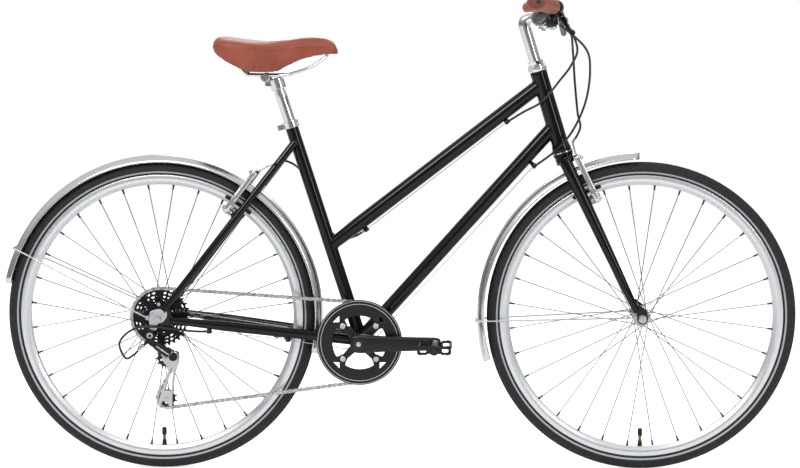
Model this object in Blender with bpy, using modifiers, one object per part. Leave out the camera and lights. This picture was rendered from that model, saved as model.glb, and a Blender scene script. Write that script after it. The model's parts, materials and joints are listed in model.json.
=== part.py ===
"""A hybrid bike with a step-through frame, as an assembly of its separate pieces.

Metres, +Z up. +X points forward and +Y to the rider's left, so the drive side faces -Y. The origin lies on
the ground, below the middle of the bike.
"""

import math

import bmesh
import bpy
from mathutils import Matrix, Vector

# Room between two pieces that touch on the real bike
GAP = 0.0003
WELD = 0.00001

# Wheels: 700 x 35C
RIM_RADIUS = 0.317
TYRE_HEIGHT = 0.029
TYRE_RADIUS = RIM_RADIUS + TYRE_HEIGHT
TYRE_WIDTH = 0.036
RIM_DEPTH = 0.022
RIM_WIDTH = 0.0246
WHEEL_SEGMENTS = 48
SPOKE_RADIUS = 0.0011
SPOKES = 32
AXLE_RADIUS = 0.0049
AXLE_NUT_RADIUS = 0.0095
FRONT_HUB_WIDTH = 0.100
REAR_HUB_WIDTH = 0.135
FORK_END_THICKNESS = 0.005
AXLE_NUT_HEIGHT = 0.008

# Frame, measured from the bottom bracket axis
WHEELBASE = 1.0742
CHAINSTAY_LENGTH = TYRE_RADIUS + 0.103
BOTTOM_BRACKET_DROP = 0.0535
HEAD_ANGLE = math.radians(73.0)
FORK_RAKE = 0.062
CROWN_SEAT = TYRE_RADIUS + 0.047
LOWER_STACK = 0.012
HEAD_TUBE_LENGTH = 0.1855
HEAD_TUBE_RADIUS = 0.0185
HEAD_TUBE_FOOT_RADIUS = 0.0210
HEAD_TUBE_BORE = 0.0170
SEAT_ANGLE = math.radians(72.3)
SEAT_TUBE_LENGTH = 0.5135
SEAT_TUBE_RADIUS = 0.0143
MAIN_TUBE_RADIUS = 0.0159
TOP_TUBE_BELOW_HEAD = 0.028
TOP_TUBE_ON_SEAT_TUBE = 0.2214
DOWN_TUBE_ABOVE_FOOT = 0.0596
SHELL_RADIUS = 0.020
SHELL_WIDTH = 0.068
SHELL_BORE = 0.0170
SEATSTAY_RADIUS = 0.008
SEATSTAY_ON_SEAT_TUBE = SEAT_TUBE_LENGTH - 0.0455
CHAINSTAY_HALF_WIDTH = 0.008
CHAINSTAY_HALF_HEIGHT = 0.0118
BRIDGE_RADIUS = 0.006
BRIDGE_SLOPE_ROOM = 0.0007
STEERER_RADIUS = 0.0143
STEERER_BORE = 0.0130

# Fenders
FENDER_HALF_WIDTH = 0.0225
FENDER_WALL = 0.0012
FRONT_FENDER_RADIUS = TYRE_RADIUS + 0.0217
REAR_FENDER_RADIUS = TYRE_RADIUS + 0.0150
FENDER_DEPTH = 0.015
FRONT_FENDER_TIP = math.radians(91.0)
FRONT_FENDER_TAIL = math.radians(196.5)
REAR_FENDER_NOSE = math.radians(-14.0)
REAR_FENDER_TAIL = math.radians(168.2)
STAY_RADIUS = 0.0018
FRONT_STAY_ANGLE = math.radians(181.5)
REAR_STAY_ANGLE = math.radians(155.0)

# Seat
SEATPOST_RADIUS = 0.0127
SEATPOST_BOTTOM = SEAT_TUBE_LENGTH - 0.1285
SEATPOST_TOP = SEAT_TUBE_LENGTH + 0.1010
SEATPOST_DROP_ROOM = 0.085
SADDLE_CLAMP_BACK = 0.021
SADDLE_CLAMP_LIFT = 0.001
RAIL_RADIUS = 0.0035
RAIL_HALF_SPACING = 0.022
SADDLE_SHELL = 0.009

# Cockpit
STEM_REACH = 0.037
STEM_HEIGHT = 0.7138
STEM_BEND = 0.0134
QUILL_BOTTOM = 0.515
QUILL_RADIUS = 0.0127
BAR_CLAMP_RADIUS = 0.0127
BAR_RADIUS = 0.0111
BAR_HALF_WIDTH = 0.310
BAR_SWEEP = math.radians(14.7)
BAR_UPSWEEP = math.radians(3.5)
GRIP_RADIUS = 0.0165
GRIP_LENGTH = 0.128
GRIP_WING = 0.0115
GRIP_SIDES = 12
LEVER_CLAMP_Y = BAR_HALF_WIDTH - GRIP_LENGTH - 0.019
LEVER_LEAN = math.radians(40.0)

# Brakes
BRAKE_POST_RADIUS = 0.005
BRAKE_PIVOT_HALF_SPACING = 0.040
BRAKE_POST_BELOW_RIM_EDGE = 0.033
PAD_BELOW_RIM_EDGE = 0.010
PAD_POST_ABOVE_PIVOT = 0.020
PAD_FORWARD = 0.014
PAD_GAP = 0.0018
PAD_THICKNESS = 0.010
PAD_LENGTH = 0.068
PAD_HEIGHT = 0.008
ARM_LENGTH = 0.105
ARM_THICKNESS = 0.012
ARM_SETOFF = 0.0215
NOODLE_HOLE = 0.0035

# Drive
CHAIN_PITCH = 0.0127
CHAIN_HALF_WIDTH = 0.0035
CHAIN_INNER_HALF_WIDTH = 0.0013
CHAIN_HALF_HEIGHT = 0.00425
CHAINLINE = 0.0455
COG_LINE = 0.030
COG_SPACING = 0.0048
COG_THICKNESS = 0.0018
RING_TEETH = 44
COG_TEETH = (32, 28, 24, 21, 18, 15, 13, 11)
PULLEY_TEETH = 11
TOOTH_HEIGHT = 0.003
TOOTH_DEPTH = 0.0035
RING_THICKNESS = 0.002
GUARD_RADIUS = 0.0955
GUARD_THICKNESS = 0.0025
BOLT_CIRCLE = 0.052
CRANK_LENGTH = 0.1695
CRANK_THICKNESS = 0.014
CRANK_OUTER = 0.080
SPINDLE_RADIUS = 0.0085
PEDAL_AXLE_RADIUS = 0.0055
PEDAL_LENGTH = 0.074
PEDAL_WIDTH = 0.088
PEDAL_HEIGHT = 0.022
GUIDE_PULLEY_FORWARD = 0.0109
GUIDE_PULLEY_DROP = 0.0939
# Gives the chain a whole number of links, 122
CAGE_LENGTH = 0.0893

# Finishes: sRGB-like colour, roughness, metallic
BLACK_PAINT = ("black_paint", (0.010, 0.010, 0.012), 0.25, 0.0)
BLACK_ALLOY = ("black_alloy", (0.014, 0.014, 0.016), 0.40, 0.3)
POLISHED = ("polished_aluminium", (0.62, 0.62, 0.63), 0.20, 1.0)
CHROME = ("chrome", (0.70, 0.70, 0.71), 0.08, 1.0)
SATIN = ("satin_aluminium", (0.60, 0.61, 0.62), 0.35, 1.0)
STEEL = ("plated_steel", (0.45, 0.45, 0.46), 0.30, 1.0)
RUBBER = ("tyre_rubber", (0.020, 0.020, 0.022), 0.85, 0.0)
TAN_LEATHER = ("tan_leather", (0.36, 0.13, 0.09), 0.50, 0.0)
BLACK_CABLE = ("cable_housing", (0.015, 0.015, 0.016), 0.45, 0.0)

# Derived places
rear_axle_back = math.sqrt(CHAINSTAY_LENGTH**2 - BOTTOM_BRACKET_DROP**2)
tail_reach = max(TYRE_RADIUS, -REAR_FENDER_RADIUS * math.cos(REAR_FENDER_TAIL))
bottom_bracket_x = (rear_axle_back + tail_reach - (WHEELBASE - rear_axle_back + TYRE_RADIUS)) / 2
BOTTOM_BRACKET = Vector((bottom_bracket_x, 0, TYRE_RADIUS - BOTTOM_BRACKET_DROP))
REAR_AXLE = BOTTOM_BRACKET + Vector((-rear_axle_back, 0, BOTTOM_BRACKET_DROP))
FRONT_AXLE = REAR_AXLE + Vector((WHEELBASE, 0, 0))
FORWARD = Vector((1, 0, 0))
LEFT = Vector((0, 1, 0))
UP = Vector((0, 0, 1))
STEER_UP = Vector((-math.cos(HEAD_ANGLE), 0, math.sin(HEAD_ANGLE)))
STEER_FORWARD = Vector((math.sin(HEAD_ANGLE), 0, math.cos(HEAD_ANGLE)))
SEAT_UP = Vector((-math.cos(SEAT_ANGLE), 0, math.sin(SEAT_ANGLE)))
HEAD_FOOT = CROWN_SEAT + LOWER_STACK
HEAD_TOP = HEAD_FOOT + HEAD_TUBE_LENGTH
RIM_INNER = RIM_RADIUS - RIM_DEPTH
RING_PITCH_RADIUS = RING_TEETH * CHAIN_PITCH / (2 * math.pi)
COG_PITCH_RADIUS = COG_TEETH[0] * CHAIN_PITCH / (2 * math.pi)
PULLEY_PITCH_RADIUS = PULLEY_TEETH * CHAIN_PITCH / (2 * math.pi)
SIDES = {"right": -1, "left": 1}


def from_bracket(forward, up, left=0.0):
    """A point given from the bottom bracket axis."""
    return BOTTOM_BRACKET + Vector((forward, left, up))


def on_steerer(height, forward=0.0, left=0.0):
    """A point along the steering axis, from the foot nearest to the front axle."""
    foot = FRONT_AXLE - FORK_RAKE * STEER_FORWARD
    return foot + height * STEER_UP + forward * STEER_FORWARD + left * LEFT


def on_seat_tube(height, left=0.0):
    return BOTTOM_BRACKET + height * SEAT_UP + left * LEFT


def polar(centre, radius, angle, left=0.0):
    """A point round an axle, with the angle counted from forward towards up."""
    return centre + Vector((radius * math.cos(angle), left, radius * math.sin(angle)))


# Scene and helpers

for old_object in list(bpy.data.objects):
    bpy.data.objects.remove(old_object)
parts = bpy.data.collections.new("hybrid_bike")
bpy.context.scene.collection.children.link(parts)
pivots = {}
materials = {}


def body(name, pivot):
    """An empty on the joint's axis that carries the pieces of one moving body."""
    empty = bpy.data.objects.new(name + "_body", None)
    empty.location = pivot
    parts.objects.link(empty)
    pivots[name] = empty
    return empty


def finish_of(entry):
    name, colour, roughness, metallic = entry
    if name not in materials:
        made = bpy.data.materials.new(name)
        made.use_nodes = True
        shader = made.node_tree.nodes["Principled BSDF"]
        shader.inputs["Base Color"].default_value = (*colour, 1.0)
        shader.inputs["Roughness"].default_value = roughness
        shader.inputs["Metallic"].default_value = metallic
        materials[name] = made
    return materials[name]


def object_from(mesh_data, name):
    """A plain object from a bmesh, with its faces turned outwards."""
    bmesh.ops.recalc_face_normals(mesh_data, faces=mesh_data.faces)
    mesh = bpy.data.meshes.new(name)
    mesh_data.to_mesh(mesh)
    mesh_data.free()
    made = bpy.data.objects.new(name, mesh)
    parts.objects.link(made)
    return made


def bake(source):
    """A curve or an object with modifiers as one plain mesh in world space."""
    bpy.context.view_layer.update()
    graph = bpy.context.evaluated_depsgraph_get()
    mesh = bpy.data.meshes.new_from_object(source.evaluated_get(graph))
    mesh.transform(source.matrix_world)
    name = source.name
    bpy.data.objects.remove(source)
    mesh_data = bmesh.new()
    mesh_data.from_mesh(mesh)
    bmesh.ops.remove_doubles(mesh_data, verts=mesh_data.verts, dist=WELD)
    return object_from(mesh_data, name)


def boolean(target, tools, operation):
    for tool in tools:
        modifier = target.modifiers.new(operation.lower(), "BOOLEAN")
        modifier.operation = operation
        modifier.object = tool
    made = bake(target)
    for tool in tools:
        bpy.data.objects.remove(tool)
    return made


def join(target, *tools):
    return boolean(target, tools, "UNION")


def cut(target, *tools):
    return boolean(target, tools, "DIFFERENCE")


def place(made, name, body_name, finish):
    """Names a finished piece, gives it its material and hangs it on its body's empty."""
    made.name = name
    made.data.name = name
    made.data.materials.clear()
    made.data.materials.append(finish_of(finish))
    made.data.shade_smooth()
    made.data.set_sharp_from_angle(angle=math.radians(35))
    carrier = pivots[body_name]
    made.data.transform(Matrix.Translation(-carrier.location))
    made.parent = carrier
    return made


def frame_along(direction, across=LEFT):
    """A rotation whose Z runs along the direction and whose X keeps close to the given one."""
    z_axis = direction.normalized()
    x_axis = across - across.dot(z_axis) * z_axis
    if x_axis.length < 0.001:
        x_axis = UP - UP.dot(z_axis) * z_axis
    x_axis.normalize()
    y_axis = z_axis.cross(x_axis)
    return Matrix((x_axis, y_axis, z_axis)).transposed().to_4x4()


def bore_of(radius, sides):
    """The corner radius of a hole whose flats keep clear of a round piece."""
    return (radius + GAP) / math.cos(math.pi / sides)


def cylinder(start, end, radius, sides, end_radius=None):
    mesh_data = bmesh.new()
    last = radius if end_radius is None else end_radius
    length = (end - start).length
    bmesh.ops.create_cone(
        mesh_data, cap_ends=True, segments=sides, radius1=radius, radius2=last, depth=length
    )
    turn = Matrix.Translation((start + end) / 2) @ frame_along(end - start)
    bmesh.ops.transform(mesh_data, matrix=turn, verts=mesh_data.verts)
    return object_from(mesh_data, "cylinder")


def box(centre, size, turn=None):
    mesh_data = bmesh.new()
    bmesh.ops.create_cube(mesh_data, size=1.0)
    bmesh.ops.scale(mesh_data, vec=size, verts=mesh_data.verts)
    turned_by = Matrix.Identity(4) if turn is None else turn
    bmesh.ops.transform(
        mesh_data, matrix=Matrix.Translation(centre) @ turned_by, verts=mesh_data.verts
    )
    return object_from(mesh_data, "box")


def turned(profile, segments, centre, axis=LEFT, half_step=False):
    """A ring or a solid of revolution: profile points are radius and height along the axis."""
    mesh = bpy.data.meshes.new("profile")
    points = [(radius, 0, height) for radius, height in profile]
    count = len(points)
    edges = [(i, (i + 1) % count) for i in range(count)]
    if profile[0][0] == 0 and profile[-1][0] == 0:
        edges.pop()
    mesh.from_pydata(points, edges, [])
    made = bpy.data.objects.new("turned", mesh)
    parts.objects.link(made)
    screw = made.modifiers.new("screw", "SCREW")
    screw.steps = segments
    screw.render_steps = segments
    screw.use_merge_vertices = True
    screw.merge_threshold = WELD
    first = Matrix.Rotation(math.pi / segments if half_step else 0.0, 4, "Z")
    made.matrix_world = Matrix.Translation(centre) @ frame_along(axis, UP) @ first
    return bake(made)


def wire(points, radius, resolution=1, radii=None, closed=False):
    """A round bar along the points, as a curve with a bevel, made a mesh."""
    curve = bpy.data.curves.new("wire", "CURVE")
    curve.dimensions = "3D"
    curve.bevel_depth = radius
    curve.bevel_resolution = resolution
    curve.use_fill_caps = True
    curve.twist_mode = "MINIMUM"
    curve.resolution_u = 1
    spline = curve.splines.new("POLY")
    spline.points.add(len(points) - 1)
    spline.use_cyclic_u = closed
    for index, point in enumerate(points):
        spline.points[index].co = (*point, 1)
        spline.points[index].radius = 1.0 if radii is None else radii[index] / radius
    made = bpy.data.objects.new("wire", curve)
    parts.objects.link(made)
    return bake(made)


def plate(outlines, thickness, centre, across, up):
    """A flat piece cut from sheet: the first outline is its edge, and the others are holes."""
    curve = bpy.data.curves.new("plate", "CURVE")
    curve.dimensions = "2D"
    curve.fill_mode = "BOTH"
    curve.extrude = thickness / 2
    for outline in outlines:
        spline = curve.splines.new("POLY")
        spline.points.add(len(outline) - 1)
        spline.use_cyclic_u = True
        for index, (x, y) in enumerate(outline):
            spline.points[index].co = (x, y, 0, 1)
    made = bpy.data.objects.new("plate", curve)
    parts.objects.link(made)
    normal = across.cross(up)
    turn = Matrix((across, up, normal)).transposed().to_4x4()
    made.matrix_world = Matrix.Translation(centre) @ turn
    return bake(made)


def slab(outline, thickness, centre, across, up):
    """A flat piece with a plain edge, as a skin between two copies of its outline."""
    normal = across.cross(up).normalized() * (thickness / 2)
    front = [centre + across * x + up * y + normal for x, y in outline]
    back = [centre + across * x + up * y - normal for x, y in outline]
    return loft([back, front])


def oval(centre, across, up, half_across, half_up, sides):
    ring = []
    for index in range(sides):
        angle = 2 * math.pi * index / sides
        ring.append(centre + across * half_across * math.cos(angle) + up * half_up * math.sin(angle))
    return ring


def loft(rings, closed=False):
    """A skin through rings of equally many points, capped at both ends unless it closes on itself."""
    mesh_data = bmesh.new()
    rows = [[mesh_data.verts.new(point) for point in ring] for ring in rings]
    count = len(rings[0])
    last = len(rows) if closed else len(rows) - 1
    for row in range(last):
        near = rows[row]
        far = rows[(row + 1) % len(rows)]
        for index in range(count):
            following = (index + 1) % count
            mesh_data.faces.new((near[index], near[following], far[following], far[index]))
    if not closed:
        mesh_data.faces.new(rows[0])
        mesh_data.faces.new(rows[-1])
    return object_from(mesh_data, "loft")


def smooth(points, spacing):
    """Points on a smooth curve through the given ones, about the given spacing apart."""
    found = []
    count = len(points)
    for index in range(count - 1):
        before = points[max(index - 1, 0)]
        start = points[index]
        end = points[index + 1]
        after = points[min(index + 2, count - 1)]
        steps = max(1, round((end - start).length / spacing))
        for step in range(steps):
            t = step / steps
            a = 2 * start
            b = end - before
            c = 2 * before - 5 * start + 4 * end - after
            d = 3 * start - before - 3 * end + after
            found.append((a + b * t + c * t * t + d * t**3) / 2)
    found.append(points[-1])
    return found


def between(value, table):
    """A straight-line reading of a table of pairs."""
    if value <= table[0][0]:
        return table[0][1]
    for (low, first), (high, second) in zip(table, table[1:]):
        if value <= high:
            return first + (second - first) * (value - low) / (high - low)
    return table[-1][1]


def circle(radius, count, centre=(0.0, 0.0), start=0.0):
    points = []
    for index in range(count):
        angle = start + 2 * math.pi * index / count
        points.append((centre[0] + radius * math.cos(angle), centre[1] + radius * math.sin(angle)))
    return points


def toothed(teeth, pitch_radius):
    """A sprocket's edge: a valley and the two corners of a tooth for each tooth."""
    points = []
    step = 2 * math.pi / teeth
    for index in range(teeth):
        for share, radius in (
            (0.0, pitch_radius - TOOTH_DEPTH),
            (0.36, pitch_radius + TOOTH_HEIGHT),
            (0.64, pitch_radius + TOOTH_HEIGHT),
        ):
            angle = (index + share) * step
            points.append((radius * math.cos(angle), radius * math.sin(angle)))
    return points


# Bodies and the axes they turn on

stem_top = on_steerer(STEM_HEIGHT)
BAR_CENTRE = stem_top + Vector((STEM_REACH, 0, 0))
SADDLE_PIVOT = on_seat_tube(SEATPOST_TOP) + Vector((-SADDLE_CLAMP_BACK, 0, SADDLE_CLAMP_LIFT))
PEDAL_RIGHT = BOTTOM_BRACKET + Vector((CRANK_LENGTH, 0, 0))
PEDAL_LEFT = BOTTOM_BRACKET - Vector((CRANK_LENGTH, 0, 0))
GUIDE_PULLEY = REAR_AXLE + Vector((GUIDE_PULLEY_FORWARD, 0, -GUIDE_PULLEY_DROP))
HANGER_BOLT = REAR_AXLE + Vector((-0.0147, 0, -0.0339))
TENSION_PULLEY = GUIDE_PULLEY + Vector((0.0013, 0, -CAGE_LENGTH))
CAGE_PIVOT = GUIDE_PULLEY + Vector((0.019, 0, 0.007))

body("frame", Vector((0, 0, 0)))
body("steering", on_steerer(HEAD_FOOT))
body("front_wheel", FRONT_AXLE)
body("rear_wheel", REAR_AXLE)
body("cassette", REAR_AXLE)
body("seatpost", on_seat_tube(SEATPOST_BOTTOM))
body("saddle", SADDLE_PIVOT)
body("crank", BOTTOM_BRACKET)
body("pedal_right", PEDAL_RIGHT)
body("pedal_left", PEDAL_LEFT)


# Wheels

def make_tyre(name, axle, body_name):
    """A road tyre on its rim. Its flats lie on the ground and at the four ends of the wheel."""
    stretch = 1 / math.cos(math.pi / WHEEL_SEGMENTS)
    seat = RIM_RADIUS + GAP
    depth = TYRE_RADIUS - seat
    half = TYRE_WIDTH / 2
    side = [
        (seat * stretch, RIM_WIDTH / 2 - 0.0010),
        ((seat + 0.36 * depth) * stretch, half),
        ((seat + 0.76 * depth) * stretch, 0.76 * half),
        (TYRE_RADIUS * stretch, 0.22 * half),
    ]
    profile = side + [(radius, -height) for radius, height in reversed(side)]
    made = turned(profile, WHEEL_SEGMENTS, axle, half_step=True)
    place(made, name, body_name, RUBBER)


def make_rim(name, axle, body_name):
    """A box rim with the valve stem standing in from its lowest point."""
    stretch = 1 / math.cos(math.pi / WHEEL_SEGMENTS)
    half = RIM_WIDTH / 2
    side = [
        (RIM_INNER * stretch, 0.45 * half),
        ((RIM_INNER + 0.30 * RIM_DEPTH) * stretch, half),
        (RIM_RADIUS * stretch, half),
    ]
    profile = side + [(radius, -height) for radius, height in reversed(side)]
    made = turned(profile, WHEEL_SEGMENTS, axle, half_step=True)
    valve_length = 0.033
    valve_radius = 0.0038
    root = axle - Vector((0, 0, RIM_INNER + RIM_DEPTH / 2))
    tip = axle - Vector((0, 0, RIM_INNER - valve_length))
    made = join(made, cylinder(root, tip, valve_radius, 8))
    place(made, name, body_name, SATIN)


def make_hub(name, axle, body_name, right_flange, left_flange, right_end, left_end, flange_radius):
    """A hub turned in one piece, with its spokes crossing three times on each side."""
    bore = AXLE_RADIUS + GAP
    flange = 0.0045
    barrel = 0.62 * flange_radius
    profile = [
        (bore, left_end),
        (barrel * 0.8, left_end),
        (barrel * 0.8, left_flange + flange / 2 + 0.004),
        (flange_radius, left_flange + flange / 2),
        (flange_radius, left_flange - flange / 2),
        (barrel, left_flange - flange / 2 - 0.004),
        (barrel, -right_flange + flange / 2 + 0.004),
        (flange_radius, -right_flange + flange / 2),
        (flange_radius, -right_flange - flange / 2),
        (barrel * 0.8, -right_end),
        (bore, -right_end),
    ]
    made = turned(profile, 16, axle)
    hole_radius = flange_radius - 0.0035
    rim_end = RIM_INNER - GAP - 0.0004
    spokes = bmesh.new()
    for index in range(SPOKES):
        right = index % 2 == 0
        leading = (index // 2) % 2 == 0
        flange_y = -right_flange if right else left_flange
        outwards = -1 if right else 1
        rim_angle = math.radians(-90) + (index + 0.5) * 2 * math.pi / SPOKES
        cross = math.radians(67.5) * (1 if leading else -1)
        offset = outwards * (0.0016 if leading else -0.0016)
        start = polar(axle, hole_radius, rim_angle - cross, flange_y + offset)
        end = polar(axle, rim_end, rim_angle, outwards * 0.0018)
        turn = Matrix.Translation((start + end) / 2) @ frame_along(end - start)
        bmesh.ops.create_cone(
            spokes,
            cap_ends=True,
            segments=3,
            radius1=SPOKE_RADIUS,
            radius2=SPOKE_RADIUS,
            depth=(end - start).length,
            matrix=turn,
        )
    made = join(made, object_from(spokes, "spokes"))
    place(made, name, body_name, STEEL)


def make_axle(name, axle, body_name, half_width):
    """A threaded axle through the hub, with a nut outside each fork end."""
    face = half_width + FORK_END_THICKNESS + GAP
    end = face + AXLE_NUT_HEIGHT
    profile = [
        (0, end + 0.002),
        (AXLE_RADIUS, end + 0.002),
        (AXLE_RADIUS, end),
        (AXLE_NUT_RADIUS, end),
        (AXLE_NUT_RADIUS, face),
        (AXLE_RADIUS, face),
        (AXLE_RADIUS, -face),
        (AXLE_NUT_RADIUS, -face),
        (AXLE_NUT_RADIUS, -end),
        (AXLE_RADIUS, -end),
        (AXLE_RADIUS, -end - 0.002),
        (0, -end - 0.002),
    ]
    place(turned(profile, 12, axle), name, body_name, STEEL)


FRONT_HALF = FRONT_HUB_WIDTH / 2
REAR_HALF = REAR_HUB_WIDTH / 2
COG_INNER_FACE = COG_LINE - 0.0025
COG_OUTER_FACE = COG_LINE + COG_SPACING * (len(COG_TEETH) - 1) + COG_THICKNESS / 2

make_tyre("front_tyre", FRONT_AXLE, "front_wheel")
make_rim("front_rim", FRONT_AXLE, "front_wheel")
make_hub(
    "front_hub", FRONT_AXLE, "front_wheel", 0.031, 0.031, FRONT_HALF - GAP, FRONT_HALF - GAP, 0.0195
)
make_tyre("rear_tyre", REAR_AXLE, "rear_wheel")
make_rim("rear_rim", REAR_AXLE, "rear_wheel")
make_hub(
    "rear_hub", REAR_AXLE, "rear_wheel", 0.0215, 0.036, COG_INNER_FACE - GAP, REAR_HALF - GAP, 0.0235
)
make_axle("front_axle", FRONT_AXLE, "steering", FRONT_HALF)
make_axle("rear_axle", REAR_AXLE, "frame", REAR_HALF)


def make_cassette():
    """The freehub body with eight cogs: the biggest has its teeth, the others are plain steps."""
    bore = AXLE_RADIUS + GAP
    profile = [(bore, -COG_INNER_FACE), (COG_PITCH_RADIUS * 0.55, -COG_INNER_FACE)]
    edge = COG_LINE + COG_SPACING - COG_THICKNESS / 2
    profile.append((COG_PITCH_RADIUS * 0.55, -edge))
    for index, teeth in enumerate(COG_TEETH[1:], start=1):
        radius = teeth * CHAIN_PITCH / (2 * math.pi) + TOOTH_HEIGHT * 0.6
        near = COG_LINE + index * COG_SPACING - COG_THICKNESS / 2
        far = near + (COG_SPACING if index < len(COG_TEETH) - 1 else COG_THICKNESS)
        profile.append((radius, -near))
        profile.append((radius, -far))
    end = REAR_HALF - GAP
    profile.append((0.011, -COG_OUTER_FACE))
    profile.append((0.011, -end))
    profile.append((bore, -end))
    made = turned(profile, 20, REAR_AXLE)
    centre = REAR_AXLE - COG_LINE * LEFT
    teeth = toothed(COG_TEETH[0], COG_PITCH_RADIUS)
    big = plate([teeth, circle(0.015, 12)], COG_THICKNESS, centre, FORWARD, UP)
    place(join(made, big), "cassette", "cassette", BLACK_ALLOY)


make_cassette()


# Frame

def bracket_cutter():
    reach = SHELL_WIDTH
    return cylinder(
        BOTTOM_BRACKET - reach * LEFT, BOTTOM_BRACKET + reach * LEFT, SHELL_RADIUS + GAP, 24
    )


def head_cutter():
    return cylinder(on_steerer(HEAD_FOOT - 0.01), on_steerer(HEAD_TOP + 0.01), HEAD_TUBE_RADIUS + GAP, 24)


def seat_tube_cutter():
    return cylinder(on_seat_tube(0), on_seat_tube(SEAT_TUBE_LENGTH), SEAT_TUBE_RADIUS + GAP, 20)


def make_main_tubes():
    foot_flare = 0.022
    head = turned(
        [
            (HEAD_TUBE_BORE, HEAD_FOOT),
            (HEAD_TUBE_FOOT_RADIUS, HEAD_FOOT),
            (HEAD_TUBE_FOOT_RADIUS, HEAD_FOOT + foot_flare / 2),
            (HEAD_TUBE_RADIUS, HEAD_FOOT + foot_flare),
            (HEAD_TUBE_RADIUS, HEAD_TOP),
            (HEAD_TUBE_BORE, HEAD_TOP),
        ],
        20,
        on_steerer(0),
        STEER_UP,
    )
    place(head, "head_tube", "frame", BLACK_PAINT)

    start = on_steerer(HEAD_TOP - TOP_TUBE_BELOW_HEAD)
    end = on_seat_tube(TOP_TUBE_ON_SEAT_TUBE)
    along = (end - start).normalized()
    narrow = SEAT_TUBE_RADIUS - 0.0005
    points = [start, end - 0.06 * along, end]
    top = wire(points, MAIN_TUBE_RADIUS, 8, [MAIN_TUBE_RADIUS, MAIN_TUBE_RADIUS, narrow])
    place(cut(top, head_cutter(), seat_tube_cutter()), "top_tube", "frame", BLACK_PAINT)

    start = on_steerer(HEAD_FOOT + DOWN_TUBE_ABOVE_FOOT)
    down = cylinder(start, BOTTOM_BRACKET, MAIN_TUBE_RADIUS, 20)
    down = cut(down, head_cutter(), bracket_cutter(), seat_tube_cutter())
    place(down, "down_tube", "frame", BLACK_PAINT)

    seat = cylinder(on_seat_tube(0), on_seat_tube(SEAT_TUBE_LENGTH), SEAT_TUBE_RADIUS, 20)
    bore_foot = SEATPOST_BOTTOM - SEATPOST_DROP_ROOM
    bore = cylinder(
        on_seat_tube(bore_foot), on_seat_tube(SEAT_TUBE_LENGTH + 0.01), SEATPOST_RADIUS + GAP, 20
    )
    place(cut(seat, bore, bracket_cutter()), "seat_tube", "frame", BLACK_PAINT)

    half = SHELL_WIDTH / 2
    shell = [(SHELL_BORE, half), (SHELL_RADIUS, half), (SHELL_RADIUS, -half), (SHELL_BORE, -half)]
    place(turned(shell, 24, BOTTOM_BRACKET), "bottom_bracket_shell", "frame", BLACK_PAINT)
    cup = SHELL_BORE - GAP
    lip = half + 0.003
    inner = SPINDLE_RADIUS + GAP
    cartridge = [(inner, lip), (cup, lip), (cup, -lip), (inner, -lip)]
    place(turned(cartridge, 24, BOTTOM_BRACKET), "bottom_bracket_cartridge", "frame", BLACK_ALLOY)


make_main_tubes()

DROPOUT_Y = REAR_HALF + FORK_END_THICKNESS / 2
SEATSTAY_END = REAR_AXLE + Vector((0.0150, 0, 0.0220))
CHAINSTAY_END = REAR_AXLE + Vector((0.0240, 0, -0.0020))


CHAINSTAY_REACH = rear_axle_back - 0.0258
CHAINSTAY_SWELL_END = CHAINSTAY_REACH - 0.120
# Distance back from the bottom bracket, and distance from the bike's middle
CHAINSTAY_SPREAD = [
    (0.0, 0.0245),
    (0.055, 0.0285),
    (0.105, 0.0318),
    (CHAINSTAY_SWELL_END, 0.056),
    (CHAINSTAY_REACH, DROPOUT_Y),
]
CHAINSTAY_SLIM = [(0.0, 1.0), (CHAINSTAY_SWELL_END, 0.95), (CHAINSTAY_REACH, 0.62)]


def chainstay_centre(back, side):
    """The middle of a chainstay, a given way back from the bottom bracket."""
    share = back / (rear_axle_back - 0.024)
    tuck = between(back, CHAINSTAY_SPREAD)
    height = share * (CHAINSTAY_END.z - BOTTOM_BRACKET.z)
    return from_bracket(-back, height, side * tuck)


def make_dropout(side, hanger):
    """The plate that holds the axle, with its two eyelets and, on the drive side, the derailleur hanger."""
    hub_lobe = 0.014
    outline = [
        (0.034, 0.006),
        (0.026, 0.026),
        (0.012, 0.030),
        (-0.004, 0.026),
        (-0.012, 0.016),
        (-0.026, 0.008),
        (-0.026, 0.000),
        (-hub_lobe, -0.006),
    ]
    if hanger:
        bolt_x = HANGER_BOLT.x - REAR_AXLE.x
        bolt_z = HANGER_BOLT.z - REAR_AXLE.z
        outline += [
            (-0.022, -0.018),
            (bolt_x - 0.011, bolt_z),
            (bolt_x - 0.008, bolt_z - 0.008),
            (bolt_x, bolt_z - 0.011),
            (bolt_x + 0.008, bolt_z - 0.008),
            (bolt_x + 0.011, bolt_z),
            (0.002, -0.015),
        ]
    else:
        outline += [(-0.008, -0.013), (0.002, -0.015)]
    outline += [(0.016, -0.013), (0.034, -0.013)]
    centre = REAR_AXLE + side * DROPOUT_Y * LEFT
    hole = cylinder(centre - 0.01 * LEFT, centre + 0.01 * LEFT, AXLE_RADIUS + GAP, 12)
    return cut(slab(outline, FORK_END_THICKNESS, centre, FORWARD, UP), hole)


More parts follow.
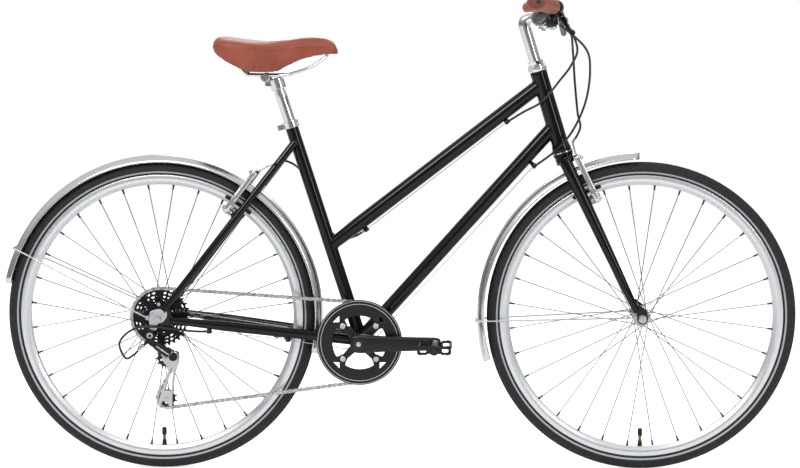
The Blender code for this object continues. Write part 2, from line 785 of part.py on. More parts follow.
def make_chainstay(name, side):
    rings = []
    for back, _ in CHAINSTAY_SPREAD:
        centre = chainstay_centre(back, side)
        slim = between(back, CHAINSTAY_SLIM)
        rings.append(oval(centre, LEFT, UP, CHAINSTAY_HALF_WIDTH * slim, CHAINSTAY_HALF_HEIGHT * slim, 12))
    stay = loft(rings)
    stay = cut(stay, bracket_cutter())
    stay = join(stay, make_dropout(side, side < 0))
    if side > 0:
        # The bridge stands just in front of the fender and ends at the other stay.
        back = rear_axle_back - (REAR_FENDER_RADIUS + GAP + BRIDGE_RADIUS)
        near = chainstay_centre(back, side)
        reach = near.y + (near.y - CHAINSTAY_HALF_WIDTH - GAP - BRIDGE_SLOPE_ROOM)
        stay = join(stay, cylinder(near, near - reach * LEFT, BRIDGE_RADIUS, 10))
    place(stay, name, "frame", BLACK_PAINT)


def seatstay_ends(side):
    return on_seat_tube(SEATSTAY_ON_SEAT_TUBE, side * 0.0175), SEATSTAY_END + side * DROPOUT_Y * LEFT


def seatstay_at(distance, side):
    """The point of a seatstay's middle that lies the given distance from the rear axle in side view."""
    top, end = seatstay_ends(side)
    low, high = 0.0, 1.0
    for _ in range(40):
        share = (low + high) / 2
        point = end + (top - end) * share
        if Vector((point.x - REAR_AXLE.x, point.z - REAR_AXLE.z)).length < distance:
            low = share
        else:
            high = share
    return point


REAR_STAY_UP = (on_seat_tube(SEATSTAY_ON_SEAT_TUBE) - SEATSTAY_END).normalized()
REAR_BRAKE_OUT = Vector((-REAR_STAY_UP.z, 0, REAR_STAY_UP.x))
BRAKE_POST_DISTANCE = RIM_RADIUS - BRAKE_POST_BELOW_RIM_EDGE
REAR_BRAKE_CENTRE = seatstay_at(BRAKE_POST_DISTANCE, 1)
REAR_BRAKE_CENTRE.y = 0.0


def brake_post(centre, out, side):
    start = centre + side * BRAKE_PIVOT_HALF_SPACING * LEFT
    return cylinder(start, start + (ARM_SETOFF - GAP) * out, BRAKE_POST_RADIUS, 10)


def make_seatstay(name, side):
    top, end = seatstay_ends(side)
    stay = cylinder(top, end, SEATSTAY_RADIUS, 12)
    stay = cut(stay, seat_tube_cutter())
    foot = box(REAR_AXLE + Vector((0.012, side * DROPOUT_Y, 0.010)), (0.10, 0.04, 0.0405))
    stay = cut(stay, foot)
    stay = join(stay, brake_post(REAR_BRAKE_CENTRE, REAR_BRAKE_OUT, side))
    if side > 0:
        near = seatstay_at(REAR_FENDER_RADIUS + GAP + BRIDGE_RADIUS, side)
        reach = near.y + (near.y - SEATSTAY_RADIUS - GAP - BRIDGE_SLOPE_ROOM)
        stay = join(stay, cylinder(near, near - reach * LEFT, BRIDGE_RADIUS, 10))
    place(stay, name, "frame", BLACK_PAINT)


make_chainstay("chainstay_right", -1)
make_chainstay("chainstay_left", 1)
make_seatstay("seatstay_right", -1)
make_seatstay("seatstay_left", 1)


def make_headset():
    bore = STEERER_RADIUS + GAP
    cup_top = HEAD_TOP + 0.0115
    upper = [
        (bore, HEAD_TOP + GAP),
        (0.0195, HEAD_TOP + GAP),
        (0.0205, HEAD_TOP + 0.004),
        (0.0190, cup_top),
        (bore, cup_top),
    ]
    place(turned(upper, 16, on_steerer(0), STEER_UP), "headset_upper_cup", "frame", CHROME)
    lower = [
        (bore, CROWN_SEAT + GAP),
        (0.0215, CROWN_SEAT + GAP),
        (0.0225, HEAD_FOOT - 0.005),
        (0.0215, HEAD_FOOT - GAP),
        (bore, HEAD_FOOT - GAP),
    ]
    place(turned(lower, 16, on_steerer(0), STEER_UP), "headset_lower_cup", "frame", CHROME)
    nut_foot = cup_top + GAP
    nut = [
        (bore, nut_foot),
        (0.0190, nut_foot),
        (0.0190, nut_foot + 0.003),
        (0.0175, nut_foot + 0.004),
        (0.0175, nut_foot + 0.012),
        (bore, nut_foot + 0.012),
    ]
    place(turned(nut, 16, on_steerer(0), STEER_UP), "headset_locknut", "steering", CHROME)


make_headset()


def make_seat_clamp():
    foot = SEAT_TUBE_LENGTH - 0.015
    inner = SEAT_TUBE_RADIUS + GAP
    ring = turned(
        [(inner, foot), (0.0180, foot), (0.0180, foot + 0.0155), (inner, foot + 0.0155)],
        20,
        on_seat_tube(0),
        SEAT_UP,
    )
    back = Vector((-SEAT_UP.z, 0, SEAT_UP.x))
    middle = on_seat_tube(foot + 0.0075)
    lug = box(middle + 0.0215 * back, (0.018, 0.012, 0.011), frame_along(SEAT_UP, LEFT))
    bolt = cylinder(middle + 0.0225 * back - 0.012 * LEFT, middle + 0.0225 * back + 0.012 * LEFT, 0.0035, 8)
    place(join(ring, lug, bolt), "seat_clamp", "frame", CHROME)


make_seat_clamp()


# Fork and front end

CROWN_RADIUS = 0.0132
CROWN_MIDDLE = CROWN_SEAT - 0.0135
BLADE_TOP_Y = 0.036
BLADE_END_Y = FRONT_HALF + FORK_END_THICKNESS / 2
BLADE_END = FRONT_AXLE + Vector((-0.0150, 0, 0.0200))
BLADE_UP = (on_steerer(CROWN_MIDDLE) - BLADE_END).normalized()
FRONT_BRAKE_OUT = Vector((BLADE_UP.z, 0, -BLADE_UP.x))


def blade_at(distance):
    """The point of the blades' line that lies the given distance from the front axle."""
    low, high = 0.0, 1.0
    start = BLADE_END
    end = on_steerer(CROWN_MIDDLE)
    for _ in range(40):
        share = (low + high) / 2
        point = start + (end - start) * share
        if (point - FRONT_AXLE).length < distance:
            low = share
        else:
            high = share
    return point


FRONT_BRAKE_CENTRE = blade_at(BRAKE_POST_DISTANCE)


def make_fork():
    steerer_top = HEAD_TOP + 0.0235
    fork = cylinder(on_steerer(CROWN_MIDDLE), on_steerer(steerer_top), STEERER_RADIUS, 20)
    crown_right = on_steerer(CROWN_MIDDLE, 0.0, -BLADE_TOP_Y)
    crown_left = on_steerer(CROWN_MIDDLE, 0.0, BLADE_TOP_Y)
    crown = cylinder(crown_right, crown_left, CROWN_RADIUS, 14)
    seat = cylinder(on_steerer(CROWN_MIDDLE), on_steerer(CROWN_SEAT), 0.0205, 20)
    fork = join(fork, crown, seat)
    for side in SIDES.values():
        top = on_steerer(CROWN_MIDDLE, 0.0, side * BLADE_TOP_Y)
        end = BLADE_END + side * BLADE_END_Y * LEFT
        forward = FRONT_BRAKE_OUT
        rings = [
            oval(top + 0.010 * STEER_UP, LEFT, forward, 0.0095, 0.0115, 12),
            oval(top, LEFT, forward, 0.0120, 0.0142, 12),
            oval(top + (end - top) * 0.5, LEFT, forward, 0.0105, 0.0118, 12),
            oval(end, LEFT, forward, 0.0065, 0.0078, 12),
        ]
        fork = join(fork, loft(rings))
        outline = [
            (-0.0120, 0.0100),
            (-0.0130, -0.0010),
            (-0.0090, -0.0095),
            (0.0, -0.0130),
            (0.0090, -0.0095),
            (0.0130, -0.0005),
            (0.0110, 0.0080),
            (0.0110, 0.0180),
            (0.0030, 0.0230),
            (-0.0080, 0.0330),
            (-0.0220, 0.0260),
        ]
        tip = FRONT_AXLE + side * BLADE_END_Y * LEFT
        hole = cylinder(tip - 0.01 * LEFT, tip + 0.01 * LEFT, AXLE_RADIUS + GAP, 12)
        fork = join(fork, cut(slab(outline, FORK_END_THICKNESS, tip, FORWARD, UP), hole))
        fork = join(fork, brake_post(FRONT_BRAKE_CENTRE, FRONT_BRAKE_OUT, side))
    bore = cylinder(on_steerer(QUILL_BOTTOM - 0.01), on_steerer(steerer_top + 0.01), STEERER_BORE, 20)
    place(cut(fork, bore), "fork", "steering", BLACK_PAINT)


make_fork()


HAND_START_Y = LEVER_CLAMP_Y - 0.018
HAND_START_FORWARD = 0.0365
HAND_START_RISE = 0.0196
BAR_END_INSET = 0.0015


def bar_path(side):
    """The handlebar's middle line on one side, from the stem outwards: a bend, then a straight hand part."""
    hand_start = Vector((HAND_START_FORWARD, HAND_START_Y * side, HAND_START_RISE))
    reach = BAR_HALF_WIDTH - BAR_END_INSET - HAND_START_Y
    out = HAND_START_Y * side
    offsets = [
        Vector((0, 0.193 * out, 0)),
        Vector((0.002, 0.345 * out, 0.002)),
        Vector((0.010, 0.538 * out, 0.009)),
        Vector((0.0285, 0.772 * out, 0.0175)),
        Vector((0.0350, 0.883 * out, 0.0192)),
        hand_start,
    ]
    bend = smooth([BAR_CENTRE + offset for offset in offsets], 0.016)
    return bend + [BAR_CENTRE + hand_start + reach * hand_direction(side)]


def hand_direction(side):
    """The way that the grip runs outwards, scaled so that its sideways part is one."""
    return Vector((-math.tan(BAR_SWEEP), side, math.tan(BAR_UPSWEEP)))


def bar_at(y, side):
    """The middle of the bar's hand part at a distance from the bike's middle."""
    hand_start = Vector((HAND_START_FORWARD, HAND_START_Y * side, HAND_START_RISE))
    return BAR_CENTRE + hand_start + (y - HAND_START_Y) * hand_direction(side)


def make_stem_and_bar():
    tangent = STEM_BEND * math.tan((math.pi - HEAD_ANGLE) / 2)
    bend_middle = stem_top - tangent * STEER_UP + STEM_BEND * STEER_FORWARD
    bend = [on_steerer(QUILL_BOTTOM)]
    for index in range(7):
        angle = (math.pi - HEAD_ANGLE) * index / 6
        away = STEER_UP * math.sin(angle) - STEER_FORWARD * math.cos(angle)
        bend.append(bend_middle + STEM_BEND * away)
    bend.append(BAR_CENTRE - 0.012 * FORWARD)
    quill = wire(bend, QUILL_RADIUS, 6)
    half = 0.021
    hug = cylinder(BAR_CENTRE - half * LEFT, BAR_CENTRE + half * LEFT, 0.0185, 18)
    bore_radius = bore_of(BAR_CLAMP_RADIUS, 16)
    bore = cylinder(BAR_CENTRE - 0.04 * LEFT, BAR_CENTRE + 0.04 * LEFT, bore_radius, 16)
    place(cut(join(quill, hug), bore), "stem", "steering", CHROME)

    path = list(reversed(bar_path(-1))) + bar_path(1)
    radii = [between(abs(p.y), [(0.03, BAR_CLAMP_RADIUS), (0.07, BAR_RADIUS)]) for p in path]
    place(wire(path, BAR_RADIUS, 3, radii), "handlebar", "steering", BLACK_ALLOY)


make_stem_and_bar()


def make_grip(name, side):
    """An ergonomic grip: round where the fingers close, with a wing behind for the palm."""
    run = hand_direction(side).normalized()
    rearwards = Vector((-1, 0, -0.10))
    rearwards -= rearwards.dot(run) * run
    rearwards.normalize()
    upwards = run.cross(rearwards) * side
    start_y = BAR_HALF_WIDTH - GRIP_LENGTH
    rings = []
    for share, round_part, wing in (
        (0.0, 0.94, 0.0),
        (0.06, 1.0, 0.0),
        (0.35, 1.0, 0.25),
        (0.62, 1.0, 0.70),
        (0.86, 1.0, 1.0),
        (0.97, 0.98, 0.97),
        (1.0, 0.90, 0.80),
    ):
        centre = bar_at(start_y + share * GRIP_LENGTH, side)
        ring = []
        for index in range(GRIP_SIDES):
            angle = 2 * math.pi * index / GRIP_SIDES
            bulge = max(0.0, math.cos(angle)) ** 3
            radius = GRIP_RADIUS * round_part + GRIP_WING * wing * bulge
            ring.append(centre + radius * (math.cos(angle) * rearwards + math.sin(angle) * upwards))
        rings.append(ring)
    grip = loft(rings)
    bore_start = bar_at(start_y - 0.02, side)
    bore_end = bar_at(BAR_HALF_WIDTH + 0.02, side)
    bore = cylinder(bore_start, bore_end, bore_of(BAR_RADIUS, 12), 12)
    place(cut(grip, bore), name, "steering", TAN_LEATHER)


LEVER_PIVOT = BAR_CENTRE + Vector((0.049, 0, -0.002))
LEVER_PIVOT_Y = LEVER_CLAMP_Y - 0.023
LEVER_THICKNESS = 0.009
# The lever turns about the first of these and moves against the second as it closes.
LEVER_FLAT = Vector((math.cos(LEVER_LEAN), 0, math.sin(LEVER_LEAN)))
LEVER_CLOSING = Vector((math.sin(LEVER_LEAN), 0, -math.cos(LEVER_LEAN)))


def lever_pivot(side):
    return LEVER_PIVOT + side * LEVER_PIVOT_Y * LEFT


def housing_seat(side):
    """Where the brake cable's housing enters the lever's body, on its inboard end."""
    return lever_pivot(side) - 0.009 * LEVER_CLOSING - side * (0.0200 + 2 * GAP) * LEFT


def make_brake_mount(name, side):
    """The clamp and the body that hold the brake lever, with the shifter pod on the right."""
    run = hand_direction(side).normalized()
    centre = bar_at(LEVER_CLAMP_Y, side)
    half = 0.009
    ring = cylinder(centre - half * run, centre + half * run, 0.0165, 14)
    pivot = lever_pivot(side)
    arm_end = pivot - (LEVER_THICKNESS / 2 + GAP) * LEVER_CLOSING - side * 0.0095 * LEFT
    down = Vector((arm_end.x - centre.x, 0, arm_end.z - centre.z)).normalized()
    way = arm_end - centre
    middle = centre + Vector((0.60 * way.x, 0.25 * way.y, 0.60 * way.z))
    rings = [
        oval(centre + 0.012 * down, side * run, down.cross(side * run), 0.008, 0.009, 8),
        oval(middle, LEFT, down.cross(LEFT), 0.009, 0.009, 8),
        oval(arm_end, LEFT, LEVER_FLAT, 0.0105, 0.0070, 8),
    ]
    mount = join(ring, loft(rings))
    bore = cylinder(centre - 0.03 * run, centre + 0.03 * run, bore_of(BAR_RADIUS, 12), 12)
    mount = cut(mount, bore)
    if side < 0:
        pod_start = centre + Vector((-0.005, 0.0, -0.0128))
        pod = loft(
            [
                oval(pod_start, LEFT, FORWARD, 0.012, 0.0110, 10),
                oval(pod_start + Vector((-0.003, 0, -0.0162)), LEFT, FORWARD, 0.019, 0.0135, 10),
                oval(pod_start + Vector((-0.003, 0, -0.0282)), LEFT, FORWARD, 0.016, 0.0110, 10),
            ]
        )
        mount = join(mount, pod)
    place(mount, name, "steering", BLACK_ALLOY)


def make_brake_lever(name, side, body_name):
    """The lever blade, from its pivot outwards in front of the grip."""
    pivot = lever_pivot(side)
    half = LEVER_THICKNESS / 2
    offsets = (
        (0.0, -0.0180, 0.0, 0.0060, 1.0),
        (0.0, 0.0050, -0.0010, 0.0075, 1.0),
        (0.0060, 0.0250, -0.0100, 0.0070, 1.0),
        (0.0090, 0.0600, -0.0180, 0.0065, 0.9),
        (0.0120, 0.0950, -0.0260, 0.0060, 0.9),
        (0.0150, 0.1130, -0.0310, 0.0068, 1.1),
        (0.0170, 0.1210, -0.0340, 0.0040, 0.8),
    )
    rings = []
    for forward, out, up, wide, share in offsets:
        centre = pivot + Vector((forward, side * out, up))
        rings.append(oval(centre, LEVER_FLAT, LEVER_CLOSING, wide, half * share, 8))
    place(loft(rings), name, body_name, BLACK_ALLOY)


for side_name, side_sign in SIDES.items():
    body("brake_lever_" + side_name, lever_pivot(side_sign))
    make_grip("grip_" + side_name, side_sign)
    make_brake_mount("brake_mount_" + side_name, side_sign)
    make_brake_lever("brake_lever_" + side_name, side_sign, "brake_lever_" + side_name)

SHIFT_PIVOT = bar_at(LEVER_CLAMP_Y, -1) + Vector((-0.006, 0, -0.0410 - GAP))
body("shift_lever", SHIFT_PIVOT)
SHIFT_LEVER_THICKNESS = 0.004
SHIFT_LEVER_OUTLINE = [
    (0.010, 0.009),
    (-0.010, 0.009),
    (-0.014, -0.004),
    (-0.012, -0.022),
    (0.002, -0.026),
    (0.010, -0.004),
]
lever_middle = SHIFT_PIVOT - SHIFT_LEVER_THICKNESS / 2 * UP
thumb_lever = slab(SHIFT_LEVER_OUTLINE, SHIFT_LEVER_THICKNESS, lever_middle, LEFT, FORWARD)
place(thumb_lever, "shift_lever", "shift_lever", CHROME)


# Brakes

def make_pad(side, axle, middle):
    """A brake pad, curved along the rim, with its middle in the direction of the given point."""
    toward = middle - axle
    radius = RIM_RADIUS - PAD_BELOW_RIM_EDGE
    pad_inner = side * (RIM_WIDTH / 2 + PAD_GAP)
    pad_outer = pad_inner + side * PAD_THICKNESS
    rings = []
    for share in (-0.5, 0, 0.5):
        angle = math.atan2(toward.z, toward.x) + share * PAD_LENGTH / radius
        low = radius - PAD_HEIGHT / 2
        high = radius + PAD_HEIGHT / 2
        corners = ((low, pad_inner), (low, pad_outer), (high, pad_outer), (high, pad_inner))
        rings.append([polar(axle, distance, angle, y) for distance, y in corners])
    return loft(rings)


def make_brake_arm(name, side, axle, centre, up, out, has_noodle, body_name):
    """One arm with its pad: it stands on the post and reaches past the tyre."""
    pivot = centre + side * BRAKE_PIVOT_HALF_SPACING * LEFT + (ARM_SETOFF + ARM_THICKNESS / 2) * out
    across = side * LEFT
    outline = [
        (-0.0085, 0.0),
        (-0.0060, -0.0065),
        (0.0, -0.0090),
        (0.0060, -0.0065),
        (0.0085, 0.0),
        (0.0078, 0.034),
        (0.0030, 0.072),
        (0.0015, ARM_LENGTH),
        (-0.0095, ARM_LENGTH),
        (-0.0085, 0.066),
        (-0.0060, 0.034),
    ]
    arm = slab(outline, ARM_THICKNESS, pivot, across, up)
    post_foot = centre + PAD_POST_ABOVE_PIVOT * up
    pad = make_pad(side, axle, post_foot + PAD_FORWARD * out)
    pad_middle = side * (RIM_WIDTH / 2 + PAD_GAP + PAD_THICKNESS / 2) * LEFT
    post_start = post_foot + pad_middle + (ARM_SETOFF + ARM_THICKNESS / 2) * out
    post = cylinder(post_start, post_start + side * 0.016 * LEFT, 0.004, 8)
    arm = join(arm, pad, post)
    if has_noodle:
        hole_middle = pivot + (ARM_LENGTH - 0.006) * up
        arm = cut(arm, cylinder(hole_middle - 0.03 * LEFT, hole_middle + 0.03 * LEFT, NOODLE_HOLE, 8))
    place(arm, name, body_name, POLISHED)


BRAKES = {
    "front": (FRONT_AXLE, FRONT_BRAKE_CENTRE, BLADE_UP, FRONT_BRAKE_OUT),
    "rear": (REAR_AXLE, REAR_BRAKE_CENTRE, REAR_STAY_UP, REAR_BRAKE_OUT),
}
for brake_name, (brake_axle, brake_centre, brake_up, brake_out) in BRAKES.items():
    for side_name, side_sign in SIDES.items():
        arm_name = "brake_arm_" + brake_name + "_" + side_name
        body(arm_name, brake_centre + side_sign * BRAKE_PIVOT_HALF_SPACING * LEFT + ARM_SETOFF * brake_out)
        make_brake_arm(
            arm_name, side_sign, brake_axle, brake_centre, brake_up, brake_out, side_sign > 0, arm_name
        )


# Fenders

def make_fender(name, axle, radius, first, last, body_name, tab_angle=None):
    """A rolled aluminium mudguard: an arched section carried round part of the wheel."""
    steps = max(8, round(math.degrees(last - first) / 5.5))
    section = [
        (radius - FENDER_DEPTH, -FENDER_HALF_WIDTH),
        (radius - 0.0055, -FENDER_HALF_WIDTH * 0.86),
        (radius, -FENDER_HALF_WIDTH * 0.36),
        (radius, FENDER_HALF_WIDTH * 0.36),
        (radius - 0.0055, FENDER_HALF_WIDTH * 0.86),
        (radius - FENDER_DEPTH, FENDER_HALF_WIDTH),
    ]
    inner = []
    for r, y in section:
        shrink = 1 - FENDER_WALL / FENDER_HALF_WIDTH
        inner.append((r - FENDER_WALL * 0.8, y * shrink))
    loop = section + list(reversed(inner))
    rings = []
    for index in range(steps + 1):
        angle = first + (last - first) * index / steps
        rings.append([polar(axle, r, angle, y) for r, y in loop])
    made = loft(rings)
    if tab_angle is not None:
        # A tab on the fender's back bears on the fork crown, which carries it.
        middle = (radius - FENDER_WALL / 2 + CROWN_CLEAR) / 2
        depth = CROWN_CLEAR - radius + FENDER_WALL / 2
        outwards = Vector((math.cos(tab_angle), 0, math.sin(tab_angle)))
        turn = Matrix((outwards, LEFT, outwards.cross(LEFT))).transposed().to_4x4()
        made = join(made, box(axle + middle * outwards, (depth, 0.014, 0.018), turn))
    place(made, name, body_name, POLISHED)


crown_way = on_steerer(CROWN_MIDDLE) - FRONT_AXLE
CROWN_CLEAR = crown_way.length - CROWN_RADIUS - GAP
make_fender(
    "front_fender",
    FRONT_AXLE,
    FRONT_FENDER_RADIUS,
    FRONT_FENDER_TIP,
    FRONT_FENDER_TAIL,
    "steering",
    math.atan2(crown_way.z, crown_way.x),
)
make_fender("rear_fender", REAR_AXLE, REAR_FENDER_RADIUS, REAR_FENDER_NOSE, REAR_FENDER_TAIL, "frame")


def make_fender_stays(name, axle, radius, angle, eyelet, eyelet_y, body_name):
    """One wire bent round the outside of the fender, with an end screwed to each fork end."""
    over = radius + GAP + STAY_RADIUS
    wide = FENDER_HALF_WIDTH + GAP + STAY_RADIUS + 0.0008
    half = [
        eyelet + eyelet_y * LEFT,
        eyelet + (eyelet_y + 0.001) * LEFT + (polar(axle, radius, angle) - eyelet) * 0.05,
        polar(axle, radius - FENDER_DEPTH - 0.006, angle, wide + 0.001),
        polar(axle, over - 0.004, angle, wide),
        polar(axle, over, angle, wide - 0.004),
    ]
    other = [Vector((p.x, -p.y, p.z)) for p in reversed(half)]
    place(wire(half + other, STAY_RADIUS, 1), name, body_name, STEEL)


FRONT_EYELET = FRONT_AXLE + Vector((-0.0175, 0, 0.0035))
REAR_EYELET = REAR_AXLE + Vector((-0.0215, 0, 0.0040))
STAY_ROOM = GAP + STAY_RADIUS
make_fender_stays(
    "front_fender_stays",
    FRONT_AXLE,
    FRONT_FENDER_RADIUS,
    FRONT_STAY_ANGLE,
    FRONT_EYELET,
    FRONT_HALF + FORK_END_THICKNESS + STAY_ROOM,
    "steering",
)
make_fender_stays(
    "rear_fender_stays",
    REAR_AXLE,
    REAR_FENDER_RADIUS,
    REAR_STAY_ANGLE,
    REAR_EYELET,
    REAR_HALF + FORK_END_THICKNESS + STAY_ROOM,
    "frame",
)


# Seat

def make_seatpost():
    post = cylinder(on_seat_tube(SEATPOST_BOTTOM), on_seat_tube(SEATPOST_TOP), SEATPOST_RADIUS, 20)
    place(post, "seatpost", "seatpost", CHROME)
    collar = turned(
        [
            (SEATPOST_RADIUS + GAP, SEATPOST_TOP - 0.026),
            (0.0165, SEATPOST_TOP - 0.026),
            (0.0165, SEATPOST_TOP - 0.002),
            (SEATPOST_RADIUS + GAP, SEATPOST_TOP - 0.002),
        ],
        20,
        on_seat_tube(0),
        SEAT_UP,
    )
    half = RAIL_HALF_SPACING - RAIL_RADIUS - GAP
    barrel = cylinder(SADDLE_PIVOT - half * LEFT, SADDLE_PIVOT + half * LEFT, 0.0105, 14)
    neck = box(SADDLE_PIVOT + Vector((0.007, 0, -0.011)), (0.016, 0.020, 0.016))
    bore = cylinder(
        on_seat_tube(SEATPOST_TOP - 0.05), on_seat_tube(SEATPOST_TOP + 0.02), SEATPOST_RADIUS + GAP, 20
    )
    clamp = cut(join(collar, barrel, neck), bore)
    place(clamp, "saddle_clamp", "seatpost", CHROME)


make_seatpost()

# The foot of the saddle's tail, from which its tables count
SADDLE_TAIL = SADDLE_PIVOT + Vector((-0.11617, 0, -0.58641))
# Distance forward from the saddle's tail, and height over its foot
SADDLE_TOP = [
    (0.0, 0.668),
    (0.012, 0.676),
    (0.060, 0.671),
    (0.114, 0.665),
    (0.160, 0.667),
    (0.215, 0.6735),
    (0.262, 0.669),
    (0.280, 0.655),
]
SADDLE_SKIRT = [
    (0.0, 0.652),
    (0.010, 0.636),
    (0.050, 0.612),
    (0.085, 0.597),
    (0.132, 0.596),
    (0.160, 0.609),
    (0.196, 0.624),
    (0.240, 0.634),
    (0.280, 0.636),
]
# Distance from the tail, and half the width
SADDLE_PLAN = [
    (0.0, 0.0),
    (0.000, 0.034),
    (0.008, 0.064),
    (0.030, 0.084),
    (0.062, 0.090),
    (0.094, 0.082),
    (0.122, 0.064),
    (0.150, 0.045),
    (0.186, 0.031),
    (0.225, 0.0235),
    (0.258, 0.0200),
    (0.274, 0.0130),
    (0.280, 0.0),
]


# Share of the way from the ridge to the edge, drop from the top, and how far the ring is drawn in.
# The last ring is the lower edge of the skirt.
SADDLE_RINGS = [
    (0.0, 0.0, 1.0),
    (0.50, 0.0015, 1.0),
    (0.82, 0.007, 1.0),
    (1.0, 0.020, 1.0),
    (1.0, None, 0.93),
]
SADDLE_RIDGE_TAIL = 0.035
SADDLE_RIDGE_NOSE = 0.258


def saddle_point(along, y, up):
    return Vector((SADDLE_TAIL.x + along, y, SADDLE_TAIL.z + up))


def make_saddle():
    """A crowned shell with padding: rings run from the ridge out to the edge and down the skirt."""
    plan = SADDLE_PLAN + [(along, -y) for along, y in reversed(SADDLE_PLAN[1:-1])]
    rows = []
    for share, drop, tuck in SADDLE_RINGS:
        row = []
        for along, y in plan:
            ridge = min(max(along, SADDLE_RIDGE_TAIL), SADDLE_RIDGE_NOSE)
            x = ridge + (along - ridge) * share * tuck
            across = y * share * tuck
            top = between(x, SADDLE_TOP)
            skirt = between(x, SADDLE_SKIRT)
            height = skirt if drop is None else max(top - drop, skirt + 0.004)
            row.append(saddle_point(x, across, height))
        rows.append(row)
    mesh_data = bmesh.new()
    made = [[mesh_data.verts.new(point) for point in row] for row in rows]
    count = len(plan)
    for row, following in zip(made, made[1:]):
        for index in range(count):
            after = (index + 1) % count
            mesh_data.faces.new((row[index], row[after], following[after], following[index]))
    bmesh.ops.remove_doubles(mesh_data, verts=mesh_data.verts, dist=WELD)
    top = object_from(mesh_data, "saddle")
    shell = top.modifiers.new("shell", "SOLIDIFY")
    shell.thickness = SADDLE_SHELL
    shell.offset = -1
    place(bake(top), "saddle", "saddle", TAN_LEATHER)


make_saddle()


def make_saddle_rails():
    rail_top = SADDLE_PIVOT.z - SADDLE_TAIL.z + 0.006
    tail_end = between(0.030, SADDLE_TOP) - SADDLE_SHELL - RAIL_RADIUS - 0.0035
    nose_end = between(0.256, SADDLE_SKIRT)
    half = [
        (0.030, 0.040, tail_end),
        (0.050, 0.036, rail_top + 0.030),
        (0.072, 0.026, rail_top + 0.004),
        (0.085, RAIL_HALF_SPACING, rail_top),
        (0.160, RAIL_HALF_SPACING, rail_top),
        (0.176, 0.0205, rail_top + 0.003),
        (0.214, 0.0140, rail_top + 0.016),
        (0.243, 0.0090, rail_top + 0.034),
        (0.252, 0.0070, nose_end),
        (0.256, 0.0035, nose_end + 0.008),
    ]
    right = [saddle_point(along, -y, up) for along, y, up in half]
    left = [saddle_point(along, y, up) for along, y, up in reversed(half)]
    place(wire(right + left, RAIL_RADIUS, 1), "saddle_rails", "saddle", CHROME)


make_saddle_rails()


# Cranks and pedals

def make_chainring():
    """The toothed ring and the chain guard, joined through four bolted tabs."""
    guard_face = CHAINLINE + 0.0055
    guard_middle = guard_face + GUARD_THICKNESS / 2
    centre = BOTTOM_BRACKET - CHAINLINE * LEFT
    edge = toothed(RING_TEETH, RING_PITCH_RADIUS)
    ring = plate([edge, circle(0.062, 32)], RING_THICKNESS, centre, FORWARD, UP)
    guard = plate(
        [circle(GUARD_RADIUS, 44), circle(0.064, 32)],
        GUARD_THICKNESS,
        BOTTOM_BRACKET - guard_middle * LEFT,
        FORWARD,
        UP,
    )
    tabs = []
    for index in range(4):
        angle = math.radians(45 + 90 * index)
        outwards = Vector((math.cos(angle), 0, math.sin(angle)))
        depth = guard_face + GUARD_THICKNESS - (CHAINLINE - RING_THICKNESS / 2)
        middle = CHAINLINE - RING_THICKNESS / 2 + depth / 2
        spot = BOTTOM_BRACKET + (BOLT_CIRCLE + 0.0058) * outwards - middle * LEFT
        turn = Matrix((outwards, LEFT, outwards.cross(LEFT))).transposed().to_4x4()
        tabs.append(box(spot, (0.0216, depth, 0.017), turn))
    place(join(ring, guard, *tabs), "chainring", "crank", BLACK_ALLOY)


def crank_arm(direction, side):
    """The arm from the spindle to the pedal, with the pedal's axle."""
    outer = side * CRANK_OUTER
    face = outer - side * CRANK_THICKNESS
    centre = BOTTOM_BRACKET + face * LEFT
    rings = []
    for share, half, inner, thick in (
        (-0.095, 0.008, face, 0.012),
        (-0.075, 0.0165, face - side * 0.004, 0.018),
        (0.10, 0.0190, face - side * 0.006, 0.020),
        (0.45, 0.0155, face, CRANK_THICKNESS),
        (0.90, 0.0150, face, CRANK_THICKNESS),
        (1.0, 0.0145, face, CRANK_THICKNESS),
        (1.07, 0.0085, face, CRANK_THICKNESS),
    ):
        spot = centre + direction * CRANK_LENGTH * share
        low = inner
        high = inner + side * thick
        corners = []
        for y, z in (
            (low, -half),
            (low + side * 0.003, -half - 0.001),
            (high - side * 0.003, -half - 0.001),
            (high, -half + 0.003),
            (high, half - 0.003),
            (high - side * 0.003, half + 0.001),
            (low + side * 0.003, half + 0.001),
            (low, half),
        ):
            corners.append(Vector((spot.x, y, spot.z + z)))
        rings.append(corners)
    arm = loft(rings)
    pedal_foot = BOTTOM_BRACKET + direction * CRANK_LENGTH + (outer - side * 0.005) * LEFT
    axle = cylinder(pedal_foot, pedal_foot + side * (PEDAL_WIDTH - 0.010) * LEFT, PEDAL_AXLE_RADIUS, 12)
    return join(arm, axle)


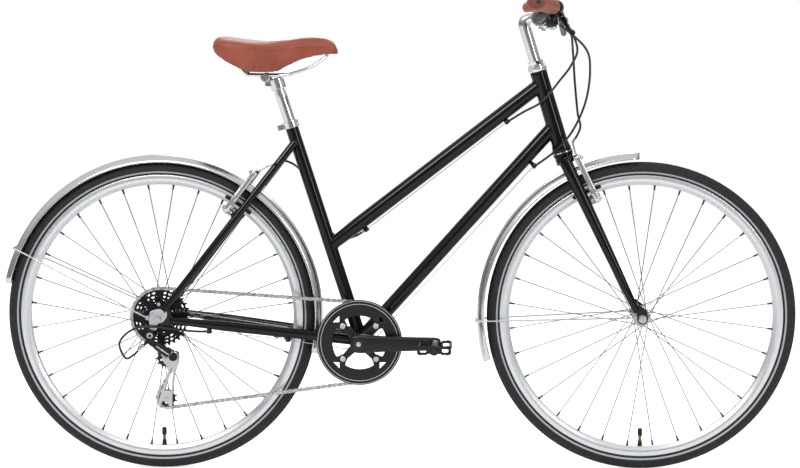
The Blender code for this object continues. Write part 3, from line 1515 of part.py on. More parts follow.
def make_cranks():
    right = crank_arm(FORWARD, -1)
    spider_face = CHAINLINE + RING_THICKNESS / 2 + 0.0005
    spider_depth = 0.006
    boss = cylinder(
        BOTTOM_BRACKET - (SHELL_WIDTH / 2 + 0.0045) * LEFT,
        BOTTOM_BRACKET - (CRANK_OUTER - 0.010) * LEFT,
        0.0165,
        16,
    )
    arms = []
    for index in range(4):
        angle = math.radians(45 + 90 * index)
        outwards = Vector((math.cos(angle), 0, math.sin(angle)))
        length = BOLT_CIRCLE - 0.0050 - GAP
        spot = BOTTOM_BRACKET + length / 2 * outwards - (spider_face + spider_depth / 2) * LEFT
        turn = Matrix((outwards, LEFT, outwards.cross(LEFT))).transposed().to_4x4()
        arms.append(box(spot, (length, spider_depth, 0.017), turn))
    right = join(right, boss, *arms)
    bore = cylinder(
        BOTTOM_BRACKET,
        BOTTOM_BRACKET - (CRANK_OUTER - 0.012) * LEFT,
        SPINDLE_RADIUS + GAP,
        12,
    )
    place(cut(right, bore), "crank_right", "crank", BLACK_ALLOY)

    left = crank_arm(-FORWARD, 1)
    boss = cylinder(
        BOTTOM_BRACKET + (SHELL_WIDTH / 2 + 0.0045) * LEFT,
        BOTTOM_BRACKET + (CRANK_OUTER - 0.010) * LEFT,
        0.0165,
        16,
    )
    spindle = cylinder(
        BOTTOM_BRACKET - (CRANK_OUTER - 0.012 - GAP) * LEFT,
        BOTTOM_BRACKET + (CRANK_OUTER - 0.012) * LEFT,
        SPINDLE_RADIUS,
        12,
    )
    place(join(left, boss, spindle), "crank_left", "crank", BLACK_ALLOY)


make_chainring()
make_cranks()


def make_pedal(name, pivot, side, body_name):
    """A cage pedal: a barrel on its axle between two side plates and two end plates with teeth."""
    inner = CRANK_OUTER + 0.003
    outer = inner + PEDAL_WIDTH
    middle = pivot + side * (inner + outer) / 2 * LEFT
    barrel = cylinder(pivot + side * inner * LEFT, pivot + side * outer * LEFT, 0.0110, 12)
    half = PEDAL_LENGTH / 2
    low = PEDAL_HEIGHT / 2
    lower_edge = [
        (-half, -0.70 * low),
        (-0.80 * half, -low),
        (-0.45 * half, -0.86 * low),
        (-0.30 * half, -0.55 * low),
        (0.30 * half, -0.55 * low),
        (0.45 * half, -0.86 * low),
        (0.80 * half, -low),
        (half, -0.70 * low),
    ]
    outline = lower_edge + [(-x, -z) for x, z in lower_edge]
    plates = []
    for spot in (inner + 0.0025, outer - 0.0025):
        plates.append(slab(outline, 0.003, pivot + side * spot * LEFT, FORWARD, UP))
    rails = []
    for end in (-1, 1):
        spot = middle + end * (half - 0.0035) * FORWARD
        rails.append(box(spot, (0.003, PEDAL_WIDTH - 0.005, PEDAL_HEIGHT * 0.62)))
    made = join(barrel, *plates, *rails)
    bore = cylinder(pivot, pivot + side * (outer - 0.006) * LEFT, PEDAL_AXLE_RADIUS + GAP, 12)
    place(cut(made, bore), name, body_name, BLACK_ALLOY)


make_pedal("pedal_right", PEDAL_RIGHT, -1, "pedal_right")
make_pedal("pedal_left", PEDAL_LEFT, 1, "pedal_left")


# Chain and derailleur

def chain_wraps():
    """The round parts of the chain's way, in its order: centre, radius, turning way, side place."""
    return [
        (BOTTOM_BRACKET, RING_PITCH_RADIUS, 1, CHAINLINE),
        (TENSION_PULLEY, PULLEY_PITCH_RADIUS, 1, COG_LINE),
        (GUIDE_PULLEY, PULLEY_PITCH_RADIUS, -1, COG_LINE),
        (REAR_AXLE, COG_PITCH_RADIUS, 1, COG_LINE),
    ]


def tangents(wraps):
    """For each wrap, the direction square to the chain where it leaves for the next one."""
    normals = []
    for index, (centre, radius, way, _) in enumerate(wraps):
        after, after_radius, after_way, _ = wraps[(index + 1) % len(wraps)]
        gap = Vector((after.x - centre.x, after.z - centre.z))
        distance = gap.length
        gap.normalize()
        lean = (radius * way - after_radius * after_way) / distance
        side = Vector((-gap.y, gap.x))
        normals.append(gap * lean + side * math.sqrt(1 - lean * lean))
    return normals


def chain_path(step):
    """Points of the chain's middle, each with the direction square to it and its side place."""
    wraps = chain_wraps()
    normals = tangents(wraps)
    found = []
    for index, (centre, radius, way, line) in enumerate(wraps):
        entering = normals[index - 1]
        leaving = normals[index]
        start = math.atan2(entering.y, entering.x)
        end = math.atan2(leaving.y, leaving.x)
        turn = (start - end) % (2 * math.pi) if way > 0 else -((end - start) % (2 * math.pi))
        count = max(2, math.ceil(abs(turn) * radius / step))
        for part in range(count + 1):
            angle = start - turn * part / count
            normal = Vector((math.cos(angle), math.sin(angle)))
            point = Vector((centre.x, centre.z)) + radius * way * normal
            found.append((point, normal, line))
        after, after_radius, after_way, after_line = wraps[(index + 1) % len(wraps)]
        goal = Vector((after.x, after.z)) + after_radius * after_way * leaving
        run = goal - found[-1][0]
        if run.length > 0.12:
            straight = run.normalized() * 0.045
            found.append((found[-1][0] + straight, leaving, line))
            found.append((goal - straight, leaving, after_line))
    return found


def make_chain():
    """The chain as a closed band, slotted where it lies over the teeth."""
    points = chain_path(0.014)
    rings = []
    for point, normal, line in points:
        ring = []
        for across, rise in ((-1, -1), (1, -1), (1, 1), (-1, 1)):
            spot = point + normal * rise * CHAIN_HALF_HEIGHT
            ring.append(Vector((spot.x, -line + across * CHAIN_HALF_WIDTH, spot.y)))
        rings.append(ring)
    band = loft(rings, closed=True)
    slots = []
    for centre, radius, _, line in chain_wraps():
        half = CHAIN_INNER_HALF_WIDTH
        slots.append(
            cylinder(
                centre - (line + half) * LEFT,
                centre - (line - half) * LEFT,
                radius + TOOTH_HEIGHT + 0.0006,
                30 if radius > 0.04 else 16,
            )
        )
    place(cut(band, *slots), "chain", "frame", STEEL)


make_chain()

KNUCKLE_INNER = REAR_HALF + FORK_END_THICKNESS + GAP
KNUCKLE_OUTER = KNUCKLE_INNER + 0.016
ARM_OUTER = COG_LINE + 0.020
LINK_ROOT = HANGER_BOLT + Vector((0.004, -(KNUCKLE_OUTER - 0.006), -0.0165))
LINK_END = CAGE_PIVOT + Vector((-0.007, -(ARM_OUTER + 0.0065), 0.006))
LINK_ALONG = (LINK_END - LINK_ROOT).normalized()
LINK_AXIS = LINK_ALONG.cross(LEFT).normalized()
LINK_BOSS_RADIUS = 0.0058

body("derailleur_link", LINK_ROOT)
body("derailleur_arm", CAGE_PIVOT)
body("derailleur_cage", CAGE_PIVOT)
body("guide_pulley", GUIDE_PULLEY)
body("tension_pulley", TENSION_PULLEY)


def make_derailleur():
    bolt_start = HANGER_BOLT - KNUCKLE_INNER * LEFT
    bolt_end = HANGER_BOLT - KNUCKLE_OUTER * LEFT
    knuckle = cylinder(bolt_start, bolt_end, 0.0105, 14)
    tail = HANGER_BOLT + Vector((-0.012, 0, -0.022))
    rings = [
        oval(HANGER_BOLT - (KNUCKLE_INNER + 0.007) * LEFT, LEFT, Vector((-0.9, 0, -0.4)), 0.0065, 0.008, 8),
        oval(tail - (KNUCKLE_INNER + 0.007) * LEFT, LEFT, Vector((-0.9, 0, -0.4)), 0.0065, 0.008, 8),
    ]
    boss = cylinder(LINK_ROOT - 0.007 * LINK_AXIS, LINK_ROOT + 0.007 * LINK_AXIS, LINK_BOSS_RADIUS, 14)
    knuckle = join(knuckle, loft(rings), boss)
    place(knuckle, "derailleur_knuckle", "frame", BLACK_ALLOY)

    across = LINK_ALONG.cross(LINK_AXIS)
    root = LINK_ROOT + (LINK_BOSS_RADIUS + 2 * GAP) * LINK_ALONG
    rings = [
        oval(root, across, LINK_AXIS, 0.0045, 0.0080, 8),
        oval((root + LINK_END) / 2, across, LINK_AXIS, 0.0055, 0.0105, 8),
        oval(LINK_END, across, LINK_AXIS, 0.0040, 0.0090, 8),
    ]
    place(loft(rings), "derailleur_link", "derailleur_link", BLACK_ALLOY)

    plate_outer = COG_LINE + 0.0078
    arm_start = CAGE_PIVOT - (plate_outer + GAP) * LEFT
    arm = cylinder(arm_start, CAGE_PIVOT - ARM_OUTER * LEFT, 0.0110, 14)
    place(arm, "derailleur_arm", "derailleur_arm", BLACK_ALLOY)

    guide = (GUIDE_PULLEY.x - CAGE_PIVOT.x, GUIDE_PULLEY.z - CAGE_PIVOT.z)
    tension = (TENSION_PULLEY.x - CAGE_PIVOT.x, TENSION_PULLEY.z - CAGE_PIVOT.z)
    outline = [
        (0.009, 0.009),
        (-0.004, 0.010),
        (guide[0] - 0.006, guide[1] + 0.008),
        (guide[0] - 0.009, guide[1] - 0.002),
        (guide[0] + 0.002, guide[1] - 0.014),
        (-0.012, -0.040),
        (tension[0] - 0.016, tension[1] + 0.004),
        (tension[0] - 0.020, tension[1] - 0.022),
        (tension[0] + 0.012, tension[1] - 0.024),
        (tension[0] + 0.013, tension[1] + 0.004),
        (0.000, -0.044),
        (0.011, -0.010),
    ]
    inner_face = COG_LINE - 0.0058
    outer_face = COG_LINE + 0.0058
    inner = slab(outline, 0.002, CAGE_PIVOT - (inner_face - 0.001) * LEFT, FORWARD, UP)
    outer = slab(outline, 0.002, CAGE_PIVOT - (outer_face + 0.001) * LEFT, FORWARD, UP)
    pins = []
    for spot in (GUIDE_PULLEY, TENSION_PULLEY):
        pin_start = spot - (inner_face - 0.0011) * LEFT
        pin_end = spot - (outer_face + 0.0011) * LEFT
        pins.append(cylinder(pin_start, pin_end, 0.0030, 12))
    place(join(inner, outer, *pins), "derailleur_cage", "derailleur_cage", SATIN)
    for name, spot in (("guide_pulley", GUIDE_PULLEY), ("tension_pulley", TENSION_PULLEY)):
        edge = toothed(PULLEY_TEETH, PULLEY_PITCH_RADIUS)
        bore = circle(0.0030 + GAP, 12, start=0.1)
        wheel = plate([edge, bore], 0.0020, spot - COG_LINE * LEFT, FORWARD, UP)
        place(wheel, name, name, BLACK_ALLOY)


make_derailleur()


# Cables

HOUSING = 0.0025
NOODLE_WIRE = 0.0019
INNER_WIRE = 0.0009


def by_head(forward, up, left=0.0):
    """A point given from the middle of the head tube's top."""
    return on_steerer(HEAD_TOP) + Vector((forward, left, up))


def make_cable(name, housing_runs, body_name):
    """One cable: stretches in their housing and bare stretches, as one bar of changing width."""
    route = []
    radii = []
    for points, radius in housing_runs:
        run = smooth(points, 0.022) if radius > NOODLE_WIRE else points
        for point in run:
            if route and (point - route[-1]).length < 0.0005:
                continue
            route.append(point)
            radii.append(radius)
    place(wire(route, HOUSING, 1, radii), name, body_name, BLACK_CABLE)


def make_cables():
    arm_top = ARM_LENGTH - 0.006
    arm_depth = ARM_SETOFF + ARM_THICKNESS / 2
    front_top = FRONT_BRAKE_CENTRE + arm_top * BLADE_UP + arm_depth * FRONT_BRAKE_OUT
    rear_top = REAR_BRAKE_CENTRE + arm_top * REAR_STAY_UP + arm_depth * REAR_BRAKE_OUT
    right_arm_face = -(BRAKE_PIVOT_HALF_SPACING - 0.0015) + 0.0085

    make_cable(
        "front_brake_cable",
        [
            (
                [
                    housing_seat(1),
                    housing_seat(1) + Vector((0.006, -0.018, 0.0)),
                    by_head(0.0732, 0.0899, 0.070),
                    by_head(0.0787, 0.0455, 0.052),
                    by_head(0.0828, -0.0211, 0.044),
                    by_head(0.0898, -0.0934, 0.046),
                    by_head(0.0959, -0.1268, 0.048),
                ],
                HOUSING,
            ),
            (
                [
                    front_top + Vector((-0.008, 0.0505, 0.030)),
                    front_top + Vector((-0.003, 0.0515, 0.012)),
                    front_top + Vector((0.0, 0.0480, 0.002)),
                    front_top + Vector((0.0, 0.0420, 0.0)),
                ],
                NOODLE_WIRE,
            ),
            ([front_top + Vector((0.0, right_arm_face, 0.0))], INNER_WIRE),
        ],
        "steering",
    )

    make_cable(
        "rear_brake_cable",
        [
            (
                [
                    housing_seat(-1),
                    housing_seat(-1) + Vector((0.008, 0.020, 0.0)),
                    by_head(0.0830, 0.0549, -0.072),
                    by_head(0.0725, 0.0159, -0.040),
                    by_head(0.0465, -0.0201, -0.030),
                    by_head(0.0075, -0.0661, -0.028),
                    by_head(-0.0325, -0.0891, -0.020),
                    by_head(-0.0720, -0.1141, -0.004),
                ],
                HOUSING,
            ),
            (
                [
                    by_head(-0.0845, -0.1236, -0.002),
                    from_bracket(0.0220, 0.2540, -0.001),
                ],
                INNER_WIRE,
            ),
            (
                [
                    from_bracket(0.0120, 0.2463, 0.000),
                    from_bracket(-0.008, 0.2335, 0.010),
                    from_bracket(-0.030, 0.2260, 0.0215),
                    from_bracket(-0.060, 0.2330, 0.0225),
                    from_bracket(-0.088, 0.2700, 0.0205),
                    from_bracket(-0.108, 0.3220, 0.0200),
                    from_bracket(-0.124, 0.3620, 0.0190),
                    from_bracket(-0.143, 0.3860, 0.0120),
                    from_bracket(-0.173, 0.3990, 0.0050),
                    from_bracket(-0.203, 0.4030, 0.0240),
                    rear_top + Vector((0.022, 0.0510, 0.006)),
                    rear_top + Vector((0.006, 0.0520, 0.002)),
                    rear_top + Vector((0.0, 0.0480, 0.0)),
                ],
                HOUSING,
            ),
            (
                [
                    rear_top + Vector((0.0, 0.0440, 0.0)),
                    rear_top + Vector((0.0, right_arm_face, 0.0)),
                ],
                INNER_WIRE,
            ),
        ],
        "frame",
    )


make_cables()


def make_shift_cable():
    pod = bar_at(LEVER_CLAMP_Y, -1) + Vector((-0.003, 0.0220, -0.030))
    under_shell = []
    for degrees in (-45, -75, -105):
        angle = math.radians(degrees)
        under_shell.append(polar(BOTTOM_BRACKET, SHELL_RADIUS + 0.0024, angle, -0.010))
    stop = chainstay_centre(CHAINSTAY_REACH - 0.085, -1) + Vector((0, 0, -CHAINSTAY_HALF_HEIGHT - 0.0040))
    guide = chainstay_centre(0.160, -1) + Vector((0, 0, -CHAINSTAY_HALF_HEIGHT - 0.0040))
    tail = HANGER_BOLT + Vector((-0.012, -(KNUCKLE_INNER + 0.007), -0.022))
    make_cable(
        "shift_cable",
        [
            (
                [
                    pod,
                    pod + Vector((0.016, 0.014, -0.001)),
                    by_head(0.1030, 0.0549, -0.085),
                    by_head(0.1120, 0.0049, -0.062),
                    by_head(0.1035, -0.0651, -0.046),
                    by_head(0.0755, -0.1301, -0.036),
                    by_head(0.0375, -0.1751, -0.028),
                    by_head(-0.0105, -0.2121, -0.010),
                ],
                HOUSING,
            ),
            (
                [
                    by_head(-0.0225, -0.2236, -0.006),
                    *under_shell,
                    from_bracket(-0.045, -0.0165, -0.0265),
                    guide,
                    stop + Vector((0.010, 0, 0)),
                ],
                INNER_WIRE,
            ),
            (
                [
                    stop,
                    stop + Vector((-0.040, -0.006, 0.002)),
                    REAR_AXLE + Vector((-0.010, -0.0800, -0.015)),
                    REAR_AXLE + Vector((-0.055, -0.0760, -0.022)),
                    REAR_AXLE + Vector((-0.085, -0.0725, -0.052)),
                    REAR_AXLE + Vector((-0.072, -0.0740, -0.086)),
                    tail + Vector((-0.026, 0.0030, -0.022)),
                    tail + Vector((-0.0095, 0.0, -0.0055)),
                ],
                HOUSING,
            ),
        ],
        "frame",
    )


make_shift_cable()
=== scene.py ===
# %% [markdown]
# # A hybrid bike
# The solids of the bike come packed from CAD, with their sizes, bodies and joints. This notebook dresses
# them: it rebuilds each visible piece with its real roundings, teeth, links and seams, gives each a finish
# made from nodes, and lets each ride on its body, so that the bike still steers, pedals, brakes and shifts.

import json
import math

import bmesh
import bpy
from mathutils import Matrix, Vector
from mathutils.bvhtree import BVHTree


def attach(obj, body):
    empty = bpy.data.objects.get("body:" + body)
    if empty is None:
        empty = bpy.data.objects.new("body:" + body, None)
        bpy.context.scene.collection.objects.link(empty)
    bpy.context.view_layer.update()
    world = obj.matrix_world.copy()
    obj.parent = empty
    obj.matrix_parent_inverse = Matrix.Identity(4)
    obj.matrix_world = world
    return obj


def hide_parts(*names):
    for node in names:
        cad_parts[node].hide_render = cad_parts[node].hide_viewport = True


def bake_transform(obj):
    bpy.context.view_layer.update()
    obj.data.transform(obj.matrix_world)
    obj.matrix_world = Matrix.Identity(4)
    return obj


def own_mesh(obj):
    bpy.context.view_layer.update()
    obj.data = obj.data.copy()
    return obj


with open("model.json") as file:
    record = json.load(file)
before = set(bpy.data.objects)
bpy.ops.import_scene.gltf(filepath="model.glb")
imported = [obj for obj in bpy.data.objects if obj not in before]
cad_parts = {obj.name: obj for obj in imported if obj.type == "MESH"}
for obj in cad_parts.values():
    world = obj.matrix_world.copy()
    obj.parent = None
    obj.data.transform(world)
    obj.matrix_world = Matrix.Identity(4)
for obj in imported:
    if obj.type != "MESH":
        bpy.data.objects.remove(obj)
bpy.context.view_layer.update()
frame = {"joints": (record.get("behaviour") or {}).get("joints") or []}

# %% [markdown]
# ## The places that everything hangs on
# A bike is drawn from a few axes: the two axles, the bottom bracket, the steering axis and the seat tube.
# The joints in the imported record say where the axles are. The rest repeats the drawing's own sizes.
# X points forward, Y to the rider's left and Z up, so the chain is on the -Y side.

# %% Axes and angles
FORWARD = Vector((1, 0, 0))
LEFT = Vector((0, 1, 0))
UP = Vector((0, 0, 1))
SIDES = {"right": -1, "left": 1}
joints = {joint["name"]: joint for joint in frame["joints"]}


def pivot_of(name):
    return Vector(joints[name]["pos_m"])


REAR_AXLE = pivot_of("rear_wheel_spin")
FRONT_AXLE = pivot_of("front_wheel_spin")
BRACKET = pivot_of("crank_spin")
HEAD_ANGLE = math.radians(73.0)
SEAT_ANGLE = math.radians(72.3)
STEER_UP = Vector((-math.cos(HEAD_ANGLE), 0, math.sin(HEAD_ANGLE)))
STEER_FORWARD = Vector((math.sin(HEAD_ANGLE), 0, math.cos(HEAD_ANGLE)))
SEAT_UP = Vector((-math.cos(SEAT_ANGLE), 0, math.sin(SEAT_ANGLE)))
SEAT_BACK = Vector((-SEAT_UP.z, 0, SEAT_UP.x))
FORK_RAKE = 0.062


def from_bracket(forward, up, left=0.0):
    return BRACKET + Vector((forward, left, up))


def on_steerer(height, forward=0.0, left=0.0):
    foot = FRONT_AXLE - FORK_RAKE * STEER_FORWARD
    return foot + height * STEER_UP + forward * STEER_FORWARD + left * LEFT


def on_seat_tube(height, back=0.0, left=0.0):
    return BRACKET + height * SEAT_UP + back * SEAT_BACK + left * LEFT


def polar(centre, radius, angle, left=0.0):
    return centre + Vector((radius * math.cos(angle), left, radius * math.sin(angle)))


def frame_along(direction, across=LEFT):
    """A turn whose Z runs along the direction and whose X keeps close to the given one."""
    z_axis = direction.normalized()
    x_axis = across - across.dot(z_axis) * z_axis
    if x_axis.length < 0.001:
        x_axis = FORWARD - FORWARD.dot(z_axis) * z_axis
    x_axis.normalize()
    return Matrix((x_axis, z_axis.cross(x_axis), z_axis)).transposed().to_4x4()


print("wheelbase", round((FRONT_AXLE - REAR_AXLE).length * 1000, 1), "mm")

# %% [markdown]
# ## Shaping tools
# Most of a bike is turned, drawn, bent or stamped. So four small tools make nearly every shape: a lathe for
# hubs and cups, a rod for tubes, wires and cables, a stamping for plates with holes, and a loft for forged
# and moulded pieces. Their meshes are closed, with their faces outwards, and lie where the piece lies.

# %% Objects, circles and turns
TURN = 2 * math.pi


def placed(name, data):
    """A new object in the scene with the given mesh, curve, lamp or camera."""
    made = bpy.data.objects.new(name, data)
    bpy.context.scene.collection.objects.link(made)
    return made


def mesh_of(shape, name):
    mesh = bpy.data.meshes.new(name)
    shape.to_mesh(mesh)
    shape.free()
    return placed(name, mesh)


def from_shape(shape, name="shape"):
    bmesh.ops.remove_doubles(shape, verts=shape.verts, dist=0.000002)
    bmesh.ops.recalc_face_normals(shape, faces=shape.faces)
    return mesh_of(shape, name)


def round_steps(count):
    """The angles of that many equal steps round a circle."""
    return [TURN * index / count for index in range(count)]


def on_circle(radius, angle):
    return (radius * math.cos(angle), radius * math.sin(angle))


def moved(made, way, turn=Matrix()):
    """Turns a shape about the origin and then moves it, by its points."""
    made.data.transform(Matrix.Translation(way) @ turn)
    return made


def turn_of(across, up):
    return Matrix((across, up, across.cross(up))).transposed().to_4x4()


def plain(source):
    """A curve, or an object with modifiers, as a plain mesh with its place in its points."""
    bpy.context.view_layer.update()
    graph = bpy.context.evaluated_depsgraph_get()
    mesh = bpy.data.meshes.new_from_object(source.evaluated_get(graph))
    mesh.transform(source.matrix_world)
    bpy.data.objects.remove(source)
    return placed(mesh.name, mesh)

# %% [markdown]
# A skin goes through rings of points, and a lathe turns an outline round an axis. Both write their corners
# and faces one by one, so that a pole is a single corner and nothing is left open.

# %% Skins and turned pieces
def quads(shape, near, far, count=None):
    """Faces between two rows of corners, all round or for the first few corners."""
    for index in range(count or len(near)):
        after = (index + 1) % len(near)
        shape.faces.new((near[index], near[after], far[after], far[index]))


def skin(rings):
    """A skin through rings of points, capped at both ends."""
    shape = bmesh.new()
    rows = [[shape.verts.new(point) for point in ring] for ring in rings]
    for near, far in zip(rows, rows[1:]):
        quads(shape, near, far)
    shape.faces.new(rows[0])
    shape.faces.new(rows[-1])
    return from_shape(shape)


def lathe(profile, centre, axis=LEFT, segments=64):
    """Turns radii and heights along the axis. It is a ring unless the profile starts and ends at radius 0."""
    turn = Matrix.Translation(centre) @ frame_along(axis, UP)
    solid = profile[0][0] == 0 and profile[-1][0] == 0
    shape = bmesh.new()
    rows = []
    for angle in round_steps(segments):
        spots = [Vector((*on_circle(radius, angle), height)) for radius, height in profile]
        rows.append([shape.verts.new(turn @ spot) for spot in spots])
    for near, far in zip(rows, rows[1:] + rows[:1]):
        quads(shape, near, far, len(profile) - solid)
    return from_shape(shape)


def pin(start, end, radius, edge=0.0004, segments=32):
    """A short round bar with both edges broken, as a bolt, a boss or a barrel has."""
    length = (end - start).length
    edge = min(edge, radius / 3, length / 3)
    profile = [(0, 0), (radius - edge, 0), (radius, edge), (radius, length - edge), (radius - edge, length),
        (0, length)]
    return lathe(profile, start, end - start, segments)

# %% [markdown]
# A curve with a bevel is a round bar, bent as its points say. A flat curve with a little height is a plate
# with holes and a soft edge. Both become plain meshes at once, because only meshes are cut and joined here.

# %% Rods and stampings
def rod(points, radius, sides=16, radii=None, closed=False):
    """A round bar along points: a tube, a wire or a cable's housing."""
    curve = bpy.data.curves.new("rod", "CURVE")
    curve.dimensions = "3D"
    curve.bevel_depth = radius
    curve.bevel_resolution = (sides - 4) // 2
    curve.use_fill_caps = True
    curve.twist_mode = "MINIMUM"
    spline = curve.splines.new("POLY")
    spline.points.add(len(points) - 1)
    spline.use_cyclic_u = closed
    for index, point in enumerate(points):
        spline.points[index].co = (*point, 1)
        spline.points[index].radius = 1.0 if radii is None else radii[index] / radius
    return plain(placed("rod", curve))


def stamping(outlines, thickness, centre, across=FORWARD, up=UP, edge=0.0003, fine=1):
    """A plate with rounded edges. The first outline is its edge and the others are its holes."""
    curve = bpy.data.curves.new("stamping", "CURVE")
    curve.dimensions = "2D"
    curve.fill_mode = "BOTH"
    curve.extrude = thickness / 2 - edge
    curve.bevel_depth = edge
    curve.bevel_resolution = fine
    curve.offset = -edge
    for outline in outlines:
        spline = curve.splines.new("POLY")
        spline.points.add(len(outline) - 1)
        spline.use_cyclic_u = True
        for index, (x, y) in enumerate(outline):
            spline.points[index].co = (x, y, 0, 1)
    made = placed("stamping", curve)
    made.matrix_world = Matrix.Translation(centre) @ turn_of(across, up)
    return plain(made)

# %% Ovals and outlines
def oval(centre, across, up, half_across, half_up, count=24, power=1.0):
    """A ring of points. A power under 1 squares it off, as a forged section is."""
    ring = []
    for angle in round_steps(count):
        x, y = [math.copysign(abs(part) ** power, part) for part in (math.cos(angle), math.sin(angle))]
        ring.append(centre + across * half_across * x + up * half_up * y)
    return ring


def drawn(start, end, across, up, shape, count=24, power=1.0):
    """A bar of ovals, from rows of the share of its length and its two half sizes there."""
    return skin([oval(start + (end - start) * share, across, up, wide, deep, count, power) for share, wide,
        deep in shape])


def circle(radius, count=24, centre=(0.0, 0.0)):
    spots = [on_circle(radius, angle) for angle in round_steps(count)]
    return [(centre[0] + x, centre[1] + y) for x, y in spots]


def mirrored(rows):
    """A profile that is the same on both sides of its middle, from one half of it."""
    return rows + [(radius, -height) for radius, height in reversed(rows)]


def rounded(corners, radius, steps=4):
    """An outline with each corner rounded by at most the given radius."""
    found = []
    count = len(corners)
    for index in range(count):
        here = Vector(corners[index])
        before = Vector(corners[index - 1]) - here
        after = Vector(corners[(index + 1) % count]) - here
        reach = min(radius, before.length * 0.45, after.length * 0.45)
        start = here + before.normalized() * reach
        end = here + after.normalized() * reach
        for step in range(steps + 1):
            t = step / steps
            spot = start * (1 - t) ** 2 + here * 2 * t * (1 - t) + end * t**2
            found.append((spot.x, spot.y))
    return found

# %% [markdown]
# A few points are easier to read off a photograph than many. One tool puts a smooth curve through them, and
# one reads a value from a table of pairs. The last two join meshes, and round them by subdivision.

# %% Curves, tables and joining
def smooth(points, spacing):
    """Points on a smooth curve through the given ones, about the given spacing apart."""
    found = []
    count = len(points)
    for index in range(count - 1):
        before = points[max(index - 1, 0)]
        start = points[index]
        end = points[index + 1]
        after = points[min(index + 2, count - 1)]
        steps = max(1, round((end - start).length / spacing))
        for step in range(steps):
            t = step / steps
            b = end - before
            c = 2 * before - 5 * start + 4 * end - after
            d = 3 * start - before - 3 * end + after
            found.append((2 * start + b * t + c * t * t + d * t**3) / 2)
    found.append(points[-1])
    return found


def between(value, table):
    """A straight-line reading of a table of pairs."""
    if value <= table[0][0]:
        return table[0][1]
    for (low, first), (high, second) in zip(table, table[1:]):
        if value <= high:
            return first + (second - first) * (value - low) / (high - low)
    return table[-1][1]


def together(*objects):
    """Several meshes as one object."""
    shape = bmesh.new()
    for made in objects:
        shape.from_mesh(made.data)
        bpy.data.objects.remove(made)
    return mesh_of(shape, "together")


def subdivided(made, levels=2):
    surface = made.modifiers.new("surface", "SUBSURF")
    surface.levels = levels
    surface.render_levels = levels
    return plain(made)


print("shaping tools ready")

# %% [markdown]
# ## Colour and finish
# Hex colours are sRGB, as a paint chart gives them, while a shader wants linear light. One function turns
# them. Another adds a node, with its settings and its links, so that each finish reads as a short recipe.
# All patterns are laid out in metres on Object coordinates: a scale of 1000 is one wave to the millimetre.

# %% Colour and nodes
def linear(code):
    channels = [int(code[index : index + 2], 16) / 255 for index in (1, 3, 5)]
    return (*[c / 12.92 if c <= 0.04045 else ((c + 0.055) / 1.055) ** 2.4 for c in channels], 1.0)


MATH = "ShaderNodeMath"
VECTORS = "ShaderNodeVectorMath"


def add(tree, kind, settings=None, links=None):
    """Adds a node. Settings are its own or its inputs' values, or one word for its operation.

    Links go to the inputs by name or in their order. Each is another node, one of its outputs, or a number.
    """
    node = tree.nodes.new(kind)
    if isinstance(settings, str):
        settings = {"operation": settings}
    if isinstance(links, tuple):
        links = dict(enumerate(links))
    for key, value in (settings or {}).items():
        if isinstance(key, str) and hasattr(node, key):
            setattr(node, key, value)
        else:
            node.inputs[key].default_value = value
    for key, source in (links or {}).items():
        if isinstance(source, (int, float)):
            node.inputs[key].default_value = source
        else:
            tree.links.new(source if hasattr(source, "is_output") else source.outputs[0], node.inputs[key])
    return node

# %% The finish of a piece
finishes = {}


def grain(tree, scale, detail=2.0, stretch=None, kind="ShaderNodeTexNoise"):
    """A noise or other texture in object space, drawn out along an axis if a stretch is given."""
    spot = add(tree, "ShaderNodeTexCoord").outputs["Object"]
    if stretch is not None:
        spot = add(tree, "ShaderNodeMapping", {"Scale": stretch}, {"Vector": spot}).outputs[0]
    settings = {"Scale": scale}
    if kind == "ShaderNodeTexNoise":
        settings["Detail"] = detail
    return add(tree, kind, settings, {"Vector": spot}).outputs[0]


def finish(name, slot, colour, roughness, wander=None, relief=None, tinted=None, **sockets):
    """A Principled material under the name of its real finish.

    Wander is a noise's scale, its detail and the two roughnesses that it moves between. Relief is a noise's
    scale, its height in millimetres, its strength and more on its grain. Tinted is a noise's scale and detail,
    and the colours that it chooses among, each with its place from the noise's low to its high values. Slot is
    not used.
    """
    made = bpy.data.materials.new(name)
    made.use_nodes = True
    tree = made.node_tree
    shader = tree.nodes["Principled BSDF"]
    shader.inputs["Base Color"].default_value = linear(colour)
    shader.inputs["Roughness"].default_value = roughness
    for socket, value in sockets.items():
        shader.inputs[socket.replace("_", " ")].default_value = value
    finishes[name] = made
    if tinted:
        scale, detail, *codes = tinted
        ramp = add(tree, "ShaderNodeValToRGB", None, {"Fac": grain(tree, scale, detail)})
        for step, (position, code) in zip(ramp.color_ramp.elements, codes):
            step.position = position
            step.color = linear(code)
        tree.links.new(ramp.outputs[0], shader.inputs["Base Color"])
    if wander:
        scale, detail, low, high = wander
        spread = add(tree, "ShaderNodeMapRange", {"To Min": low, "To Max": high},
            {"Value": grain(tree, scale, detail)})
        tree.links.new(spread.outputs[0], shader.inputs["Roughness"])
    if relief:
        scale, millimetres, strength, *more = relief
        raised = add(tree, "ShaderNodeBump", {"Strength": strength, "Distance": millimetres / 1000},
            {"Height": grain(tree, scale, *more)})
        tree.links.new(raised.outputs[0], shader.inputs["Normal"])
    return tree, shader


print("white is", linear("#FFFFFF")[:3])

# %% [markdown]
# ## Paint and rubber
# The frame is dipped black, sprayed and stove-enamelled: a deep gloss with the faint orange peel of sprayed
# lacquer, a few millimetres from crest to crest. Tyre rubber is matt with a dusty bloom. The reflecting ring
# on its sidewall is a ground glass cloth, pale grey and slightly rough.

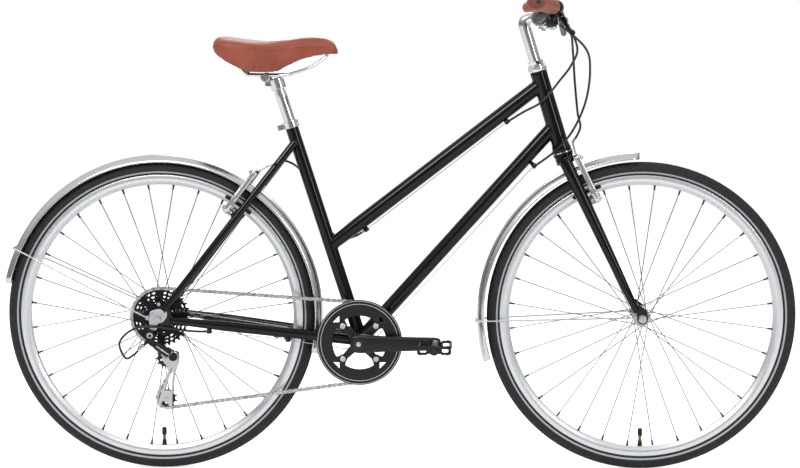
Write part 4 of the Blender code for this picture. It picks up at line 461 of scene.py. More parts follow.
# %% Paint, rubber and plastic finishes
finish("stoved_black_enamel", "frame_paint", "#040405", 0.12, Specular_IOR_Level=0.3,
    wander=(35.0, 3.0, 0.1, 0.16), relief=(220.0, 0.008, 0.25))
finish("tyre_rubber", "tyre_rubber", "#141416", 0.78, relief=(900.0, 0.06, 0.5),
    tinted=(60.0, 4.0, (0.3, "#0F0F11"), (0.7, "#1B1B1E")))
finish("reflecting_glass_cloth", "tyre_rubber", "#A4A6AA", 0.55, Sheen_Weight=0.15,
    wander=(700.0, 2.0, 0.45, 0.62))
finish("black_nylon", "black_alloy", "#101012", 0.42, relief=(1400.0, 0.03, 0.4))
finish("cable_sleeve_vinyl", "cable_housing", "#0B0B0C", 0.3, relief=(500.0, 0.02, 0.3, 1.0))
finish("brake_pad_rubber", "polished_aluminium", "#17171A", 0.85, relief=(800.0, 0.08, 0.6))

# %% [markdown]
# ## Metals
# Chrome plate is a mirror. Fenders are rolled aluminium, polished along the strip, so their scratches run
# that way. Rims and the derailleur's plates are satin anodised, which scatters light finely. Cranks, levers
# and the handlebar are dyed black before the anodising is sealed. Spokes, stays and nuts are bright zinc, and
# the chain is plain steel under an oil film.

# %% Metal finishes
finish("chrome_plate", "chrome", "#D9DADC", 0.07, Metallic=1.0, wander=(90.0, 3.0, 0.04, 0.12))
finish("polished_rolled_aluminium", "polished_aluminium", "#CFD0D3", 0.22, Metallic=1.0,
    wander=(130.0, 4.0, 0.16, 0.3), relief=(1200.0, 0.01, 0.25, 2.0, (1.0, 0.08, 1.0)))
finish("cast_polished_aluminium", "polished_aluminium", "#C6C7CA", 0.24, Metallic=1.0,
    wander=(300.0, 3.0, 0.18, 0.34))
finish("satin_anodised_aluminium", "rim_aluminium", "#CDCFD2", 0.38, Metallic=0.85,
    wander=(400.0, 3.0, 0.33, 0.45), relief=(2200.0, 0.008, 0.4))
finish("machined_brake_track", "rim_aluminium", "#D8DADC", 0.3, Metallic=0.9, wander=(900.0, 3.0, 0.24, 0.38))
finish("black_anodised_aluminium", "black_alloy", "#121214", 0.36, Metallic=0.35,
    wander=(350.0, 3.0, 0.3, 0.44), relief=(2600.0, 0.006, 0.4))
finish("bright_zinc_plate", "plated_steel", "#B9BBBE", 0.26, Metallic=1.0, wander=(500.0, 3.0, 0.2, 0.34))
finish("drawn_spoke_steel", "hub_steel", "#86888B", 0.34, Metallic=1.0, wander=(500.0, 3.0, 0.28, 0.42))
finish("hub_zinc_plate", "hub_steel", "#C2C4C7", 0.26, Metallic=1.0, wander=(500.0, 3.0, 0.2, 0.34))
finish("satin_derailleur_alloy", "satin_aluminium", "#BFC1C4", 0.3, Metallic=1.0,
    wander=(500.0, 3.0, 0.24, 0.38))
finish("oiled_chain_steel", "chain_steel", "#8D8D8E", 0.3, Metallic=1.0,
    tinted=(160.0, 4.0, (0.35, "#8F8E8B"), (0.65, "#C6C6C4")))
finish("phosphated_cog_steel", "black_alloy", "#1D1D1F", 0.4, Metallic=0.7, wander=(600.0, 3.0, 0.32, 0.48))
finish("valve_brass", "rim_aluminium", "#B08D4A", 0.28, Metallic=1.0, wander=(900.0, 2.0, 0.22, 0.34))

# %% [markdown]
# ## Leather
# The saddle's cover and the grips are a rose-brown coated cloth with a pressed leather grain: rounded cells
# about 1 mm across with fine creases between them. The colour drifts a little at random.

# %% Leather finish
tree, shader = finish("rose_brown_leathercloth", "tan_leather", "#94472F", 0.46, Sheen_Weight=0.06,
    tinted=(28.0, 3.0, (0.25, "#883C26"), (0.75, "#9E4E38")))
cells = grain(tree, 900.0, kind="ShaderNodeTexVoronoi")
worn = add(tree, "ShaderNodeMapRange", {"To Min": 0.38, "To Max": 0.56}, {"Value": cells})
raised = add(tree, "ShaderNodeBump", {"Strength": 0.35, "Distance": 0.1 / 1000}, {"Height": cells})
tree.links.new(worn.outputs[0], shader.inputs["Roughness"])
tree.links.new(raised.outputs[0], shader.inputs["Normal"])

finish("leather_thread", "tan_leather", "#7E3F2C", 0.7, Sheen_Weight=0.3, relief=(1500.0, 0.05, 0.5))
finish("dark_cap_nylon", "tan_leather", "#6B372B", 0.5, relief=(1400.0, 0.03, 0.4))
print(len(finishes), "finishes")


# %% Dressing a piece
triangles = {}


def dress(made, name, body, material, replaces=(), angle=40, ride=True):
    """Joins a piece's parts, names it, gives it its finish, and lets it ride on its body."""
    if isinstance(made, (list, tuple)):
        made = together(*made)
    made.name = name
    made.data.name = name
    made.data.materials.clear()
    made.data.materials.append(finishes[material])
    made.data.polygons.foreach_set("material_index", [0] * len(made.data.polygons))
    made.data.shade_smooth()
    made.data.set_sharp_from_angle(angle=math.radians(angle))
    if ride:
        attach(made, body)
    if replaces:
        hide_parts(*replaces)
    triangles[name] = sum(len(face.vertices) - 2 for face in made.data.polygons)
    return made

# %% [markdown]
# ## Trees that repeat a shape
# A wheel has 32 spokes and nipples, a chainring 44 teeth, and a tyre hundreds of tread blocks. Geometry Nodes
# place such copies from a rule, so a size or a count is one number to change. Each tree below has named
# inputs. It is run once, and its result is kept as a plain mesh.

# %% Running a tree
KINDS = {"count": "NodeSocketInt", "size": "NodeSocketFloat", "piece": "NodeSocketObject",
    "finish": "NodeSocketMaterial", "places": "NodeSocketGeometry"}


def new_tree(name, inputs):
    """An empty tree with named inputs and one mesh output. Gives the tree and its two end nodes."""
    tree = bpy.data.node_groups.new(name, "GeometryNodeTree")
    for label, kind in inputs.items():
        tree.interface.new_socket(name=label, in_out="INPUT", socket_type=KINDS[kind])
    tree.interface.new_socket(name="Mesh", in_out="OUTPUT", socket_type="NodeSocketGeometry")
    return tree, tree.nodes.new("NodeGroupInput"), tree.nodes.new("NodeGroupOutput")


def closing(tree, mesh, given, ending):
    """Ends a tree as each one ends: the copies become real, and take their finish."""
    real = add(tree, "GeometryNodeRealizeInstances", None, {0: mesh})
    painted = add(tree, "GeometryNodeSetMaterial", None, {"Geometry": real, "Material": given["Finish"]})
    tree.links.new(painted.outputs[0], ending.inputs[0])


def grown(tree, places=None, **sizes):
    """Runs a tree with the given sizes, on points if it takes them, and keeps a plain mesh."""
    made = placed(tree.name, places or bpy.data.meshes.new(tree.name))
    modifier = made.modifiers.new(tree.name, "NODES")
    modifier.node_group = tree
    for socket in tree.interface.items_tree:
        if socket.in_out == "INPUT" and socket.socket_type != KINDS["places"]:
            modifier[socket.identifier] = sizes[socket.name.replace(" ", "_").lower()]
    return plain(made)


def around(tree, radius, angle, height):
    """A point on a circle round the Z axis."""
    x = add(tree, MATH, "MULTIPLY", (radius, add(tree, MATH, "COSINE", (angle,))))
    y = add(tree, MATH, "MULTIPLY", (radius, add(tree, MATH, "SINE", (angle,))))
    return add(tree, "ShaderNodeCombineXYZ", None, {"X": x, "Y": y, "Z": height})


# %% [markdown]
# A ring of copies serves teeth, tread blocks, bolts and rivets. The copy points outwards along its own X.
# Spokes need more care. Every second one goes to the other flange, and in each flange every second one
# leads, so that each spoke crosses three others on its way to the rim and pulls nearly square to the hub.

# %% The trees for rings and for spokes
ring_inputs = {"Count": "count", "Radius": "size", "First Angle": "size", "Copy": "piece", "Finish": "finish"}
ring_tree, given, ending = new_tree("ring_of_copies", ring_inputs)
number = add(ring_tree, "GeometryNodeInputIndex").outputs[0]
step = add(ring_tree, MATH, "DIVIDE", (TURN, given.outputs["Count"]))
turn = add(ring_tree, MATH, "ADD",
    (add(ring_tree, MATH, "MULTIPLY", (number, step)), given.outputs["First Angle"]))
spots = add(ring_tree, "GeometryNodePoints", None,
    {"Count": given.outputs["Count"], "Position": around(ring_tree, given.outputs["Radius"], turn, 0.0)})
copy = add(ring_tree, "GeometryNodeObjectInfo", None, {"Object": given.outputs["Copy"]})
facing = add(ring_tree, "ShaderNodeCombineXYZ", None, {"Z": turn})
copies = add(ring_tree, "GeometryNodeInstanceOnPoints", None,
    {"Points": spots, "Instance": copy.outputs["Geometry"], "Rotation": facing})
closing(ring_tree, copies, given.outputs, ending)

spoke_inputs = {"Count": "count", "Flange Radius": "size", "Rim Radius": "size", "Right Flange": "size",
    "Left Flange": "size", "Rim Offset": "size", "Cross": "size", "Begin": "size", "End": "size",
    "Wire Radius": "size", "Sides": "count", "Finish": "finish"}
spoke_tree, given, ending = new_tree("laced_spokes", spoke_inputs)
sizes = given.outputs
number = add(spoke_tree, "GeometryNodeInputIndex").outputs[0]
is_left = add(spoke_tree, MATH, "MODULO", (number, 2.0))
pair = add(spoke_tree, MATH, "FLOOR", (add(spoke_tree, MATH, "DIVIDE", (number, 2.0)),))
is_trailing = add(spoke_tree, MATH, "MODULO", (pair, 2.0))
side = add(spoke_tree, MATH, "SUBTRACT", (add(spoke_tree, MATH, "MULTIPLY", (is_left, 2.0)), 1.0))
lead = add(spoke_tree, MATH, "SUBTRACT", (1.0, add(spoke_tree, MATH, "MULTIPLY", (is_trailing, 2.0))))
step = add(spoke_tree, MATH, "DIVIDE", (TURN, sizes["Count"]))
rim_angle = add(spoke_tree, MATH, "MULTIPLY", (add(spoke_tree, MATH, "ADD", (number, 0.5)), step))
rim_angle = add(spoke_tree, MATH, "SUBTRACT", (rim_angle, math.pi / 2))
flange_angle = add(spoke_tree, MATH, "SUBTRACT",
    (rim_angle, add(spoke_tree, MATH, "MULTIPLY", (lead, sizes["Cross"]))))
wider = add(spoke_tree, MATH, "SUBTRACT", (sizes["Left Flange"], sizes["Right Flange"]))
flange_y = add(spoke_tree, MATH, "ADD",
    (sizes["Right Flange"], add(spoke_tree, MATH, "MULTIPLY", (is_left, wider))))
# A spoke's head sits outside its flange if it leads, and inside if it trails.
flange_y = add(spoke_tree, MATH, "ADD", (flange_y, add(spoke_tree, MATH, "MULTIPLY", (lead, 0.0016))))
inner = around(spoke_tree, sizes["Flange Radius"], flange_angle,
    add(spoke_tree, MATH, "MULTIPLY", (flange_y, side)))
outer = around(spoke_tree, sizes["Rim Radius"], rim_angle,
    add(spoke_tree, MATH, "MULTIPLY", (sizes["Rim Offset"], side)))
span = add(spoke_tree, VECTORS, "SUBTRACT", (outer, inner))
span_length = add(spoke_tree, VECTORS, "LENGTH", (span,)).outputs["Value"]
half_way = add(spoke_tree, MATH, "MULTIPLY",
    (add(spoke_tree, MATH, "ADD", (sizes["Begin"], sizes["End"])), 0.5))
part_of = add(spoke_tree, VECTORS, "SCALE", {"Vector": span, "Scale": half_way})
middle = add(spoke_tree, VECTORS, "ADD", (inner, part_of))
share = add(spoke_tree, MATH, "SUBTRACT", (sizes["End"], sizes["Begin"]))
spoke_points = add(spoke_tree, "GeometryNodePoints", None, {"Count": sizes["Count"], "Position": middle})
bar = add(spoke_tree, "GeometryNodeMeshCylinder", {"Depth": 1.0},
    {"Vertices": sizes["Sides"], "Radius": sizes["Wire Radius"]})
pointing = add(spoke_tree, "FunctionNodeAlignRotationToVector", {"axis": "Z"}, {"Vector": span})
long = add(spoke_tree, MATH, "MULTIPLY", (span_length, share))
stretch = add(spoke_tree, "ShaderNodeCombineXYZ", {"X": 1.0, "Y": 1.0}, {"Z": long})
bars = add(spoke_tree, "GeometryNodeInstanceOnPoints", None,
    {"Points": spoke_points, "Instance": bar.outputs["Mesh"], "Rotation": pointing, "Scale": stretch})
closing(spoke_tree, bars, sizes, ending)


# %% [markdown]
# Screws sit wherever something is clamped. Their tree takes loose points, each with the way that its screw
# faces, kept in an attribute. So one list of places and directions gives a whole set of screws.

# %% The tree for screws
screw_tree, given, ending = new_tree("screws_on_places",
    {"Places": "places", "Copy": "piece", "Finish": "finish"})
way = add(screw_tree, "GeometryNodeInputNamedAttribute", {"data_type": "FLOAT_VECTOR", "Name": "way"})
facing = add(screw_tree, "FunctionNodeAlignRotationToVector", {"axis": "Z"},
    {"Vector": way.outputs["Attribute"]})
copy = add(screw_tree, "GeometryNodeObjectInfo", None, {"Object": given.outputs["Copy"]})
screws_set = add(screw_tree, "GeometryNodeInstanceOnPoints", None,
    {"Points": given.outputs["Places"], "Instance": copy.outputs["Geometry"], "Rotation": facing})
closing(screw_tree, screws_set, given.outputs, ending)


def spots_with_ways(places):
    """Loose points that keep their directions, from pairs of a place and a direction."""
    spots = bpy.data.meshes.new("spots")
    spots.from_pydata([place for place, _ in places], [], [])
    ways = spots.attributes.new("way", "FLOAT_VECTOR", "POINT")
    for index, (_, direction) in enumerate(places):
        ways.data[index].vector = direction
    return spots


def set_on(places, copy):
    """Copies on places, used up in the making. The piece's own finish comes when it is dressed."""
    made = grown(screw_tree, places=spots_with_ways(places), copy=copy, finish=finishes["black_nylon"])
    bpy.data.objects.remove(copy)
    return made


def screws(places, radius, height):
    """Cap screws at places, each given with the way that it faces. A round recess shows the key's socket."""
    return set_on(places, lathe([(0, height * 0.45), (radius * 0.55, height * 0.45), (radius * 0.55, height),
        (radius * 0.88, height), (radius, height * 0.82), (radius, 0), (0, 0)], Vector(), UP, 20))


def turned_to(made, centre, axis, across=FORWARD):
    """Moves a shape built round the Z axis to its place, by its points."""
    return moved(made, centre, frame_along(axis, across))


def ring_of(copy, count, radius, centre, axis=LEFT, first=0.0, across=FORWARD):
    """Copies in a ring, used up in the making. The piece's own finish comes when it is dressed."""
    bare = finishes["black_nylon"]
    made = grown(ring_tree, count=count, radius=radius, first_angle=first, copy=copy, finish=bare)
    bpy.data.objects.remove(copy)
    return turned_to(made, centre, axis, across)


def block(low, high, edge=0.0002):
    """A small block with broken edges, from its lowest to its highest corner."""
    shape = bmesh.new()
    bmesh.ops.create_cube(shape, size=1.0)
    size = Vector(high) - Vector(low)
    middle = (Vector(high) + Vector(low)) / 2
    bmesh.ops.scale(shape, vec=size, verts=shape.verts)
    bmesh.ops.translate(shape, vec=middle, verts=shape.verts)
    if edge:
        bmesh.ops.bevel(shape, geom=shape.edges[:], offset=edge, segments=1, affect="EDGES")
    return from_shape(shape)


def slab(x, y, z, edge):
    """A block round the origin, from its half sizes."""
    return block((-x, -y, -z), (x, y, z), edge)


print("trees:", ring_tree.name, "and", spoke_tree.name)

# %% [markdown]
# ## Wheels
# Size 700 x 35C. The tyre is a lathe shape: its section is a bulb that rises from the rim's hooks. The tread
# is cut in rows of blocks, so they are copies round the crown. A strip of reflecting cloth is moulded into
# each sidewall. The rim is an extruded aluminium box bent to a hoop, with a machined band where the brakes rub.

# %% Tyres
HOOP_STEPS = 144
RIM_RADIUS = 0.317
TYRE_RADIUS = 0.346
RIM_DEPTH = 0.022
TREAD_HEIGHT = 0.0014
STRIPE_FOOT = 0.0044
STRIPE_WIDTH = 0.0036
# Height over the rim's edge and half the width there
TYRE_SECTION = [(0.0, 0.0112), (0.003, 0.0128), (0.0065, 0.0158), (0.011, 0.0178), (0.015, 0.0174),
    (0.019, 0.0156), (0.0225, 0.0126), (0.0252, 0.0084), (0.0268, 0.004), (0.0273, 0.0)]


def tyre_surface(height, lift=0.0):
    """Radius and half width on the tyre's skin, raised square to it."""
    heights = [row[0] for row in TYRE_SECTION]
    half = between(height, TYRE_SECTION)
    step = 0.0004
    rise = between(min(height + step, heights[-1]), TYRE_SECTION) - between(max(height - step, 0),
        TYRE_SECTION)
    away = Vector((-rise, 2 * step)).normalized()
    return RIM_RADIUS + height + lift * away.x, half + lift * away.y


def make_tyre(name, axle, body):
    fine = smooth([Vector((height, half, 0)) for height, half in TYRE_SECTION], 0.0012)
    outside = [(RIM_RADIUS + point.x, point.y) for point in fine]
    profile = outside[:-1] + [(radius, -half) for radius, half in reversed(outside)]
    profile = [(RIM_RADIUS - 0.003, 0.0096)] + profile + [(RIM_RADIUS - 0.003, -0.0096)]
    casing = lathe(profile, axle, LEFT, HOOP_STEPS)

    shoulders = []
    for side in (-1, 1):
        for height, count, long, wide in ((0.0262, 150, 0.0052, 0.0036), (0.0232, 150, 0.0044, 0.0042)):
            radius, half = tyre_surface(height)
            lean = math.radians(24 if height > 0.025 else 52)
            knob = block((-0.001, -long / 2, -wide / 2), (TREAD_HEIGHT * 0.62, long / 2, wide / 2), 0.0003)
            turn = Matrix.Rotation(-side * lean, 4, "Y") @ Matrix.Rotation(side * 0.5, 4, "X")
            moved(knob, (0, 0, side * half), turn)
            first = 0.0 if side > 0 else math.pi / count
            shoulders.append(ring_of(knob, count, radius, axle, LEFT, first))
    rib = [(TYRE_RADIUS - 0.0018, 0.0028), (TYRE_RADIUS - 0.0003, 0.0024), (TYRE_RADIUS, 0.0018)]
    centre_rib = lathe(mirrored(rib), axle, LEFT, HOOP_STEPS)
    dress([casing, centre_rib, *shoulders], name, body, "tyre_rubber", [name], 50)

    bands = []
    for side in (-1, 1):
        rows = [tyre_surface(STRIPE_FOOT + STRIPE_WIDTH * index / 6, 0.00025) for index in range(7)]
        inner = [tyre_surface(STRIPE_FOOT + STRIPE_WIDTH * (1 - index / 6), -0.0003) for index in range(7)]
        bands.append(lathe([(radius, side * half) for radius, half in rows + inner], axle, LEFT, HOOP_STEPS))
    dress(bands, name + "_reflecting_strip", body, "reflecting_glass_cloth")


make_tyre("front_tyre", FRONT_AXLE, "front_wheel")
make_tyre("rear_tyre", REAR_AXLE, "rear_wheel")
print("tyre", triangles["front_tyre"], "triangles")

# %% [markdown]
# The rim is one piece, with two finishes on it: satin anodising, and the band that was machined bare after
# it. The band is 12 mm high, so it is made as its own thin ring on each wall.

# %% Rims and valves
TRACK_HEIGHT = 0.0125


def make_rim(name, axle, body):
    inner = RIM_RADIUS - RIM_DEPTH
    side = [(inner, 0.0), (inner, 0.0036), (inner + 0.0006, 0.0058), (inner + 0.0075, 0.0112),
        (inner + 0.009, 0.0119), (RIM_RADIUS - 0.0006, 0.0119), (RIM_RADIUS, 0.0115), (RIM_RADIUS, 0.0102),
        (RIM_RADIUS - 0.008, 0.01), (RIM_RADIUS - 0.0085, 0.0)]
    profile = side + [(radius, -half) for radius, half in reversed(side[1:-1])]
    extrusion = lathe(profile, axle, LEFT, HOOP_STEPS)
    hole = lathe([(0, 0.0), (0.0033, 0.0), (0.0033, 0.0009), (0.0027, 0.0013), (0, 0.0013)], Vector(), UP, 10)
    moved(hole, Vector(), Matrix.Rotation(math.radians(-90), 4, "Y"))
    cups = ring_of(hole, 32, inner, axle, LEFT, -math.pi / 2 + math.pi / 32)
    dress([extrusion, cups], name, body, "satin_anodised_aluminium", [name], 30)

    tracks = []
    for side in (-1, 1):
        low = RIM_RADIUS - 0.0008 - TRACK_HEIGHT
        band = [(low, side * 0.0115), (low, side * 0.0121), (low + 0.0004, side * 0.0123),
            (RIM_RADIUS - 0.0012, side * 0.0123), (RIM_RADIUS - 0.0008, side * 0.0121),
            (RIM_RADIUS - 0.0008, side * 0.0115)]
        tracks.append(lathe(band, axle, LEFT, HOOP_STEPS))
    dress(tracks, name + "_brake_tracks", body, "machined_brake_track", angle=30)

    root = axle - Vector((0, 0, inner))
    stem = [(0, 0.0), (0.0034, 0.0), (0.0034, 0.016), (0.003, 0.019), (0, 0.019)]
    rubber = lathe([(0, -0.002), (0.0058, -0.002), (0.0052, 0.004), (0.0042, 0.012), (0, 0.012)], root, UP,
        24)
    cap = [(0, 0.0), (0.0048, 0.0), (0.0048, 0.014), (0.0038, 0.016), (0, 0.016)]
    rib = block((-0.0003, -0.0005, 0.0008), (0.0003, 0.0005, 0.0136), 0.0)
    knurl = ring_of(rib, 14, 0.0048, root + 0.0235 * UP, UP)
    black = [rubber, lathe(cap, root + 0.0235 * UP, UP, 24), knurl]
    dress(black, name + "_valve_rubber", body, "tyre_rubber")
    threads = [(0, 0.0)]
    for index in range(9):
        threads += [(0.0033, 0.0012 * index + 0.0001), (0.0039, 0.0012 * index + 0.0006)]
    threads += [(0.0033, 0.0112), (0, 0.0112)]
    brass = [lathe(stem, root + 0.006 * UP, UP, 24), lathe(threads, root + 0.0122 * UP, UP, 24)]
    dress(brass, name + "_valve_stem", body, "valve_brass")


make_rim("front_rim", FRONT_AXLE, "front_wheel")
make_rim("rear_rim", REAR_AXLE, "rear_wheel")
print("rim", triangles["front_rim"], "triangles")

# %% [markdown]
# Hubs are turned from bar, with a flange at each end drilled for 16 spokes. The spokes are 2 mm steel wire
# with a bent head, screwed into black nipples that stand 11 mm out of the rim.

# %% Hubs, spokes and nipples
SPOKES = 32
NIPPLE_LENGTH = 0.011


def make_hub(name, axle, body, right_flange, left_flange, right_end, left_end, flange_radius):
    bore = 0.0052
    barrel = 0.62 * flange_radius
    profile = [(bore, left_end), (barrel * 0.72, left_end), (barrel * 0.8, left_end - 0.0012),
        (barrel * 0.8, left_flange + 0.006), (flange_radius * 0.93, left_flange + 0.0026),
        (flange_radius, left_flange + 0.0016), (flange_radius, left_flange - 0.0016),
        (flange_radius * 0.93, left_flange - 0.0022), (barrel, left_flange - 0.008),
        (barrel * 0.86, left_flange - 0.014), (barrel * 0.86, 0.014 - right_flange),
        (barrel, 0.008 - right_flange), (flange_radius * 0.93, 0.0022 - right_flange),
        (flange_radius, 0.0016 - right_flange), (flange_radius, -0.0016 - right_flange),
        (flange_radius * 0.93, -0.0026 - right_flange),
        (barrel * 0.8, min(-0.006 - right_flange, -right_end + 0.0012)), (barrel * 0.72, -right_end),
        (bore, -right_end)]
    shell = lathe(profile, axle, LEFT, 64)
    heads = []
    hole_radius = flange_radius - 0.0035
    for side, flange in ((-1, right_flange), (1, left_flange)):
        head = lathe([(0, 0.0), (0.0019, 0.0), (0.0019, 0.0005), (0.0011, 0.0013), (0, 0.0014)], Vector(), UP,
            10)
        if side < 0:
            moved(head, Vector(), Matrix.Rotation(math.pi, 4, "X"))
        first = -math.pi / 2 + math.pi / 16 + (0 if side < 0 else math.pi / 16)
        spot = axle + side * (flange + 0.0026) * LEFT
        heads.append(ring_of(head, SPOKES // 2, hole_radius, spot, LEFT, first))
    dress([shell, *heads], name, body, "hub_zinc_plate", [name], 30)

    settings = {"count": SPOKES, "flange_radius": hole_radius, "rim_radius": RIM_RADIUS - RIM_DEPTH,
        "right_flange": right_flange, "left_flange": left_flange, "rim_offset": 0.0018,
        "cross": math.radians(67.5)}
    nipple_share = 1 - NIPPLE_LENGTH / (RIM_RADIUS - RIM_DEPTH)
    steel = finishes["drawn_spoke_steel"]
    wires = grown(spoke_tree, **settings, begin=0.0, end=nipple_share + 0.01, wire_radius=0.0011, sides=8,
        finish=steel)
    turned_to(wires, axle, LEFT, FORWARD)
    dress(wires, name + "_spokes", body, "drawn_spoke_steel")
    black = finishes["black_nylon"]
    shanks = grown(spoke_tree, **settings, begin=nipple_share, end=1.0, wire_radius=0.0021, sides=10,
        finish=black)
    collars = grown(spoke_tree, **settings, begin=1 - 0.0025 / RIM_RADIUS, end=1.0, wire_radius=0.0029,
        sides=10, finish=black)
    nipples = turned_to(together(shanks, collars), axle, LEFT, FORWARD)
    dress(nipples, name + "_nipples", body, "black_nylon")


make_hub("front_hub", FRONT_AXLE, "front_wheel", 0.031, 0.031, 0.0497, 0.0497, 0.0195)
make_hub("rear_hub", REAR_AXLE, "rear_wheel", 0.0215, 0.036, 0.0272, 0.0672, 0.0235)
print("spokes", triangles["front_hub_spokes"], "triangles")

# %% [markdown]
# Each axle is a threaded rod held by hexagon nuts on toothed washers.

# %% Axles and nuts
def nut(centre, axis, across_corners, height, bore=0.0):
    """A hexagon nut whose corners are turned down at both ends."""
    turn = frame_along(axis)
    rows = []
    for level, share in ((0.0, 0.9), (0.14, 1.0), (0.86, 1.0), (1.0, 0.9)):
        ring = []
        for angle in round_steps(24):
            flat = math.cos(math.pi / 6) / math.cos((angle % (math.pi / 3)) - math.pi / 6)
            radius = across_corners / 2 * min(flat, share)
            ring.append(centre + turn @ Vector((*on_circle(radius, angle), level * height)))
        rows.append(ring)
    made = skin(rows)
    if bore:
        hole = pin(centre - axis.normalized() * 0.002, centre + axis.normalized() * (height + 0.002), bore)
        made = pierced(made, hole)
    return made


def pierced(made, *tools):
    """Takes the tools' shapes out of a piece."""
    for tool in tools:
        step = made.modifiers.new("hole", "BOOLEAN")
        step.operation = "DIFFERENCE"
        step.object = tool
    result = plain(made)
    for tool in tools:
        bpy.data.objects.remove(tool)
    return result


def thread(start, end, radius, pitch=0.001):
    """A threaded end, as rings of crests at the thread's pitch."""
    length = (end - start).length
    profile = [(0, 0.0)]
    for index in range(int(length / pitch)):
        profile += [(radius - 0.0004, pitch * index), (radius, pitch * (index + 0.5))]
    profile += [(radius - 0.0006, length), (0, length)]
    return lathe(profile, start, end - start, 20)


def make_axle(name, axle, body, half):
    face = half + 0.0053
    parts = [pin(axle - half * LEFT, axle + half * LEFT, 0.0046)]
    for side in (-1, 1):
        out = side * LEFT
        washer = lathe([(0.005, 0.0), (0.0093, 0.0), (0.0093, 0.0012), (0.0088, 0.0016), (0.005, 0.0016)],
            axle + face * out, out, 32)
        hexagon = nut(axle + (face + 0.0016) * out, out, 0.018, 0.0066)
        parts += [washer, hexagon, thread(axle + (face - 0.006) * out, axle + (face + 0.01) * out, 0.0047)]
    dress(parts, name, body, "bright_zinc_plate", [name], 30)


make_axle("front_axle", FRONT_AXLE, "steering", 0.05)
make_axle("rear_axle", REAR_AXLE, "frame", 0.0675)
print("axles", triangles["front_axle"], "triangles each")

# %% [markdown]
# ## The frame
# Five straight steel tubes, mitred and welded. A mitre is where one tube is cut to the roundness of the next,
# so each tube here is cut by its neighbour's cylinder. A weld bead follows that curved seam, so it is worked
# out as the line where the two cylinders meet, and a thin rod is bent along it.

# %% Sizes of the frame's tubes
HEAD_FOOT = 0.405
HEAD_TOP = 0.5905
HEAD_TUBE_RADIUS = 0.0185
SEAT_TUBE_LENGTH = 0.5135
SEAT_TUBE_RADIUS = 0.0143
MAIN_TUBE_RADIUS = 0.0159
SHELL_RADIUS = 0.02
SHELL_HALF = 0.034
TOP_TUBE_START = on_steerer(HEAD_TOP - 0.028)
TOP_TUBE_END = on_seat_tube(0.2214)
DOWN_TUBE_START = on_steerer(HEAD_FOOT + 0.0596)
BEAD = 0.0017

# %% Tubes and their beads
def seam(far, goal, radius, other, other_axis, other_radius, count=56):
    """The line where a tube that comes from far meets another tube's skin."""
    along = (goal - far).normalized()
    first = along.cross(LEFT).normalized()
    second = along.cross(first)
    flat = along - along.dot(other_axis) * other_axis
    points = []
    for angle in round_steps(count):
        spot = far + radius * (math.cos(angle) * first + math.sin(angle) * second)
        away = spot - other
        away -= away.dot(other_axis) * other_axis
        a = flat.length_squared
        b = 2 * away.dot(flat)
        c = away.length_squared - other_radius**2
        reach = (-b - math.sqrt(max(b * b - 4 * a * c, 0.0))) / (2 * a)
        points.append(spot + reach * along)
    return points


def bead(points, wide=BEAD):
    return rod(points, wide, 8, closed=True)


def solid_tube(start, end, radius, segments=56):
    length = (end - start).length
    return lathe([(0, 0), (radius, 0), (radius, length), (0, length)], start, end - start, segments)


head_profile = [(0.0172, HEAD_FOOT), (0.0206, HEAD_FOOT), (0.0211, HEAD_FOOT + 0.0008),
    (0.0211, HEAD_FOOT + 0.0075), (0.0204, HEAD_FOOT + 0.011), (0.019, HEAD_FOOT + 0.017),
    (0.0185, HEAD_FOOT + 0.024), (0.0185, HEAD_TOP - 0.012), (0.0189, HEAD_TOP - 0.008),
    (0.0189, HEAD_TOP - 0.0008), (0.0184, HEAD_TOP), (0.0172, HEAD_TOP)]
dress(lathe(head_profile, on_steerer(0), STEER_UP, 72), "head_tube", "frame", "stoved_black_enamel",
    ["head_tube"])


def head_core():
    return solid_tube(on_steerer(HEAD_FOOT - 0.02), on_steerer(HEAD_TOP + 0.02), HEAD_TUBE_RADIUS - 0.0006)


def shell_core():
    return solid_tube(BRACKET - 0.06 * LEFT, BRACKET + 0.06 * LEFT, SHELL_RADIUS - 0.001)


top_way = (TOP_TUBE_END - TOP_TUBE_START).normalized()
top_points = [TOP_TUBE_START, TOP_TUBE_END - 0.075 * top_way, TOP_TUBE_END - 0.045 * top_way, TOP_TUBE_END]
top_tube = rod(top_points, MAIN_TUBE_RADIUS, 56, [0.0159, 0.0159, 0.015, 0.0138])
dress(pierced(top_tube, head_core()), "top_tube", "frame", "stoved_black_enamel", ["top_tube"])
down_tube = pierced(solid_tube(DOWN_TUBE_START, BRACKET, MAIN_TUBE_RADIUS), head_core(), shell_core())
dress(down_tube, "down_tube", "frame", "stoved_black_enamel", ["down_tube"])
seat_profile = [(0, 0.0), (SEAT_TUBE_RADIUS, 0.0), (SEAT_TUBE_RADIUS, SEAT_TUBE_LENGTH),
    (0.0131, SEAT_TUBE_LENGTH), (0.0131, 0.296), (0, 0.296)]
seat_tube = pierced(lathe(seat_profile, BRACKET, SEAT_UP, 56), shell_core())
dress(seat_tube, "seat_tube", "frame", "stoved_black_enamel", ["seat_tube"])

shell_edge = 0.001
shell = [(0.0172, SHELL_HALF - shell_edge), (0.0182, SHELL_HALF), (SHELL_RADIUS - shell_edge, SHELL_HALF),
    (SHELL_RADIUS, SHELL_HALF - shell_edge)]
dress(lathe(mirrored(shell), BRACKET, LEFT, 64), "bottom_bracket_shell", "frame", "stoved_black_enamel",
    ["bottom_bracket_shell"])

